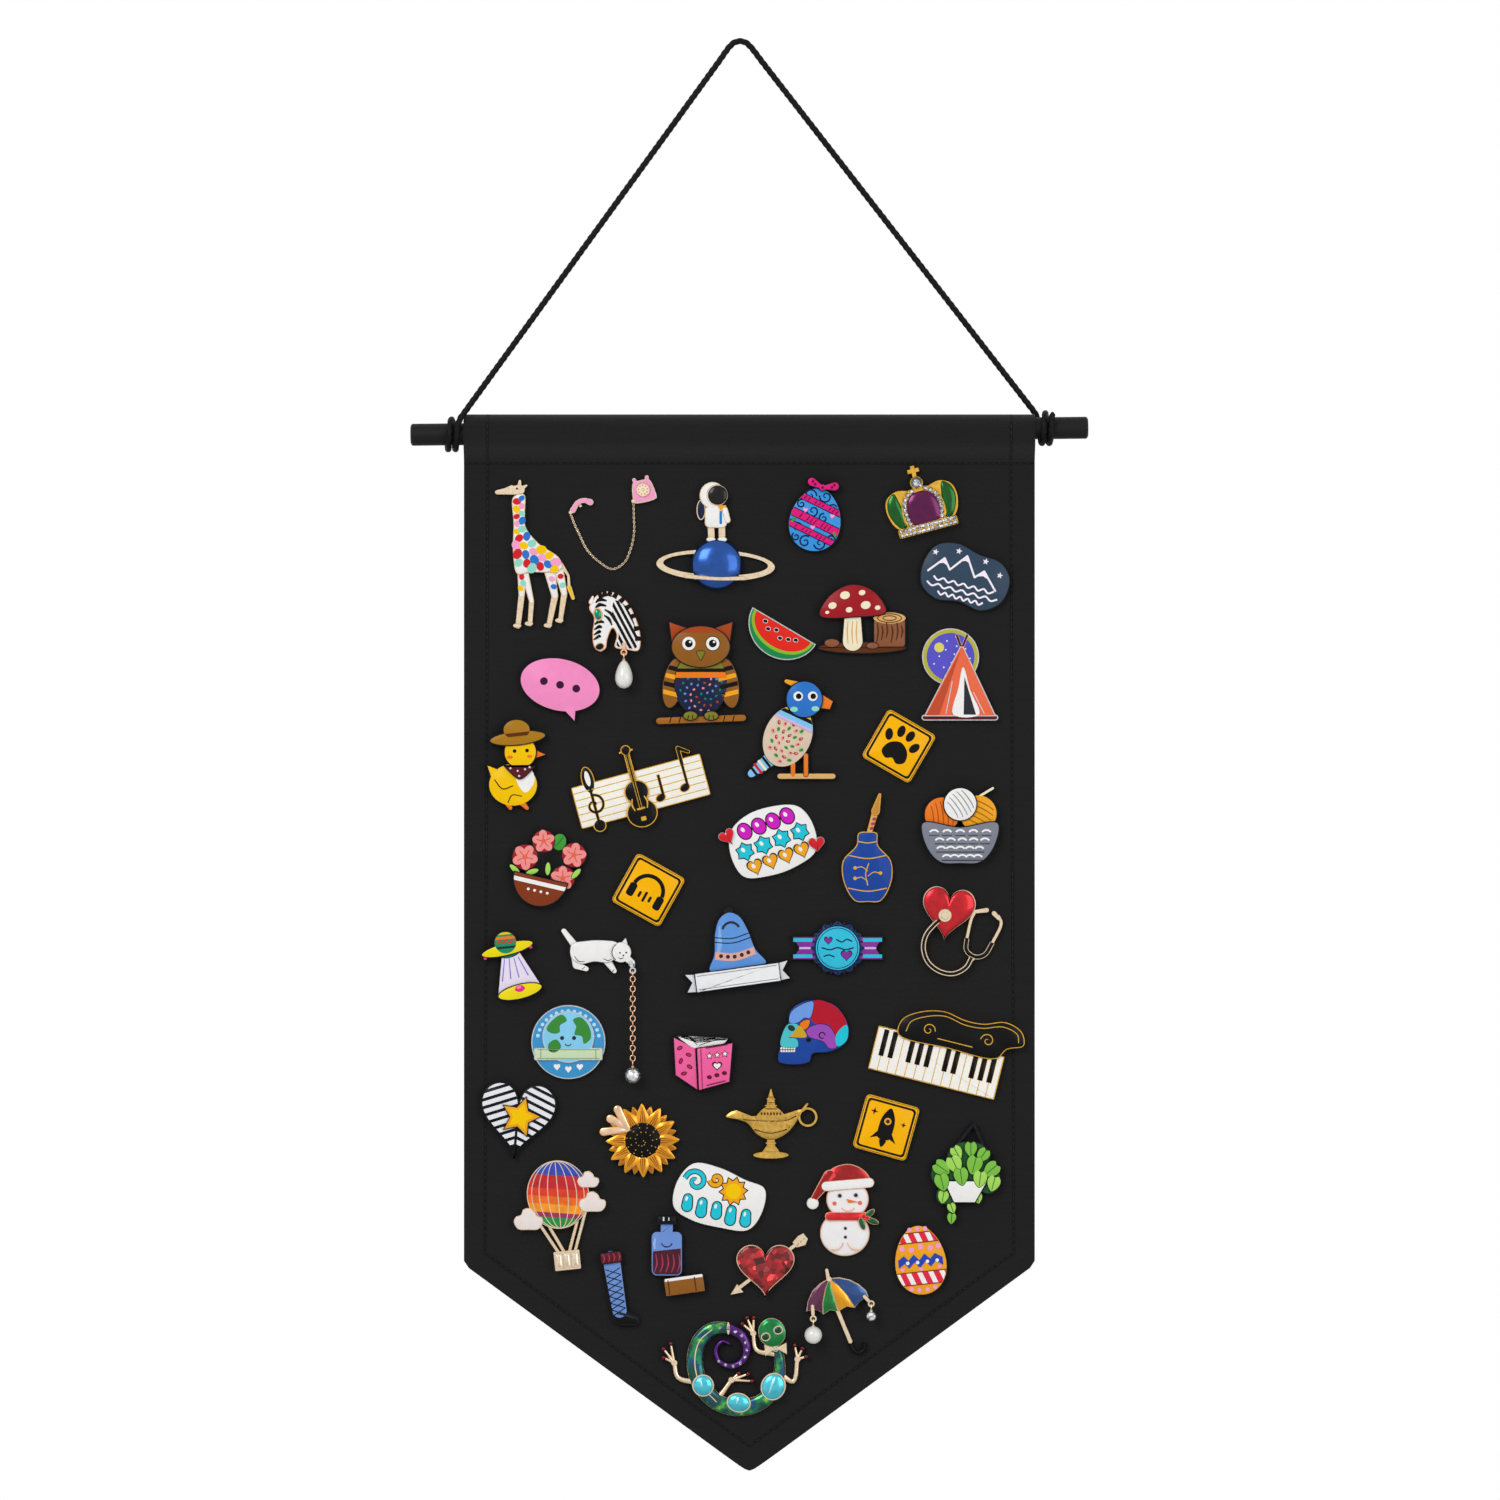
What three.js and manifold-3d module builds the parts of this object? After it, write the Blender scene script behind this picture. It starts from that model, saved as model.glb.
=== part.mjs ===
// Pin badge board: a black canvas pennant on a dowel, hung from a cord and covered in pin badges.
// Millimetres, +Z up. The origin is the point of the cord that rests on the nail. The front faces -Y.
// Everything is drawn as seen from the front: x to the right, y up, z towards the viewer. One turn of
// the whole group at the end stands that drawing up.
import * as THREE from "three";
import { mergeVertices } from "three/addons/utils/BufferGeometryUtils.js";
import Module from "manifold-3d";

const wasm = await Module();
wasm.setup();

// Banner
const BANNER_WIDTH = 220;
const BANNER_SIDE = 327;
const BANNER_POINT = 80.5;
const CANVAS = 0.7;
const HEM_WIDTH = 8.5;
const POCKET_DEPTH = 18.7;
const POCKET_CLEARANCE = 0.35;
const POCKET_STRAIGHT = 4.6;
const CORNER_RADIUS = 3.5;
const SET_BACK = 1.4;

// Dowel
const ROD_LENGTH = 261;
const ROD_DIAMETER = 8.5;
const ROD_EDGE = 0.7;
const ROD_TILT_DEGREES = 0.6;
const ROD_DROP = 6.5;
const ROD_SIDES = 24;

// Cord
const CORD_DIAMETER = 2.35;
const CORD_TURN_GAP = 0.45;
const CORD_LEFT_TURNS = 1.5;
const CORD_RIGHT_TURNS = 1.5;
const CORD_BEND = 4.8;
const CORD_LEAVING_BEND = 12;
const CORD_LEFT_GAP = 1.4;
const CORD_RIGHT_GAP = 0.8;
const CORD_TAIL_RISE = 6;
const HANG_RISE = 142.6;
const HANG_OFFSET = 3.6;

// Pin badges
const CLEARANCE = 0.3;
const PLATE = 1.6;
const RAISED = 2.4;
const CAST = 3;
const PLANET_RISE = 3.4;
const DISC_RISE = 2;
const POST_RADIUS = 0.55;
const POST_LENGTH = 7.5;
const POST_POINT = 1.5;
const SIGN_SIDE = 21.4;
const SIGN_CORNER = 1.8;

// Eyelets, rings and chain of the hanging stones
const EYELET_RADIUS = 1.3;
const EYELET_HOLE = 0.7;
const EYELET_THICKNESS = 0.9;
const EYELET_HEIGHT = 3.6;
const RING_RADIUS = 1.3;
const WIRE_RADIUS = 0.28;
const LINK_HALF_LENGTH = 1.95;
const LINK_HALF_WIDTH = 1.05;
const LINK_COUNT = 10;
const LINK_BITE = 0.08;
const PEARL_WIDTH = 6.8;
const PEARL_LENGTH = 10.9;
const CRYSTAL_RADIUS = 3.2;
const UMBRELLA_PEARL_RADIUS = 3.4;
const UMBRELLA_CRYSTAL_RADIUS = 2;
const FINE_CHAIN_RADIUS = 0.4;

// Facets
const FACET = 4;
const WELD = 1e-4;
const SEGMENT_STEPS = 3;
const STRIP_STEPS = 2;
const TURN_STEPS = 24;
const TURN_SIDES = 6;
const CORD_SIDES = 8;
const CORD_STEPS = 44;
const FINE_CHAIN_STEPS = 22;
const POST_SIDES = 6;
const LINK_STEPS = 8;
const LINK_SIDES = 4;
const STONE_SIDES = 8;

const ROD_RADIUS = ROD_DIAMETER / 2;
const CORD_RADIUS = CORD_DIAMETER / 2;
const ROD_TILT = THREE.MathUtils.degToRad(ROD_TILT_DEGREES);
const FULL_TURN = 2 * Math.PI;

// Finishes
const finish = (color, roughness, metalness) => new THREE.MeshStandardMaterial({ color, roughness,
  metalness });
const BLACK_CANVAS = finish(0x1f1f20, 0.9, 0);
const BLACK_WOOD = finish(0x1d1d1d, 0.5, 0);
const BLACK_CORD = finish(0x0b0b0c, 0.6, 0);
const PALE_GOLD = finish(0xd9b98c, 0.3, 1);
const RICH_GOLD = finish(0xc99a3f, 0.3, 1);
const PEARL = finish(0xe6e2dd, 0.25, 0);
const CRYSTAL = finish(0xdfe6ea, 0.1, 0);
const enamel = (color) => finish(color, 0.25, 0.1);

// Outlines, as lists of points that run once round the shape
const at = (x, y) => new THREE.Vector2(x, y);
const radians = THREE.MathUtils.degToRad;

function roundCount(radius) {
  return Math.max(8, Math.round((FULL_TURN * radius) / FACET));
}

function turnedAbout(points, x, y, degrees) {
  return points.map((point) => point.clone().rotateAround(at(0, 0), radians(degrees)).add(at(x, y)));
}

function loop(count, pointAt) {
  return Array.from({ length: count }, (_, step) => pointAt((FULL_TURN * step) / count));
}

function ellipse(x, y, rx, ry = rx, degrees = 0) {
  const points = loop(roundCount(Math.max(rx, ry)), (t) => at(rx * Math.cos(t), ry * Math.sin(t)));
  return turnedAbout(points, x, y, degrees);
}

function egg(x, y, width, height) {
  const narrowing = 0.13;
  return loop(roundCount(height / 2), (t) =>
    at(x + (width / 2) * Math.cos(t) * (1 - narrowing * Math.sin(t)), y + (height / 2) * Math.sin(t)));
}

function heart(x, y, width, height, degrees = 0) {
  const points = loop(18, (t) =>
    at((width / 2) * Math.sin(t) ** 3,
      (height / 29) * (13 * Math.cos(t) - 5 * Math.cos(2 * t) - 2 * Math.cos(3 * t) - Math.cos(4 * t) +
        2.5)));
  return turnedAbout(points, x, y, degrees);
}

function petals(x, y, count, outer, inner) {
  const pointsPerPetal = 4;
  const reach = [inner, (inner + outer) / 2 + 1, outer, (inner + outer) / 2 + 1];
  return Array.from({ length: count * pointsPerPetal }, (_, step) => {
    const angle = (FULL_TURN * step) / (count * pointsPerPetal);
    const radius = reach[step % pointsPerPetal];
    return at(x + radius * Math.cos(angle), y + radius * Math.sin(angle));
  });
}

function bar(x1, y1, x2, y2, r1, r2 = r1) {
  const along = Math.atan2(y2 - y1, x2 - x1);
  const spread = Math.acos((r1 - r2) / Math.hypot(x2 - x1, y2 - y1));
  const endArc = (x, y, radius, from, to) => {
    const steps = Math.max(2, Math.round((Math.abs(to - from) * radius) / FACET));
    return Array.from({ length: steps + 1 }, (_, step) => {
      const angle = along + from + ((to - from) * step) / steps;
      return at(x + radius * Math.cos(angle), y + radius * Math.sin(angle));
    });
  };
  return [...endArc(x2, y2, r2, -spread, spread), ...endArc(x1, y1, r1, spread, FULL_TURN - spread)];
}

function box(x, y, width, height, corner = 0, degrees = 0) {
  const arcSteps = corner > 0 ? 3 : 0;
  const points = [];
  for (const [sx, sy, start] of [[1, -1, -90], [1, 1, 0], [-1, 1, 90], [-1, -1, 180]]) {
    for (let step = 0; step <= arcSteps; step += 1) {
      const angle = radians(start + (arcSteps ? (90 * step) / arcSteps : 0));
      points.push(at(
        sx * (width / 2 - corner) + corner * Math.cos(angle),
        sy * (height / 2 - corner) + corner * Math.sin(angle)));
    }
  }
  return turnedAbout(points, x, y, degrees);
}

const polygon = (...pairs) => pairs.map(([x, y]) => at(x, y));

function curveThrough(pairs, closed) {
  return new THREE.CatmullRomCurve3(pairs.map(([x, y, z = 0]) => new THREE.Vector3(x, y, z)), closed);
}

function blob(...pairs) {
  const curve = curveThrough(pairs, true);
  return curve.getPoints(pairs.length * SEGMENT_STEPS).slice(0, -1).map((point) => at(point.x, point.y));
}

function strip(widths, ...pairs) {
  const curve = curveThrough(pairs, false);
  const steps = (pairs.length - 1) * STRIP_STEPS;
  const left = [];
  const right = [];
  for (let step = 0; step <= steps; step += 1) {
    const share = step / steps;
    const place = share * (widths.length - 1);
    const lower = Math.min(Math.floor(place), widths.length - 2);
    const half = THREE.MathUtils.lerp(widths[lower], widths[lower + 1], place - lower) / 2;
    const point = curve.getPoint(share);
    const tangent = curve.getTangent(share);
    left.push(at(point.x - tangent.y * half, point.y + tangent.x * half));
    right.push(at(point.x + tangent.y * half, point.y - tangent.x * half));
  }
  return [...right, ...left.reverse()];
}

// Solids
function solidOf(geometry) {
  geometry.deleteAttribute("normal");
  geometry.deleteAttribute("uv");
  const merged = mergeVertices(geometry, WELD);
  return new wasm.Manifold(new wasm.Mesh({
    numProp: 3,
    vertProperties: new Float32Array(merged.attributes.position.array),
    triVerts: new Uint32Array(merged.index.array),
  }));
}

const joined = (solids) => solids.reduce((whole, solid) => whole.add(solid));

function meshOf(name, solid, material) {
  const { vertProperties, triVerts } = solid.getMesh();
  const geometry = new THREE.BufferGeometry();
  geometry.setAttribute("position", new THREE.BufferAttribute(vertProperties, 3));
  geometry.setIndex(new THREE.BufferAttribute(triVerts, 1));
  geometry.computeVertexNormals();
  const mesh = new THREE.Mesh(geometry, material);
  mesh.name = name;
  return mesh;
}

function slab(outline, height, base = 0, holes = []) {
  const shape = new THREE.Shape(outline);
  shape.holes = holes.map((hole) => new THREE.Path(hole));
  const geometry = new THREE.ExtrudeGeometry(shape, { depth: height, bevelEnabled: false });
  geometry.translate(0, 0, base);
  return solidOf(geometry);
}

const flat = (outline) => slab(outline, PLATE);
const raised = (outline) => slab(outline, RAISED);
const cast = (outline) => slab(outline, CAST);

function revolved(profile, sides) {
  return new THREE.LatheGeometry(profile, sides);
}

function dome(x, y, radius, rise) {
  const rings = 4;
  const profile = [at(0, 0)];
  for (let step = 0; step <= rings; step += 1) {
    const angle = (Math.PI / 2) * (step / rings);
    profile.push(at(radius * Math.cos(angle) * (step < rings ? 1 : 0), PLATE + rise * Math.sin(angle)));
  }
  profile.splice(1, 0, at(radius, 0));
  const geometry = revolved(profile, roundCount(radius));
  geometry.rotateX(Math.PI / 2);
  geometry.translate(x, y, 0);
  return solidOf(geometry);
}

function post(x, y) {
  const profile = [
    at(0, -POST_LENGTH),
    at(POST_RADIUS, POST_POINT - POST_LENGTH),
    at(POST_RADIUS, PLATE / 2),
    at(0, PLATE / 2),
  ];
  const geometry = revolved(profile, POST_SIDES);
  geometry.rotateX(Math.PI / 2);
  geometry.translate(x, y, 0);
  return solidOf(geometry);
}

// A tube through a list of points, with a flat end at each end, or closed on itself
function sweep(points, radius, sides, closed = false) {
  const count = points.length;
  const positions = [];
  const index = [];
  const tangentAt = (i) => {
    const before = points[closed ? (i + count - 1) % count : Math.max(i - 1, 0)];
    const after = points[closed ? (i + 1) % count : Math.min(i + 1, count - 1)];
    return after.clone().sub(before).normalize();
  };
  let side = new THREE.Vector3(0.31, 0.52, 0.79).cross(tangentAt(0)).normalize();
  if (closed) {
    side = points[0].clone().sub(points[2]).cross(points[1].clone().sub(points[2])).normalize();
  }
  for (let i = 0; i < count; i += 1) {
    const tangent = tangentAt(i);
    side.addScaledVector(tangent, -side.dot(tangent)).normalize();
    const other = tangent.clone().cross(side);
    for (let corner = 0; corner < sides; corner += 1) {
      const angle = (FULL_TURN * corner) / sides;
      const point = points[i].clone();
      point.addScaledVector(side, radius * Math.cos(angle)).addScaledVector(other,
        radius * Math.sin(angle));
      positions.push(point.x, point.y, point.z);
    }
  }
  const rings = closed ? count : count - 1;
  for (let i = 0; i < rings; i += 1) {
    for (let corner = 0; corner < sides; corner += 1) {
      const a = i * sides + corner;
      const b = i * sides + ((corner + 1) % sides);
      const c = ((i + 1) % count) * sides + corner;
      const d = ((i + 1) % count) * sides + ((corner + 1) % sides);
      index.push(a, b, c, b, d, c);
    }
  }
  if (!closed) {
    for (let corner = 1; corner < sides - 1; corner += 1) {
      const last = (count - 1) * sides;
      index.push(0, corner + 1, corner, last, last + corner, last + corner + 1);
    }
  }
  const geometry = new THREE.BufferGeometry();
  geometry.setAttribute("position", new THREE.Float32BufferAttribute(positions, 3));
  geometry.setIndex(index);
  return solidOf(geometry);
}

function tube(curve, radius, sides, steps) {
  const section = new THREE.Shape(loop(sides, (t) => at(radius * Math.cos(t), radius * Math.sin(t))));
  return solidOf(new THREE.ExtrudeGeometry(section, { steps, extrudePath: curve, bevelEnabled: false }));
}

const board = new THREE.Group();
board.rotation.x = Math.PI / 2;

// The banner's own drawing starts at the middle of its top edge
const banner = new THREE.Group();
banner.position.set(HANG_OFFSET, -HANG_RISE, 0);
board.add(banner);

// Dowel, turned a little so that its right end stands higher
const rodLine = new THREE.Group();
rodLine.position.set(HANG_OFFSET, -HANG_RISE - ROD_DROP, 0);
rodLine.rotation.z = ROD_TILT;
board.add(rodLine);

function makeRod() {
  const half = ROD_LENGTH / 2;
  const profile = [
    at(0, -half),
    at(ROD_RADIUS - ROD_EDGE, -half),
    at(ROD_RADIUS, ROD_EDGE - half),
    at(ROD_RADIUS, half - ROD_EDGE),
    at(ROD_RADIUS - ROD_EDGE, half),
    at(0, half),
  ];
  const geometry = revolved(profile, ROD_SIDES);
  geometry.rotateZ(-Math.PI / 2);
  return meshOf("hanging_rod", solidOf(geometry), BLACK_WOOD);
}
rodLine.add(makeRod());

// Cord: wound on both ends of the dowel, with one free stretch that rises to the nail and comes down
const woundRadius = ROD_RADIUS + CORD_RADIUS + CLEARANCE;
const turnPitch = CORD_DIAMETER + CORD_TURN_GAP;
const bendCentre = at(0, CORD_RADIUS - CORD_BEND);

// One winding in the dowel's own line. Side is -1 on the left and 1 on the right, and face is 1 where
// the free stretch leaves at the front of the dowel and -1 where it leaves at the back.
function windingPath(side, face, turns, tailLength, edgeGap) {
  const innerTurn = BANNER_WIDTH / 2 + edgeGap + CORD_RADIUS;
  const start = new THREE.Vector3(side * innerTurn, 0, face * woundRadius);
  const steps = Math.round(turns * TURN_STEPS);
  const turnPoints = Array.from({ length: steps + 1 }, (_, step) => {
    const angle = (FULL_TURN * step) / TURN_STEPS;
    const x = side * (innerTurn + (turnPitch * step) / TURN_STEPS);
    return new THREE.Vector3(x, -woundRadius * Math.sin(angle), face * woundRadius * Math.cos(angle));
  });
  const target = rodLine.worldToLocal(board.localToWorld(new THREE.Vector3(0, 0, 0))).setZ(start.z);
  const aim = target.clone().sub(start).normalize();
  const bendAngle = Math.acos(aim.y);
  const bendSteps = 4;
  const leaving = [];
  for (let step = 1; step <= bendSteps; step += 1) {
    const angle = (bendAngle * step) / bendSteps;
    leaving.push(new THREE.Vector3(
      start.x - side * CORD_LEAVING_BEND * (1 - Math.cos(angle)),
      start.y + CORD_LEAVING_BEND * Math.sin(angle),
      start.z));
  }
  const bendEnd = leaving[leaving.length - 1];
  const away = new THREE.Vector3(-side * Math.sin(bendAngle), Math.cos(bendAngle), 0);
  leaving.push(bendEnd.clone().addScaledVector(away, CORD_DIAMETER));
  const end = turnPoints[turnPoints.length - 1];
  const tailWay = new THREE.Vector3((side * turnPitch) / (FULL_TURN * woundRadius), 1, 0).normalize();
  const tail = [0.5, 1].map((share) => end.clone().addScaledVector(tailWay, tailLength * share));
  return { points: [...leaving.reverse(), ...turnPoints, ...tail], exit: leaving[0], away };
}

function leastGap(points) {
  const near = TURN_STEPS / 2;
  let least = Infinity;
  points.forEach((point, i) => {
    points.slice(i + near).forEach((other) => {
      least = Math.min(least, point.distanceTo(other));
    });
  });
  return least - CORD_DIAMETER;
}

board.updateMatrixWorld(true);
const leftWinding = windingPath(-1, 1, CORD_LEFT_TURNS, CORD_DIAMETER, CORD_LEFT_GAP);
const rightWinding = windingPath(1, -1, CORD_RIGHT_TURNS, CORD_TAIL_RISE, CORD_RIGHT_GAP);
for (const [name, winding] of [["left_cord_wrap", leftWinding], ["right_cord_wrap", rightWinding]]) {
  console.log(`${name}: least gap between turns ${leastGap(winding.points).toFixed(2)} mm`);
  rodLine.add(meshOf(name, sweep(winding.points, CORD_RADIUS, TURN_SIDES), BLACK_CORD));
}

function makeHangingCord() {
  const inBoard = (point) => board.worldToLocal(rodLine.localToWorld(point.clone()));
  const legStart = ({ exit, away }) => [
    inBoard(exit.clone().addScaledVector(away, CLEARANCE)),
    inBoard(exit.clone().addScaledVector(away, CLEARANCE + 2 * CORD_DIAMETER)),
  ];
  const [leftEnd, leftNext] = legStart(leftWinding);
  const [rightEnd, rightNext] = legStart(rightWinding);
  const bendPoint = (degrees) => new THREE.Vector3(
    bendCentre.x + CORD_BEND * Math.cos(radians(degrees)),
    bendCentre.y + CORD_BEND * Math.sin(radians(degrees)),
    0);
  const leftTangent = bendPoint(143);
  const rightTangent = bendPoint(38);
  const legShares = [0.25, 0.5, 0.75, 0.95];
  const route = [
    leftEnd,
    leftNext,
    ...legShares.map((share) => leftNext.clone().lerp(leftTangent, share)),
    leftTangent,
    ...[115, 90, 65].map(bendPoint),
    rightTangent,
    ...legShares.toReversed().map((share) => rightNext.clone().lerp(rightTangent, share)),
    rightNext,
    rightEnd,
  ];
  const curve = new THREE.CatmullRomCurve3(route);
  console.log(`hanging cord: free length ${curve.getLength().toFixed(1)} mm`);
  return meshOf("hanging_cord", tube(curve, CORD_RADIUS, CORD_SIDES, CORD_STEPS), BLACK_CORD);
}
board.add(makeHangingCord());

// Canvas: one panel with a pointed foot, a rod pocket folded over the dowel and a turned hem behind
const panelFront = CANVAS / 2 - SET_BACK;
const pinSeat = panelFront + CLEARANCE;
const footSlope = Math.atan2(BANNER_POINT, BANNER_WIDTH / 2);

function panelOutline(inset, top) {
  const half = BANNER_WIDTH / 2 - inset;
  const lift = inset / Math.cos(footSlope);
  const sideFoot = -BANNER_SIDE - inset * Math.tan(footSlope) + lift;
  const tip = -BANNER_SIDE - BANNER_POINT + lift;
  const cut = CORNER_RADIUS / 2;
  const slopeX = Math.cos(footSlope) * cut;
  const slopeY = Math.sin(footSlope) * cut;
  return polygon(
    [-half, top], [-half, sideFoot + cut], [-half + slopeX, sideFoot - slopeY],
    [-slopeX, tip + slopeY], [slopeX, tip + slopeY],
    [half - slopeX, sideFoot - slopeY], [half, sideFoot + cut], [half, top]);
}

function pocket() {
  const inner = ROD_RADIUS + POCKET_CLEARANCE;
  const outer = inner + CANVAS;
  const centre = -outer;
  const straightEnd = centre - POCKET_STRAIGHT;
  const arcSteps = 10;
  const arc = (radius) => Array.from({ length: arcSteps + 1 }, (_, step) => {
    const angle = (Math.PI * step) / arcSteps;
    return at(-radius * Math.cos(angle), centre + radius * Math.sin(angle));
  });
  const front = SET_BACK - CANVAS / 2;
  const back = front + 2 * CANVAS;
  const seam = -POCKET_DEPTH;
  const around = [
    at(front, seam - HEM_WIDTH / 2), at(front, seam), at(-outer, straightEnd), ...arc(outer),
    at(outer, straightEnd), at(back, seam), at(back, seam - HEM_WIDTH / 2),
  ];
  const hollow = [
    at(front + CANVAS, seam + 2 * CANVAS),
    at(-inner, straightEnd),
    ...arc(inner),
    at(inner, straightEnd),
  ];
  const shape = new THREE.Shape(around.reverse());
  shape.holes = [new THREE.Path(hollow)];
  const geometry = new THREE.ExtrudeGeometry(shape, { depth: BANNER_WIDTH, bevelEnabled: false });
  geometry.translate(0, 0, -BANNER_WIDTH / 2);
  geometry.rotateY(Math.PI / 2);
  return solidOf(geometry);
}

const postPlaces = [];

function makeCanvas() {
  const top = -POCKET_DEPTH;
  const holes = postPlaces.map(({ x, y }) => {
    const outline = loop(POST_SIDES, (t) => at(x + holeRadius * Math.cos(t), y + holeRadius * Math.sin(t)));
    return slab(outline, 3 * CANVAS, panelFront - 2 * CANVAS);
  });
  const panel = slab(panelOutline(0, top), CANVAS, panelFront - CANVAS);
  const hemOuter = slab(panelOutline(0, top), CANVAS, panelFront - 2 * CANVAS);
  const hemInner = slab(panelOutline(HEM_WIDTH, top + CANVAS), 3 * CANVAS,
    panelFront - 3 * CANVAS - CANVAS);
  const hemFree = hemOuter.subtract(hemInner);
  const cloth = joined([panel, hemFree, pocket()]).subtract(joined(holes));
  return meshOf("banner_canvas", cloth, BLACK_CANVAS);
}
const holeRadius = (POST_RADIUS + CLEARANCE) / Math.cos(Math.PI / POST_SIDES);

// An eyelet stands in front of its badge's edge. Its pad rises from the plate and stops short of the hole.
function eyelet(x, y, fromX, fromY) {
  const tab = slab(
    ellipse(x, y, EYELET_RADIUS), EYELET_THICKNESS, EYELET_HEIGHT - EYELET_THICKNESS / 2,
    [ellipse(x, y, EYELET_HOLE)]);
  const way = at(fromX - x, fromY - y).normalize();
  const near = EYELET_HOLE + CLEARANCE + EYELET_RADIUS / 2;
  const pad = slab(
    bar(x + way.x * near, y + way.y * near, fromX, fromY, EYELET_RADIUS / 2), EYELET_HEIGHT +
      EYELET_THICKNESS / 2);
  return tab.add(pad);
}

// Every badge is a cast plate with its posts behind. Its place is counted from the middle of the
// banner's top edge: x to the right and drop downwards. Tilt is anticlockwise, in degrees. An eyelet is
// given by its own place on the badge and the place that its pad starts from.
function pin(name, { x, drop, tilt = 0, material, posts = [[0, 0]], eyelets = [] }, solids) {
  const backs = posts.map(([px, py]) => post(px, py));
  const tabs = eyelets.map((ends) => eyelet(...ends));
  const mesh = meshOf(name, joined([...solids, ...backs, ...tabs]), material);
  mesh.position.set(x, -drop, pinSeat);
  mesh.rotation.z = radians(tilt);
  banner.add(mesh);
  const onBanner = ([px, py]) => at(px, py).rotateAround(at(0, 0), radians(tilt)).add(at(x, -drop));
  postPlaces.push(...posts.map(onBanner));
  return eyelets.map(onBanner);
}

// A closed wire loop that hangs below the point where it starts. Across is 1 for a loop seen edge on.
function wireLoop(topY, halfLength, halfWidth, across) {
  const points = loop(LINK_STEPS, (t) => new THREE.Vector3(
    across ? 0 : halfWidth * Math.sin(t), topY - halfLength + halfLength * Math.cos(t),
      across ? halfWidth * Math.sin(t) : 0));
  return sweep(points, WIRE_RADIUS, LINK_SIDES, true);
}

function stem(topY, bottomY, radius) {
  const points = [topY, bottomY].map((y) => new THREE.Vector3(0, y, 0));
  return sweep(points, radius, LINK_SIDES);
}

function stone(geometry, y) {
  geometry.translate(0, y, 0);
  return solidOf(geometry);
}

// A piece that hangs from an eyelet
function dangle(name, place, material, solids) {
  const mesh = meshOf(name, joined(solids), material);
  mesh.position.set(place.x, place.y, pinSeat + EYELET_HEIGHT);
  banner.add(mesh);
}
const ringFoot = -2 * RING_RADIUS;
const hangingRing = () => wireLoop(0, RING_RADIUS, RING_RADIUS, true);

// Giraffe brooch: small head on a long neck, sloping back and four thin legs
pin("giraffe_pin", { x: -82.5, drop: 54, material: PALE_GOLD, posts: [[-4.5, 4], [4, -3]] }, [
  flat(bar(-14.6, 24, -6, 25, 0.9, 2)),
  flat(bar(-6.2, 25.5, -5.9, 28.3, 0.9, 0.5)),
  flat(bar(-5, 25.6, -3.4, 26.6, 0.8, 0.4)),
  raised(polygon([-8.4, 22.5], [-4.2, 23.4], [-3.9, 10.8], [1.3, 4.4], [9.6, -1.6], [10.4, -5.5],
    [4.3, -6.9],
    [-2.2, -6.8], [-6.8, -7.6], [-8.4, -1])),
  flat(bar(-5, -6, -5.2, -15.5, 1.9, 1.2)),
  flat(bar(-5.2, -15.5, -6.6, -27.6, 1.2, 1)),
  flat(bar(-4, -7, -1.4, -18, 1.5, 1)),
  flat(bar(-1.4, -18, -2, -26.8, 1, 0.9)),
  flat(bar(5.5, -6, 7.6, -16, 2.2, 1.3)),
  flat(bar(7.6, -16, 5.3, -27.4, 1.3, 1)),
  flat(bar(8.8, -5, 11.2, -15, 2, 1.2)),
  flat(bar(11.2, -15, 9.7, -25.6, 1.2, 0.9)),
  flat(bar(10, -3.6, 12.8, -8.2, 0.7, 0.5)),
  flat(bar(12.8, -8.2, 13.1, -12.8, 0.5, 0.6)),
  flat(bar(13.1, -12.6, 14.6, -16.8, 0.9, 0.7)),
]);

// Telephone with its handset apart, joined by a fine chain
pin("telephone_pin", { x: -41, drop: 28.9, tilt: 13, material: enamel(0xf2a3cc) }, [
  flat(polygon([-4.3, -4.6], [4.3, -4.6], [3.4, 3.4], [-3.4, 3.4])),
  flat(bar(-2.3, 3, -2.7, 4.9, 0.7)),
  flat(bar(2.3, 3, 2.7, 4.9, 0.7)),
  raised(ellipse(0, -0.2, 2.7)),
  flat(ellipse(-4.6, -3.6, 0.8)),
]);
pin("handset_pin", { x: -65.1, drop: 35.2, material: enamel(0xf2a3cc) }, [
  flat(bar(-2.9, -1.7, -1.2, 1, 1.2, 0.9)),
  flat(bar(-1.2, 1, 1.6, 2.2, 0.9)),
  flat(bar(1.6, 2.2, 3.8, 1.4, 0.9, 1.3)),
  flat(ellipse(-3.8, -2.6, 0.7)),
]);

function makeTelephoneChain() {
  const height = pinSeat + PLATE / 2;
  const route = [
    [-68.6, 38.9], [-67.6, 41.8], [-65.5, 46.2], [-62.5, 52.2], [-58, 56.7], [-52.7, 59.6],
      [-48.2, 57.1], [-45.6, 51.5],
    [-44.4, 45.5], [-44.5, 39.5], [-44.6, 34.7],
  ];
  const curve = curveThrough(route.map(([x, drop]) => [x, -drop, height]), false);
  console.log(`telephone chain: length ${curve.getLength().toFixed(1)} mm`);
  return meshOf("telephone_chain", tube(curve, FINE_CHAIN_RADIUS, POST_SIDES, FINE_CHAIN_STEPS), PALE_GOLD);
}
banner.add(makeTelephoneChain());

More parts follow.
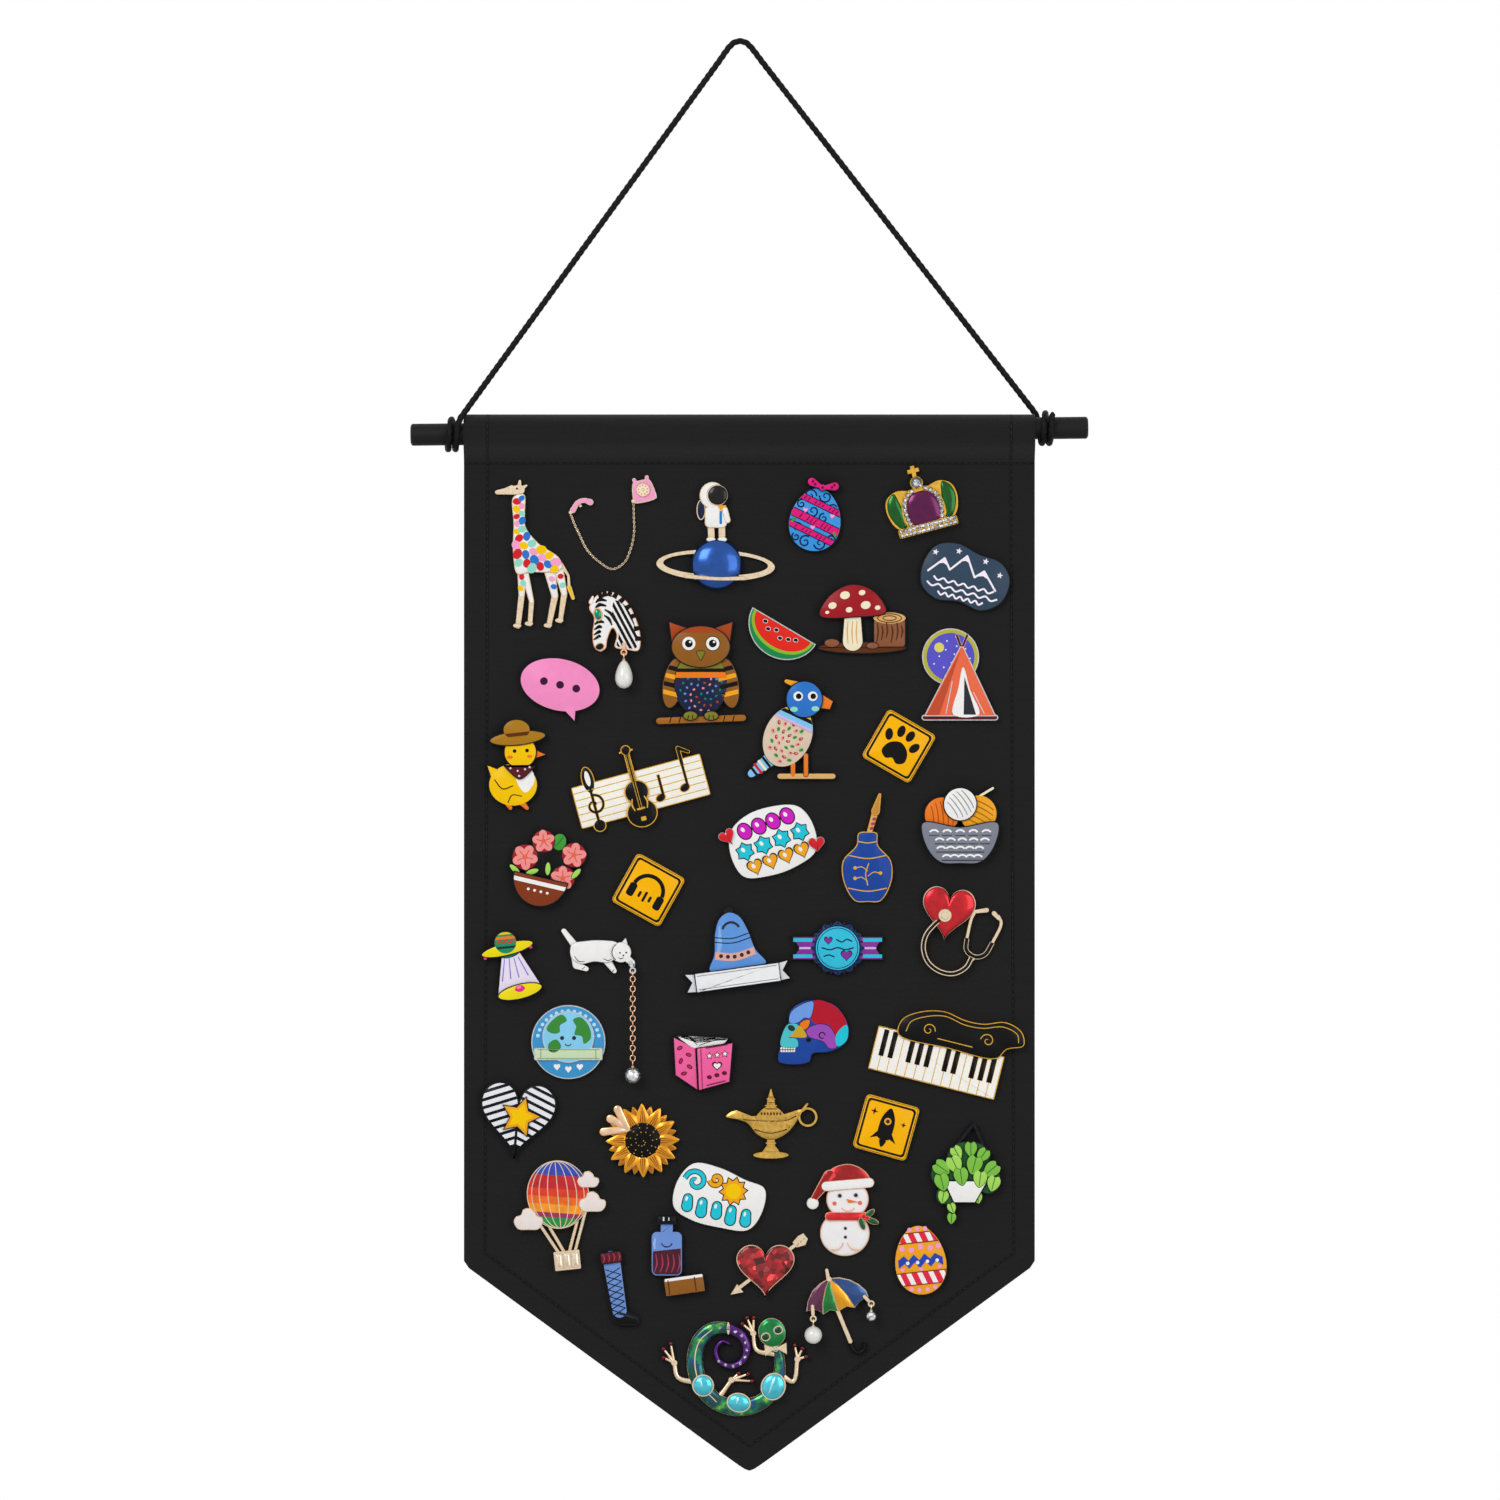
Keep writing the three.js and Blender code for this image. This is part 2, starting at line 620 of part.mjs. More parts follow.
// Astronaut standing on a ringed planet
pin("astronaut_pin", { x: -12.6, drop: 57.8, material: enamel(0x2b66b8), posts: [[0, 0], [-0.5, 18]] }, [
  dome(0, 0, 9.7, PLANET_RISE),
  slab(ellipse(-0.4, -0.4, 22.8, 6, -2), PLATE, 0, [ellipse(-0.4, 0, 20.2, 4.2, -2)]),
  slab(strip([1.6, 1.3, 1.6], [-12, -4.6], [0, -5.6], [11, -5.4]), PLATE + PLANET_RISE),
  raised(ellipse(-1.6, 26.6, 5, 5.2)),
  slab(ellipse(0.3, 26.5, 3.4), CAST),
  raised(box(-0.3, 18.3, 8.6, 8.6, 2)),
  flat(bar(-2.2, 15, -2, 9, 1.3)),
  flat(bar(2, 15, 2.1, 9, 1.3)),
  flat(ellipse(-6, 21, 1.8, 4)),
  raised(bar(3.2, 21, 4.2, 17, 1.2)),
]);

// Painted egg with a bow
pin("painted_egg_pin", { x: 25.7, drop: 38.8, tilt: -9, material: enamel(0x3f9fe6) }, [
  flat(egg(0, -1.8, 20.4, 25)),
  raised(bar(0.8, 11.6, -3.4, 13.2, 0.8, 1.7)),
  raised(bar(0.8, 11.6, 5.2, 12.6, 0.8, 1.7)),
  raised(ellipse(0.8, 11.6, 1.4)),
]);

// Crown: two swelling lobes round a middle stone, a base band, a ball and a cross
pin("crown_pin", { x: 66.5, drop: 34.5, tilt: 15, material: RICH_GOLD }, [
  flat(blob([-10.6, -7.8], [-14, -1], [-13, 4.8], [-8.6, 7.2], [-3, 6.2], [0, 6.8], [3, 6.2], [8.6, 7.2],
    [13, 4.8],
    [14, -1], [10.6, -7.8])),
  raised(blob([-5.4, -7.4], [-5.8, 2], [-3, 6.2], [0, 7], [3, 6.2], [5.8, 2], [5.4, -7.4])),
  cast(box(0, -9.2, 23.4, 3.6, 0.8)),
  dome(0, 8.4, 2.4, DISC_RISE),
  flat(box(0, 12.6, 1.7, 5.2)),
  flat(box(0, 13.2, 4.6, 1.7)),
]);

// Slate plaque with a wavy edge
pin("slate_plaque_pin", { x: 83.1, drop: 63.3, tilt: -15, material: enamel(0x34475a) }, [
  flat(blob([-14, 10], [-6, 12.6], [3, 10.6], [12, 9.6], [17, 4], [16, -5.4], [9, -10.6], [0, -9.4],
    [-9, -10.6], [-16, -6.4],
    [-17.4, 2])),
]);

// Zebra head with a pearl on a ring below the neck
const [zebraEyelet] = pin("zebra_pin", {
  x: -52.1, drop: 79.8, material: enamel(0xe8e8e8), eyelets: [[3.8, -11.9, 3.8, -8.6]],
}, [
  cast(blob([-9.6, 5], [-8.5, 8], [-6.2, 10.4], [-2.9, 11.7], [0.9, 10.8], [5, 7.6], [8, 2.3],
    [10.2, -5.6], [9.4, -11.2],
    [4.8, -10.9], [0.3, -9.9], [1, -5.2], [-0.5, -2.6], [-2.5, -6.7], [-3.2, -10.4], [-5.5, -11.6],
      [-7.7, -9.7],
    [-8.3, -4.4], [-7.8, 1.6])),
]);

function pearlDrop() {
  const top = ringFoot - 0.4;
  const steps = 7;
  const profile = Array.from({ length: steps + 1 }, (_, step) => {
    const t = (Math.PI * step) / steps;
    const swell = Math.sin(t) * (1 - 0.28 * Math.cos(t));
    const edge = step === 0 || step === steps;
    return at(edge ? 0 : (PEARL_WIDTH / 2) * swell * 0.96, top - PEARL_LENGTH / 2 +
      (PEARL_LENGTH / 2) * Math.cos(t));
  });
  return stone(revolved(profile.reverse(), STONE_SIDES), 0);
}
dangle("pearl_drop", zebraEyelet, PEARL, [
  hangingRing(), stem(ringFoot + WIRE_RADIUS, ringFoot - 1.2, 2 * WIRE_RADIUS), pearlDrop(),
]);

// Owl on a branch
pin("owl_pin", { x: -18.7, drop: 99.5, material: enamel(0x7a4a1e) }, [
  flat(ellipse(0, -4, 10.5, 13)),
  raised(ellipse(0, 10, 11.5, 8.2)),
  flat(polygon([-11.4, 11], [-12.6, 20], [-4, 17])),
  flat(polygon([4, 17], [12.6, 20], [11.4, 11])),
  flat(ellipse(-10.6, -4, 4.2, 10, -10)),
  flat(ellipse(10.6, -4, 4.2, 10, 10)),
  raised(ellipse(-4, -16.6, 3, 2)),
  raised(ellipse(4, -16.6, 3, 2)),
  flat(bar(-16, -18.6, 16.2, -17.4, 1.6)),
]);

// Watermelon slice
function halfDisc(radius, depth) {
  const steps = 12;
  return Array.from({ length: steps + 1 }, (_, step) => {
    const angle = Math.PI + (Math.PI * step) / steps;
    return at(radius * Math.cos(angle), depth * Math.sin(angle));
  });
}
pin("watermelon_pin", { x: 13.5, drop: 81.4, tilt: -30.5, material: enamel(0xd92b20), posts: [[0, -5]] }, [
  flat(halfDisc(14.2, 13)),
]);

// Toadstool beside a stump
pin("toadstool_pin", { x: 43.4, drop: 78.7, material: enamel(0xb3262a), posts: [[-3, 4]] }, [
  raised(blob([-16.5, 1], [-13, 8.6], [-4, 13.4], [5, 10.4], [9.4, 2.4], [-3, 0.4])),
  flat(bar(-3.6, 2, -3.6, -8.6, 3.4, 4.2)),
  flat(box(10.6, -5.4, 12.6, 11.4, 1.6)),
  flat(ellipse(10.6, 0.2, 6.6, 2.6)),
  flat(ellipse(0, -11.2, 17.4, 2.4)),
]);

// Tent in front of a night disc
pin("night_tent_pin", { x: 81.1, drop: 100.4, material: enamel(0xdd5f3c), posts: [[0, -3]] }, [
  flat(ellipse(-3.6, 7, 11)),
  raised(polygon([-14, -16], [14, -16], [1.4, 11], [0, 11])),
  flat(bar(0.7, 10, -1.2, 15.2, 0.7)),
  flat(bar(0.7, 10, 2.8, 15.2, 0.7)),
  flat(bar(-13.6, -16.4, 13.6, -16.4, 1.2)),
]);

// Speech bubble
pin("speech_bubble_pin", { x: -72.9, drop: 104.2, tilt: -13, material: enamel(0xf58ac0) }, [
  flat(ellipse(0, 0, 15.8, 10.3)),
  flat(polygon([1.6, -8], [9, -13], [8, -6])),
]);

// Parrot on a perch
pin("parrot_pin", { x: 15.8, drop: 121.4, material: enamel(0x2f7fc4) }, [
  flat(ellipse(-1, -2.6, 9.4, 12.6, -25)),
  raised(ellipse(5.4, 11.6, 7.2)),
  flat(polygon([11, 14.6], [16.8, 11], [15.4, 7.4], [11, 8])),
  flat(bar(3, 17, -1.6, 18.6, 1.8, 1.1)),
  flat(bar(-6, -10, -15, -17, 3.4, 1.8)),
  flat(bar(1, -13, 1, -17.4, 1.2)),
  flat(bar(6, -10, 6, -17.4, 1.2)),
  flat(bar(-4, -18, 16.4, -18, 1.4)),
]);

// Three square signs, alike but for the turn
for (const [name, x, drop, tilt] of [
  ["paw_sign_pin", 57.6, 127.8, -30],
  ["headphone_sign_pin", -38.9, 183.2, -29],
  ["rocket_sign_pin", 52.7, 274.7, -15.5],
]) {
  pin(name, { x, drop, tilt, material: enamel(0xf5b400) },
    [flat(box(0, 0, SIGN_SIDE, SIGN_SIDE, SIGN_CORNER))]);
}

// Duckling in a straw hat
pin("duckling_pin", { x: -89.6, drop: 134.7, material: enamel(0xf2c200), posts: [[0, -3]] }, [
  flat(ellipse(-1.4, -8, 9.6, 8.4)),
  flat(polygon([-8.6, -10], [-11.8, 0], [-4, -3])),
  raised(ellipse(1.4, 4.6, 6.4)),
  flat(polygon([6.4, 6], [11.6, 3.6], [6.4, 1.8])),
  slab(ellipse(0.4, 10, 11, 2.9, 6), CAST),
  slab(ellipse(0, 13.2, 5.4, 4.2), CAST),
  flat(bar(-3.6, -15, -2.4, -17, 1.4, 1)),
  flat(bar(2, -15, 4, -17, 1.4, 1)),
]);

// Music sheet with a fiddle across it
pin("sheet_music_pin", { x: -41.8, drop: 145.2, tilt: 15, material: enamel(0xf1efe6), posts: [[-14, 0],
  [12, 0]] }, [
  flat(box(0, 0, 51.5, 16.5, 0.8)),
  raised(ellipse(-1.6, -8.2, 6, 5.6)),
  raised(ellipse(-1.6, 0.2, 4.8, 4.6)),
  raised(bar(-1.6, 2, -1.6, 15.6, 1.2)),
  raised(ellipse(-1.6, 16.8, 2)),
  flat(ellipse(-18.6, 9.4, 2.6, 5.4)),
  flat(ellipse(-18.6, -8.6, 2.6)),
  flat(bar(18, 6, 18, 12.4, 0.9)),
  flat(bar(18, 12.4, 21.6, 10, 0.9, 0.7)),
]);

// White-edged plaque with two small hearts at its corners
pin("rainbow_plaque_pin", { x: 8.9, drop: 164.6, tilt: 20, material: enamel(0xf4f4f4) }, [
  flat(blob([-15, -9], [-17, 0], [-14, 9], [-6, 13], [5, 12.8], [14, 9.4], [17, 1], [14.6, -9],
    [5, -12.2], [-6, -12])),
  raised(heart(-15.6, 7.4, 6.4, 6, 12)),
  raised(heart(15.6, -7, 6.4, 6, -12)),
]);

// Vase with a paint brush
pin("blue_vase_pin", { x: 45.6, drop: 166.9, material: enamel(0x1f4aa0), posts: [[-1, -9]] }, [
  flat(blob([-5, -20.6], [-9.4, -13], [-9.6, -5], [-4.4, 1], [-3.6, 5.6], [0, 6.2], [3.6, 5.6], [4, 1],
    [9, -5], [9.2, -13],
    [5, -20.6], [0, -21])),
  flat(bar(0.4, 5, 3, 14, 1, 1.3)),
  raised(bar(3, 14, 4.6, 20.4, 1.7, 0.6)),
]);

// Basket of yarn
pin("yarn_basket_pin", { x: 81.2, drop: 158.2, material: enamel(0x7e8089), posts: [[0, -5]] }, [
  flat(ellipse(-7, 4, 7)),
  flat(ellipse(7, 4.4, 7.4)),
  raised(ellipse(0, 8, 6.6)),
  raised(blob([-14.6, 1], [-13.4, -8], [-8, -14.4], [0, -15], [8, -14.4], [13.4, -8], [14.6, 1],
    [0, -0.6])),
  flat(bar(4, 9, 12.6, 14.2, 0.7)),
]);

// Bowl of flowers
pin("flower_bowl_pin", { x: -78.8, drop: 175.8, tilt: -13, material: enamel(0x7a3517) }, [
  flat(ellipse(0, 3, 9.6, 8)),
  flat(ellipse(-8.6, 3.4, 5.2)),
  flat(ellipse(-3, 11, 4.8, 4.4)),
  flat(ellipse(9.6, 8.4, 5)),
  flat(ellipse(7.4, -1.2, 5.4, 4.6)),
  flat(ellipse(3, 12, 3, 3.6)),
  raised(halfDisc(10.8, 11.6).map((point) => point.add(at(-0.8, -2.6)))),
]);

// Bell above a bare ribbon
pin("bell_pin", { x: -5.9, drop: 207, tilt: 8, material: enamel(0x5b8ed6), posts: [[0, 4], [0, -10]] }, [
  flat(blob([-10.6, -6], [-8, 0], [-6.6, 8], [-4, 13.6], [0, 15.6], [4, 13.6], [6.6, 8], [8.6, 0],
    [12, -6], [0, -8])),
  flat(ellipse(0, 15.6, 1.9)),
  raised(box(0, -10, 33, 7.6)),
  flat(polygon([-20.6, -13.4], [-15.6, -13.8], [-15.6, -6.4], [-20.6, -5.8], [-18, -9.6])),
  flat(polygon([20.6, -13.4], [18, -9.6], [20.6, -5.8], [15.6, -6.4], [15.6, -13.8])),
]);

// Rosette on a crossing ribbon
pin("rosette_pin", { x: 34, drop: 205.6, material: enamel(0x2f9fc9) }, [
  flat(polygon([-18, -4.6], [18, -4.6], [15, 0], [18, 4.6], [-18, 4.6], [-15, 0])),
  flat(petals(0, 0, 12, 10.7, 9.4)),
  raised(ellipse(0, 0, 8.8)),
]);

// Heart with a stethoscope
pin("stethoscope_pin", { x: 82.2, drop: 199.2, material: enamel(0xc01f2b), posts: [[-5.6, 2]] }, [
  raised(heart(-5.8, 6.6, 20.4, 20.6, -8)),
  slab(ellipse(-6.9, 6.2, 2.5), CAST + PLATE),
  slab(strip([1.2, 1.2], [-8.2, 5], [-11, 2.6], [-14.2, -1.4], [-15.2, -6.4], [-13.4, -11.8],
    [-8.8, -15.4], [-3.4, -16.2],
    [1.2, -13.8], [3.4, -10]), RAISED),
  flat(strip([1.2, 1.2], [5.2, 8.2], [3.4, 5], [1.6, -2.6], [1.4, -7.2], [4.6, -9.8], [8.4, -9],
    [11.4, -4.4], [14.8, 3.2],
    [13.6, 6.2])),
  flat(bar(4.6, 7.6, 9.2, 8.2, 0.7, 0.9)),
  flat(bar(13.8, 5, 12, 7, 0.7, 0.9)),
]);

// Flying saucer with its beam
pin("saucer_pin", { x: -91.3, drop: 212.5, material: enamel(0xe9d21a) }, [
  flat(polygon([-4.2, 4], [2.8, 5.6], [11.4, -7.6], [-5.6, -12])),
  raised(ellipse(-1.9, 6.6, 10.4, 2.6, 14)),
  raised(ellipse(-2.6, 9, 4.6, 4.6)),
  raised(ellipse(3, -9.8, 8.9, 3, 14)),
]);

// White cat that reaches for a crystal on a chain
const [catEyelet] = pin("white_cat_pin", {
  x: -57.8, drop: 207.2, material: enamel(0xf0f0f0), posts: [[-3, 0]], eyelets: [[12.9, -7, 12.2, -3.8]],
}, [
  flat(bar(-13.7, 8.2, -9.4, 2.6, 1, 1.4)),
  raised(blob([-10.6, 3], [-5, 4.4], [2, 4.6], [7, 3.6], [8, 0], [4, -3.8], [-2, -3.6], [-7, -4.4],
    [-10.8, -2])),
  flat(bar(-8.6, -1, -8.8, -5, 2.4, 1.5)),
  flat(bar(-8.8, -5, -5, -6.4, 1.5, 1)),
  flat(bar(2.4, -2.4, 5.8, -7.2, 1.7, 1)),
  cast(ellipse(8.4, 0, 3.9)),
  flat(polygon([7.4, 2.6], [10.2, 5.6], [11.4, 1.6])),
  cast(bar(9.6, -1.4, 12.6, -4, 1.5, 1.2)),
]);

function crystalChain() {
  const pitch = 2 * LINK_HALF_LENGTH - 2 * WIRE_RADIUS + LINK_BITE;
  const first = ringFoot + 2 * WIRE_RADIUS - LINK_BITE;
  const links = Array.from({ length: LINK_COUNT }, (_, link) =>
    wireLoop(first - link * pitch, LINK_HALF_LENGTH, LINK_HALF_WIDTH, link % 2 === 1));
  const foot = first - (LINK_COUNT - 1) * pitch - 2 * LINK_HALF_LENGTH;
  const ball = stone(new THREE.IcosahedronGeometry(CRYSTAL_RADIUS, 1), foot - CRYSTAL_RADIUS - WIRE_RADIUS);
  const cap = stem(foot + WIRE_RADIUS / 2, foot - 4 * WIRE_RADIUS, 2 * WIRE_RADIUS);
  return [hangingRing(), ...links, cap, ball];
}
dangle("crystal_chain", catEyelet, PALE_GOLD, crystalChain());

// Globe with a bare ribbon
pin("globe_pin", { x: -69.7, drop: 241.8, material: enamel(0x3f95cc) }, [
  flat(ellipse(0, 0, 14.3)),
  raised(ellipse(0, 2, 10)),
  raised(box(0, -4.6, 26.4, 4.8, 0.6)),
]);

// Open book
pin("pink_book_pin", { x: -17.8, drop: 249.7, material: enamel(0xee5fa2), posts: [[3, -2]] }, [
  flat(polygon([-11.7, 10.2], [-10.9, -5], [-1.9, -11], [-2.7, 5.7])),
  raised(polygon([-2.7, 5.7], [-1.9, -11], [10.4, -7.6], [11.7, 7.9])),
  flat(blob([-10.4, 10.4], [-6, 10.2], [-2, 8], [4, 9.6], [10, 9.4], [8, 7], [-2.6, 5], [-8, 8])),
]);

// Skull in profile
pin("skull_pin", { x: 24.4, drop: 237.8, material: enamel(0xb4182c), posts: [[2, 3]] }, [
  flat(blob([0.5, 12.3], [8.5, 10.3], [13.6, 3], [13.5, -3], [10, -6.4], [5.5, -8], [0, -8.6],
    [-1.4, -11.8], [-13, -11.8],
    [-13.4, -8.6], [-12.2, -5], [-11.9, -0.8], [-9.7, 3], [-9, 7.6], [-4.4, 11.4])),
]);

// Piano keys under a grand piano's lid
pin("piano_pin", { x: 76.7, drop: 243.7, tilt: -14, material: enamel(0xf3f1ea), posts: [[-14, -6],
  [10, -6]] }, [
  flat(box(-3.1, -7, 50, 17.2, 0.4)),
  raised(blob([-20, 0], [-20, 6], [-14, 10.6], [-5, 13], [4, 11.6], [11, 12], [19, 14.6], [26, 12.4],
    [28, 7.4], [22, 4.4],
    [19, 0], [0, -0.6])),
]);

// Striped heart
pin("striped_heart_pin", { x: -89.4, drop: 272.1, tilt: -5, material: enamel(0xe6e6e6) }, [
  flat(heart(0, 0, 29.4, 29.4)),
]);

// Sunflower with a bee on its petals
pin("sunflower_pin", { x: -41.1, drop: 279.7, material: RICH_GOLD }, [
  flat(petals(0, 0, 16, 14.2, 9.6)),
  dome(0, 0, 7.1, DISC_RISE),
  raised(bar(-6, 4.4, -15, 3.4, 1.4, 1.2)),
  raised(bar(-6, 5, -12.4, 8.4, 1.4, 1.2)),
  raised(bar(-6, 5, -9.6, 12, 1.3, 1.2)),
]);

// Oil lamp on a foot
pin("oil_lamp_pin", { x: 9.1, drop: 273.1, material: RICH_GOLD, posts: [[-0.8, -1.4]] }, [
  raised(blob([-18.2, 2.6], [-14.4, 5.2], [-12, 3.2], [-6, 3], [0, 2.6], [6, 3.2], [10.8, 5.4],
    [9.4, 1.4], [5, -4], [-0.8, -6.4],
    [-6, -4.4], [-10, 0], [-14, 1.4])),
  cast(blob([-6.6, 2], [-4.4, 5.2], [-2.6, 6.6], [-2.2, 9], [-1.6, 11], [-0.8, 13.4], [0, 11], [0.6, 9],
    [1, 6.6], [2.8, 5.2],
    [5, 2])),
  slab(ellipse(13.4, 2.4, 3.7), PLATE, 0, [ellipse(13.4, 2.4, 2.4)]),
  flat(bar(11.4, 5, 13.2, 7.4, 0.6, 0.4)),
  flat(polygon([-2.2, -5], [0.6, -5], [0.8, -8.6], [3.4, -12], [-5, -12], [-2.4, -8.6])),
  raised(ellipse(-0.8, -12.2, 6.8, 1.4)),
]);

// Leafy plant in a hanging pot
pin("leafy_pot_pin", { x: 83.1, drop: 295, material: enamel(0x7fbf4a), posts: [[0, 2]] }, [
  raised(polygon([-8.6, 0], [-4.5, -8.8], [4, -8.8], [9, 0])),
  flat(ellipse(0, 3.4, 13.2, 5.6)),
  flat(ellipse(-8, 2, 5.4, 5)),
  flat(ellipse(9, 0, 5, 5.4)),
  flat(ellipse(1.4, 9.2, 8.4, 6)),
  flat(ellipse(-8.4, -6, 3, 3.6)),
  flat(bar(-6.6, -4, -5.4, -14.6, 1.4, 1.2)),
  flat(ellipse(-5.2, -14.6, 2.2, 2.6)),
  flat(ellipse(4.8, -6.4, 2.2, 2.8)),
  flat(bar(3.4, 21.6, -3.6, 13.2, 0.6)),
  flat(bar(3.4, 21.6, 7.4, 12.6, 0.6)),
]);

// Hot-air balloon with clouds and a basket
const cloud = (x, y, size) => [
  raised(ellipse(x, y, size, size * 0.55)),
  raised(ellipse(x, y + size * 0.4, size * 0.55)),
];
pin("balloon_pin", { x: -72.9, drop: 308.8, material: PALE_GOLD, posts: [[-0.8, 8]] }, [
  raised(ellipse(-0.8, 8.3, 12, 13.2, 5)),
  ...cloud(10.8, 13.4, 4.2),
  ...cloud(12.4, 4.6, 5.2),
  ...cloud(-12.2, -2.2, 5.6),
  flat(bar(-8.4, -2.4, -0.9, -13.6, 0.6)),
  flat(bar(-4.8, -3, 1.4, -13.6, 0.6)),
  flat(bar(6.6, -2, 3.6, -13.6, 0.6)),
  flat(bar(9.8, 2, 5.8, -13.6, 0.6)),
  raised(box(2.8, -17, 10, 7.4, 0.4, 6)),
]);

// White-edged plaque with a sun
pin("sun_plaque_pin", { x: -11.6, drop: 301.9, tilt: -15, material: enamel(0xf4f4f4) }, [
  flat(blob([-16, -8], [-17.4, 2], [-13, 10.4], [-3, 11.4], [8, 9.4], [16, 8], [17.4, -1], [14, -9],
    [3, -11], [-8, -11])),
]);

// Snowman in a red cap
pin("snowman_pin", { x: 36.4, drop: 306.5, material: enamel(0xf0efee), posts: [[0, -5]] }, [
  flat(ellipse(0.4, -9, 9.6, 8.8)),
  raised(ellipse(1.4, 4.2, 8.2, 7.6)),
  raised(blob([-7.4, 9.4], [-5.4, 15.4], [2, 17.8], [8.6, 14.6], [10.4, 9.8], [1, 9])),
  raised(bar(-5.4, 13, -11.4, 4.6, 2.6, 1.3)),
  raised(ellipse(-12, 2.6, 2.4)),
  cast(bar(-6.8, 9.2, 9.8, 10.6, 1.9)),
  raised(bar(-5.6, -2.4, 8, -2.4, 1.7)),
  raised(ellipse(9.8, -1.4, 3.4, 1.7, 40)),
]);

// Ink bottle leaning on a book, and a laced boot beside it
pin("ink_bottle_pin", { x: -28.4, drop: 323.9, material: enamel(0x6c8fd0) }, [
  flat(box(-3.4, 0.6, 12.4, 17.6, 2.4)),
  flat(box(-3.4, 10.4, 5.4, 5)),
  raised(box(-3.4, 13.6, 7.4, 3.4, 0.6)),
  raised(box(3.4, -11.4, 15.6, 7.2, 0.6, 8)),
]);
pin("boot_pin", { x: -49.9, drop: 337.2, tilt: 8, material: enamel(0x5577b8) }, [
  flat(bar(-1.6, 12, -1.2, -8, 3.7, 3.1)),
  flat(bar(-1.2, -10.4, 4, -12.4, 3.2, 2)),
  raised(box(-1.6, 12.8, 8.6, 4.6, 1)),
]);

// Heart pierced by an arrow
pin("arrow_heart_pin", { x: 6.2, drop: 330, material: enamel(0xb3141f) }, [
  slab(bar(-11.6, -7.6, 14.4, 12.2, 0.7), PLATE),
  cast(heart(0, 0, 22.4, 20.4)),
  flat(polygon([-13.6, -9.2], [-8.4, -8.2], [-10.9, -4.9])),
  flat(polygon([12, 9], [15.4, 10], [16.4, 12.4], [14.6, 14.6], [12.4, 13.4], [10.4, 11])),
]);

// Umbrella with a pearl and a crystal at its rim
const [leftRim, rightRim] = pin("umbrella_pin", {
  x: 35.5, drop: 346, material: PALE_GOLD, posts: [[-3.4, 7.4]],
  eyelets: [[-10.9, -2.2, -11.2, 2.6], [11.4, 3.6, 8.8, 6.4]],
}, [
  raised(polygon([-4.8, 13.2], [-8.4, 11.2], [-11.2, 8.4], [-13, 4.4], [-13.6, 0.4], [-10.6, 1.2],
    [-8.8, 0.6], [-7, -0.8],
    [-4.4, 1], [-1.2, 0.4], [2, 2.4], [5, 1.8], [7.2, 4.4], [10.4, 6.2], [9.4, 8.6], [6.6, 11],
      [3, 12.8], [-1, 13.6])),
  flat(bar(-5, 12.6, -5.7, 16.4, 0.8, 0.6)),
  flat(bar(-1.6, 1, 3.4, -11.2, 0.8)),
  flat(strip([1.5, 1.3], [3.2, -10.8], [4.4, -14], [6.4, -15.6], [8.6, -14.2], [8.8, -11.6])),
]);
const umbrellaStone = (geometry, radius) => [
  hangingRing(),
  stem(ringFoot + WIRE_RADIUS, ringFoot - WIRE_RADIUS - 0.6, 2 * WIRE_RADIUS),
  stone(geometry, ringFoot - WIRE_RADIUS - radius),
];
dangle("umbrella_pearl", leftRim, PEARL,
  umbrellaStone(new THREE.SphereGeometry(UMBRELLA_PEARL_RADIUS, STONE_SIDES, STONE_SIDES - 2),
    UMBRELLA_PEARL_RADIUS));
dangle("umbrella_crystal", rightRim, CRYSTAL,
  umbrellaStone(new THREE.IcosahedronGeometry(UMBRELLA_CRYSTAL_RADIUS, 1), UMBRELLA_CRYSTAL_RADIUS));

// Banded egg
pin("banded_egg_pin", { x: 65.9, drop: 325.8, tilt: 6, material: enamel(0xe3a526) }, [
  flat(egg(0, 0, 20, 27)),
]);

// Gecko curled into a ring, with a spiral tail, four spread feet and a round head
const geckoToes = (x, y, ...tips) => tips.map(([tx, ty]) => flat(bar(x, y, tx, ty, 0.7, 0.9)));
pin("gecko_pin", { x: -5.9, drop: 366, material: enamel(0x0f7d6a), posts: [[-13.4, -6], [11.4, -13]] }, [
  raised(strip([3.4, 5, 6.4, 6.6, 6.6, 6, 5, 4, 3.2, 2.6, 2, 1.6], [15.8, 10], [17.6, 1], [16.6, -7],
    [11, -14], [2.2, -16.8],
    [-6.7, -14.4], [-13.3, -7], [-15.1, 2], [-13.2, 9.2], [-8.4, 13.6], [-2.2, 14], [2.9, 11], [4.9, 6],
      [3.1, 1.2],
    [-1.4, -0.6], [-5.8, 1.4], [-7, 6], [-4.5, 9], [-1.6, 8])),
  cast(ellipse(14.6, 12.4, 5.2, 5.6, 20)),
  flat(bar(17, -3, 22.8, -6.6, 1.2, 0.9)),
  flat(bar(22.8, -6.6, 24.4, 2, 0.9)),
  ...geckoToes(24.4, 2, [23.4, 7.4], [26.4, 6.2], [27.8, 3]),
  flat(bar(16, 4, 8.6, 5.6, 1.2, 0.9)),
  flat(bar(8.6, 5.6, 7.4, 12, 0.9)),
  ...geckoToes(7.4, 12, [3.2, 15.6], [5, 18], [7.6, 18]),
  flat(bar(-14, -7, -21.6, -5, 1.2, 0.9)),
  flat(bar(-21.6, -5, -23, 0.6, 0.9)),
  ...geckoToes(-23, 0.6, [-27.2, 2.6], [-27.2, 6], [-24.4, 8]),
  flat(bar(-6, -13, -1, -6, 1.2, 0.9)),
  ...geckoToes(-1, -6, [1.8, -3.4], [5.4, -3.6], [7, -6.4]),
]);

banner.add(makeCanvas());

export default board;
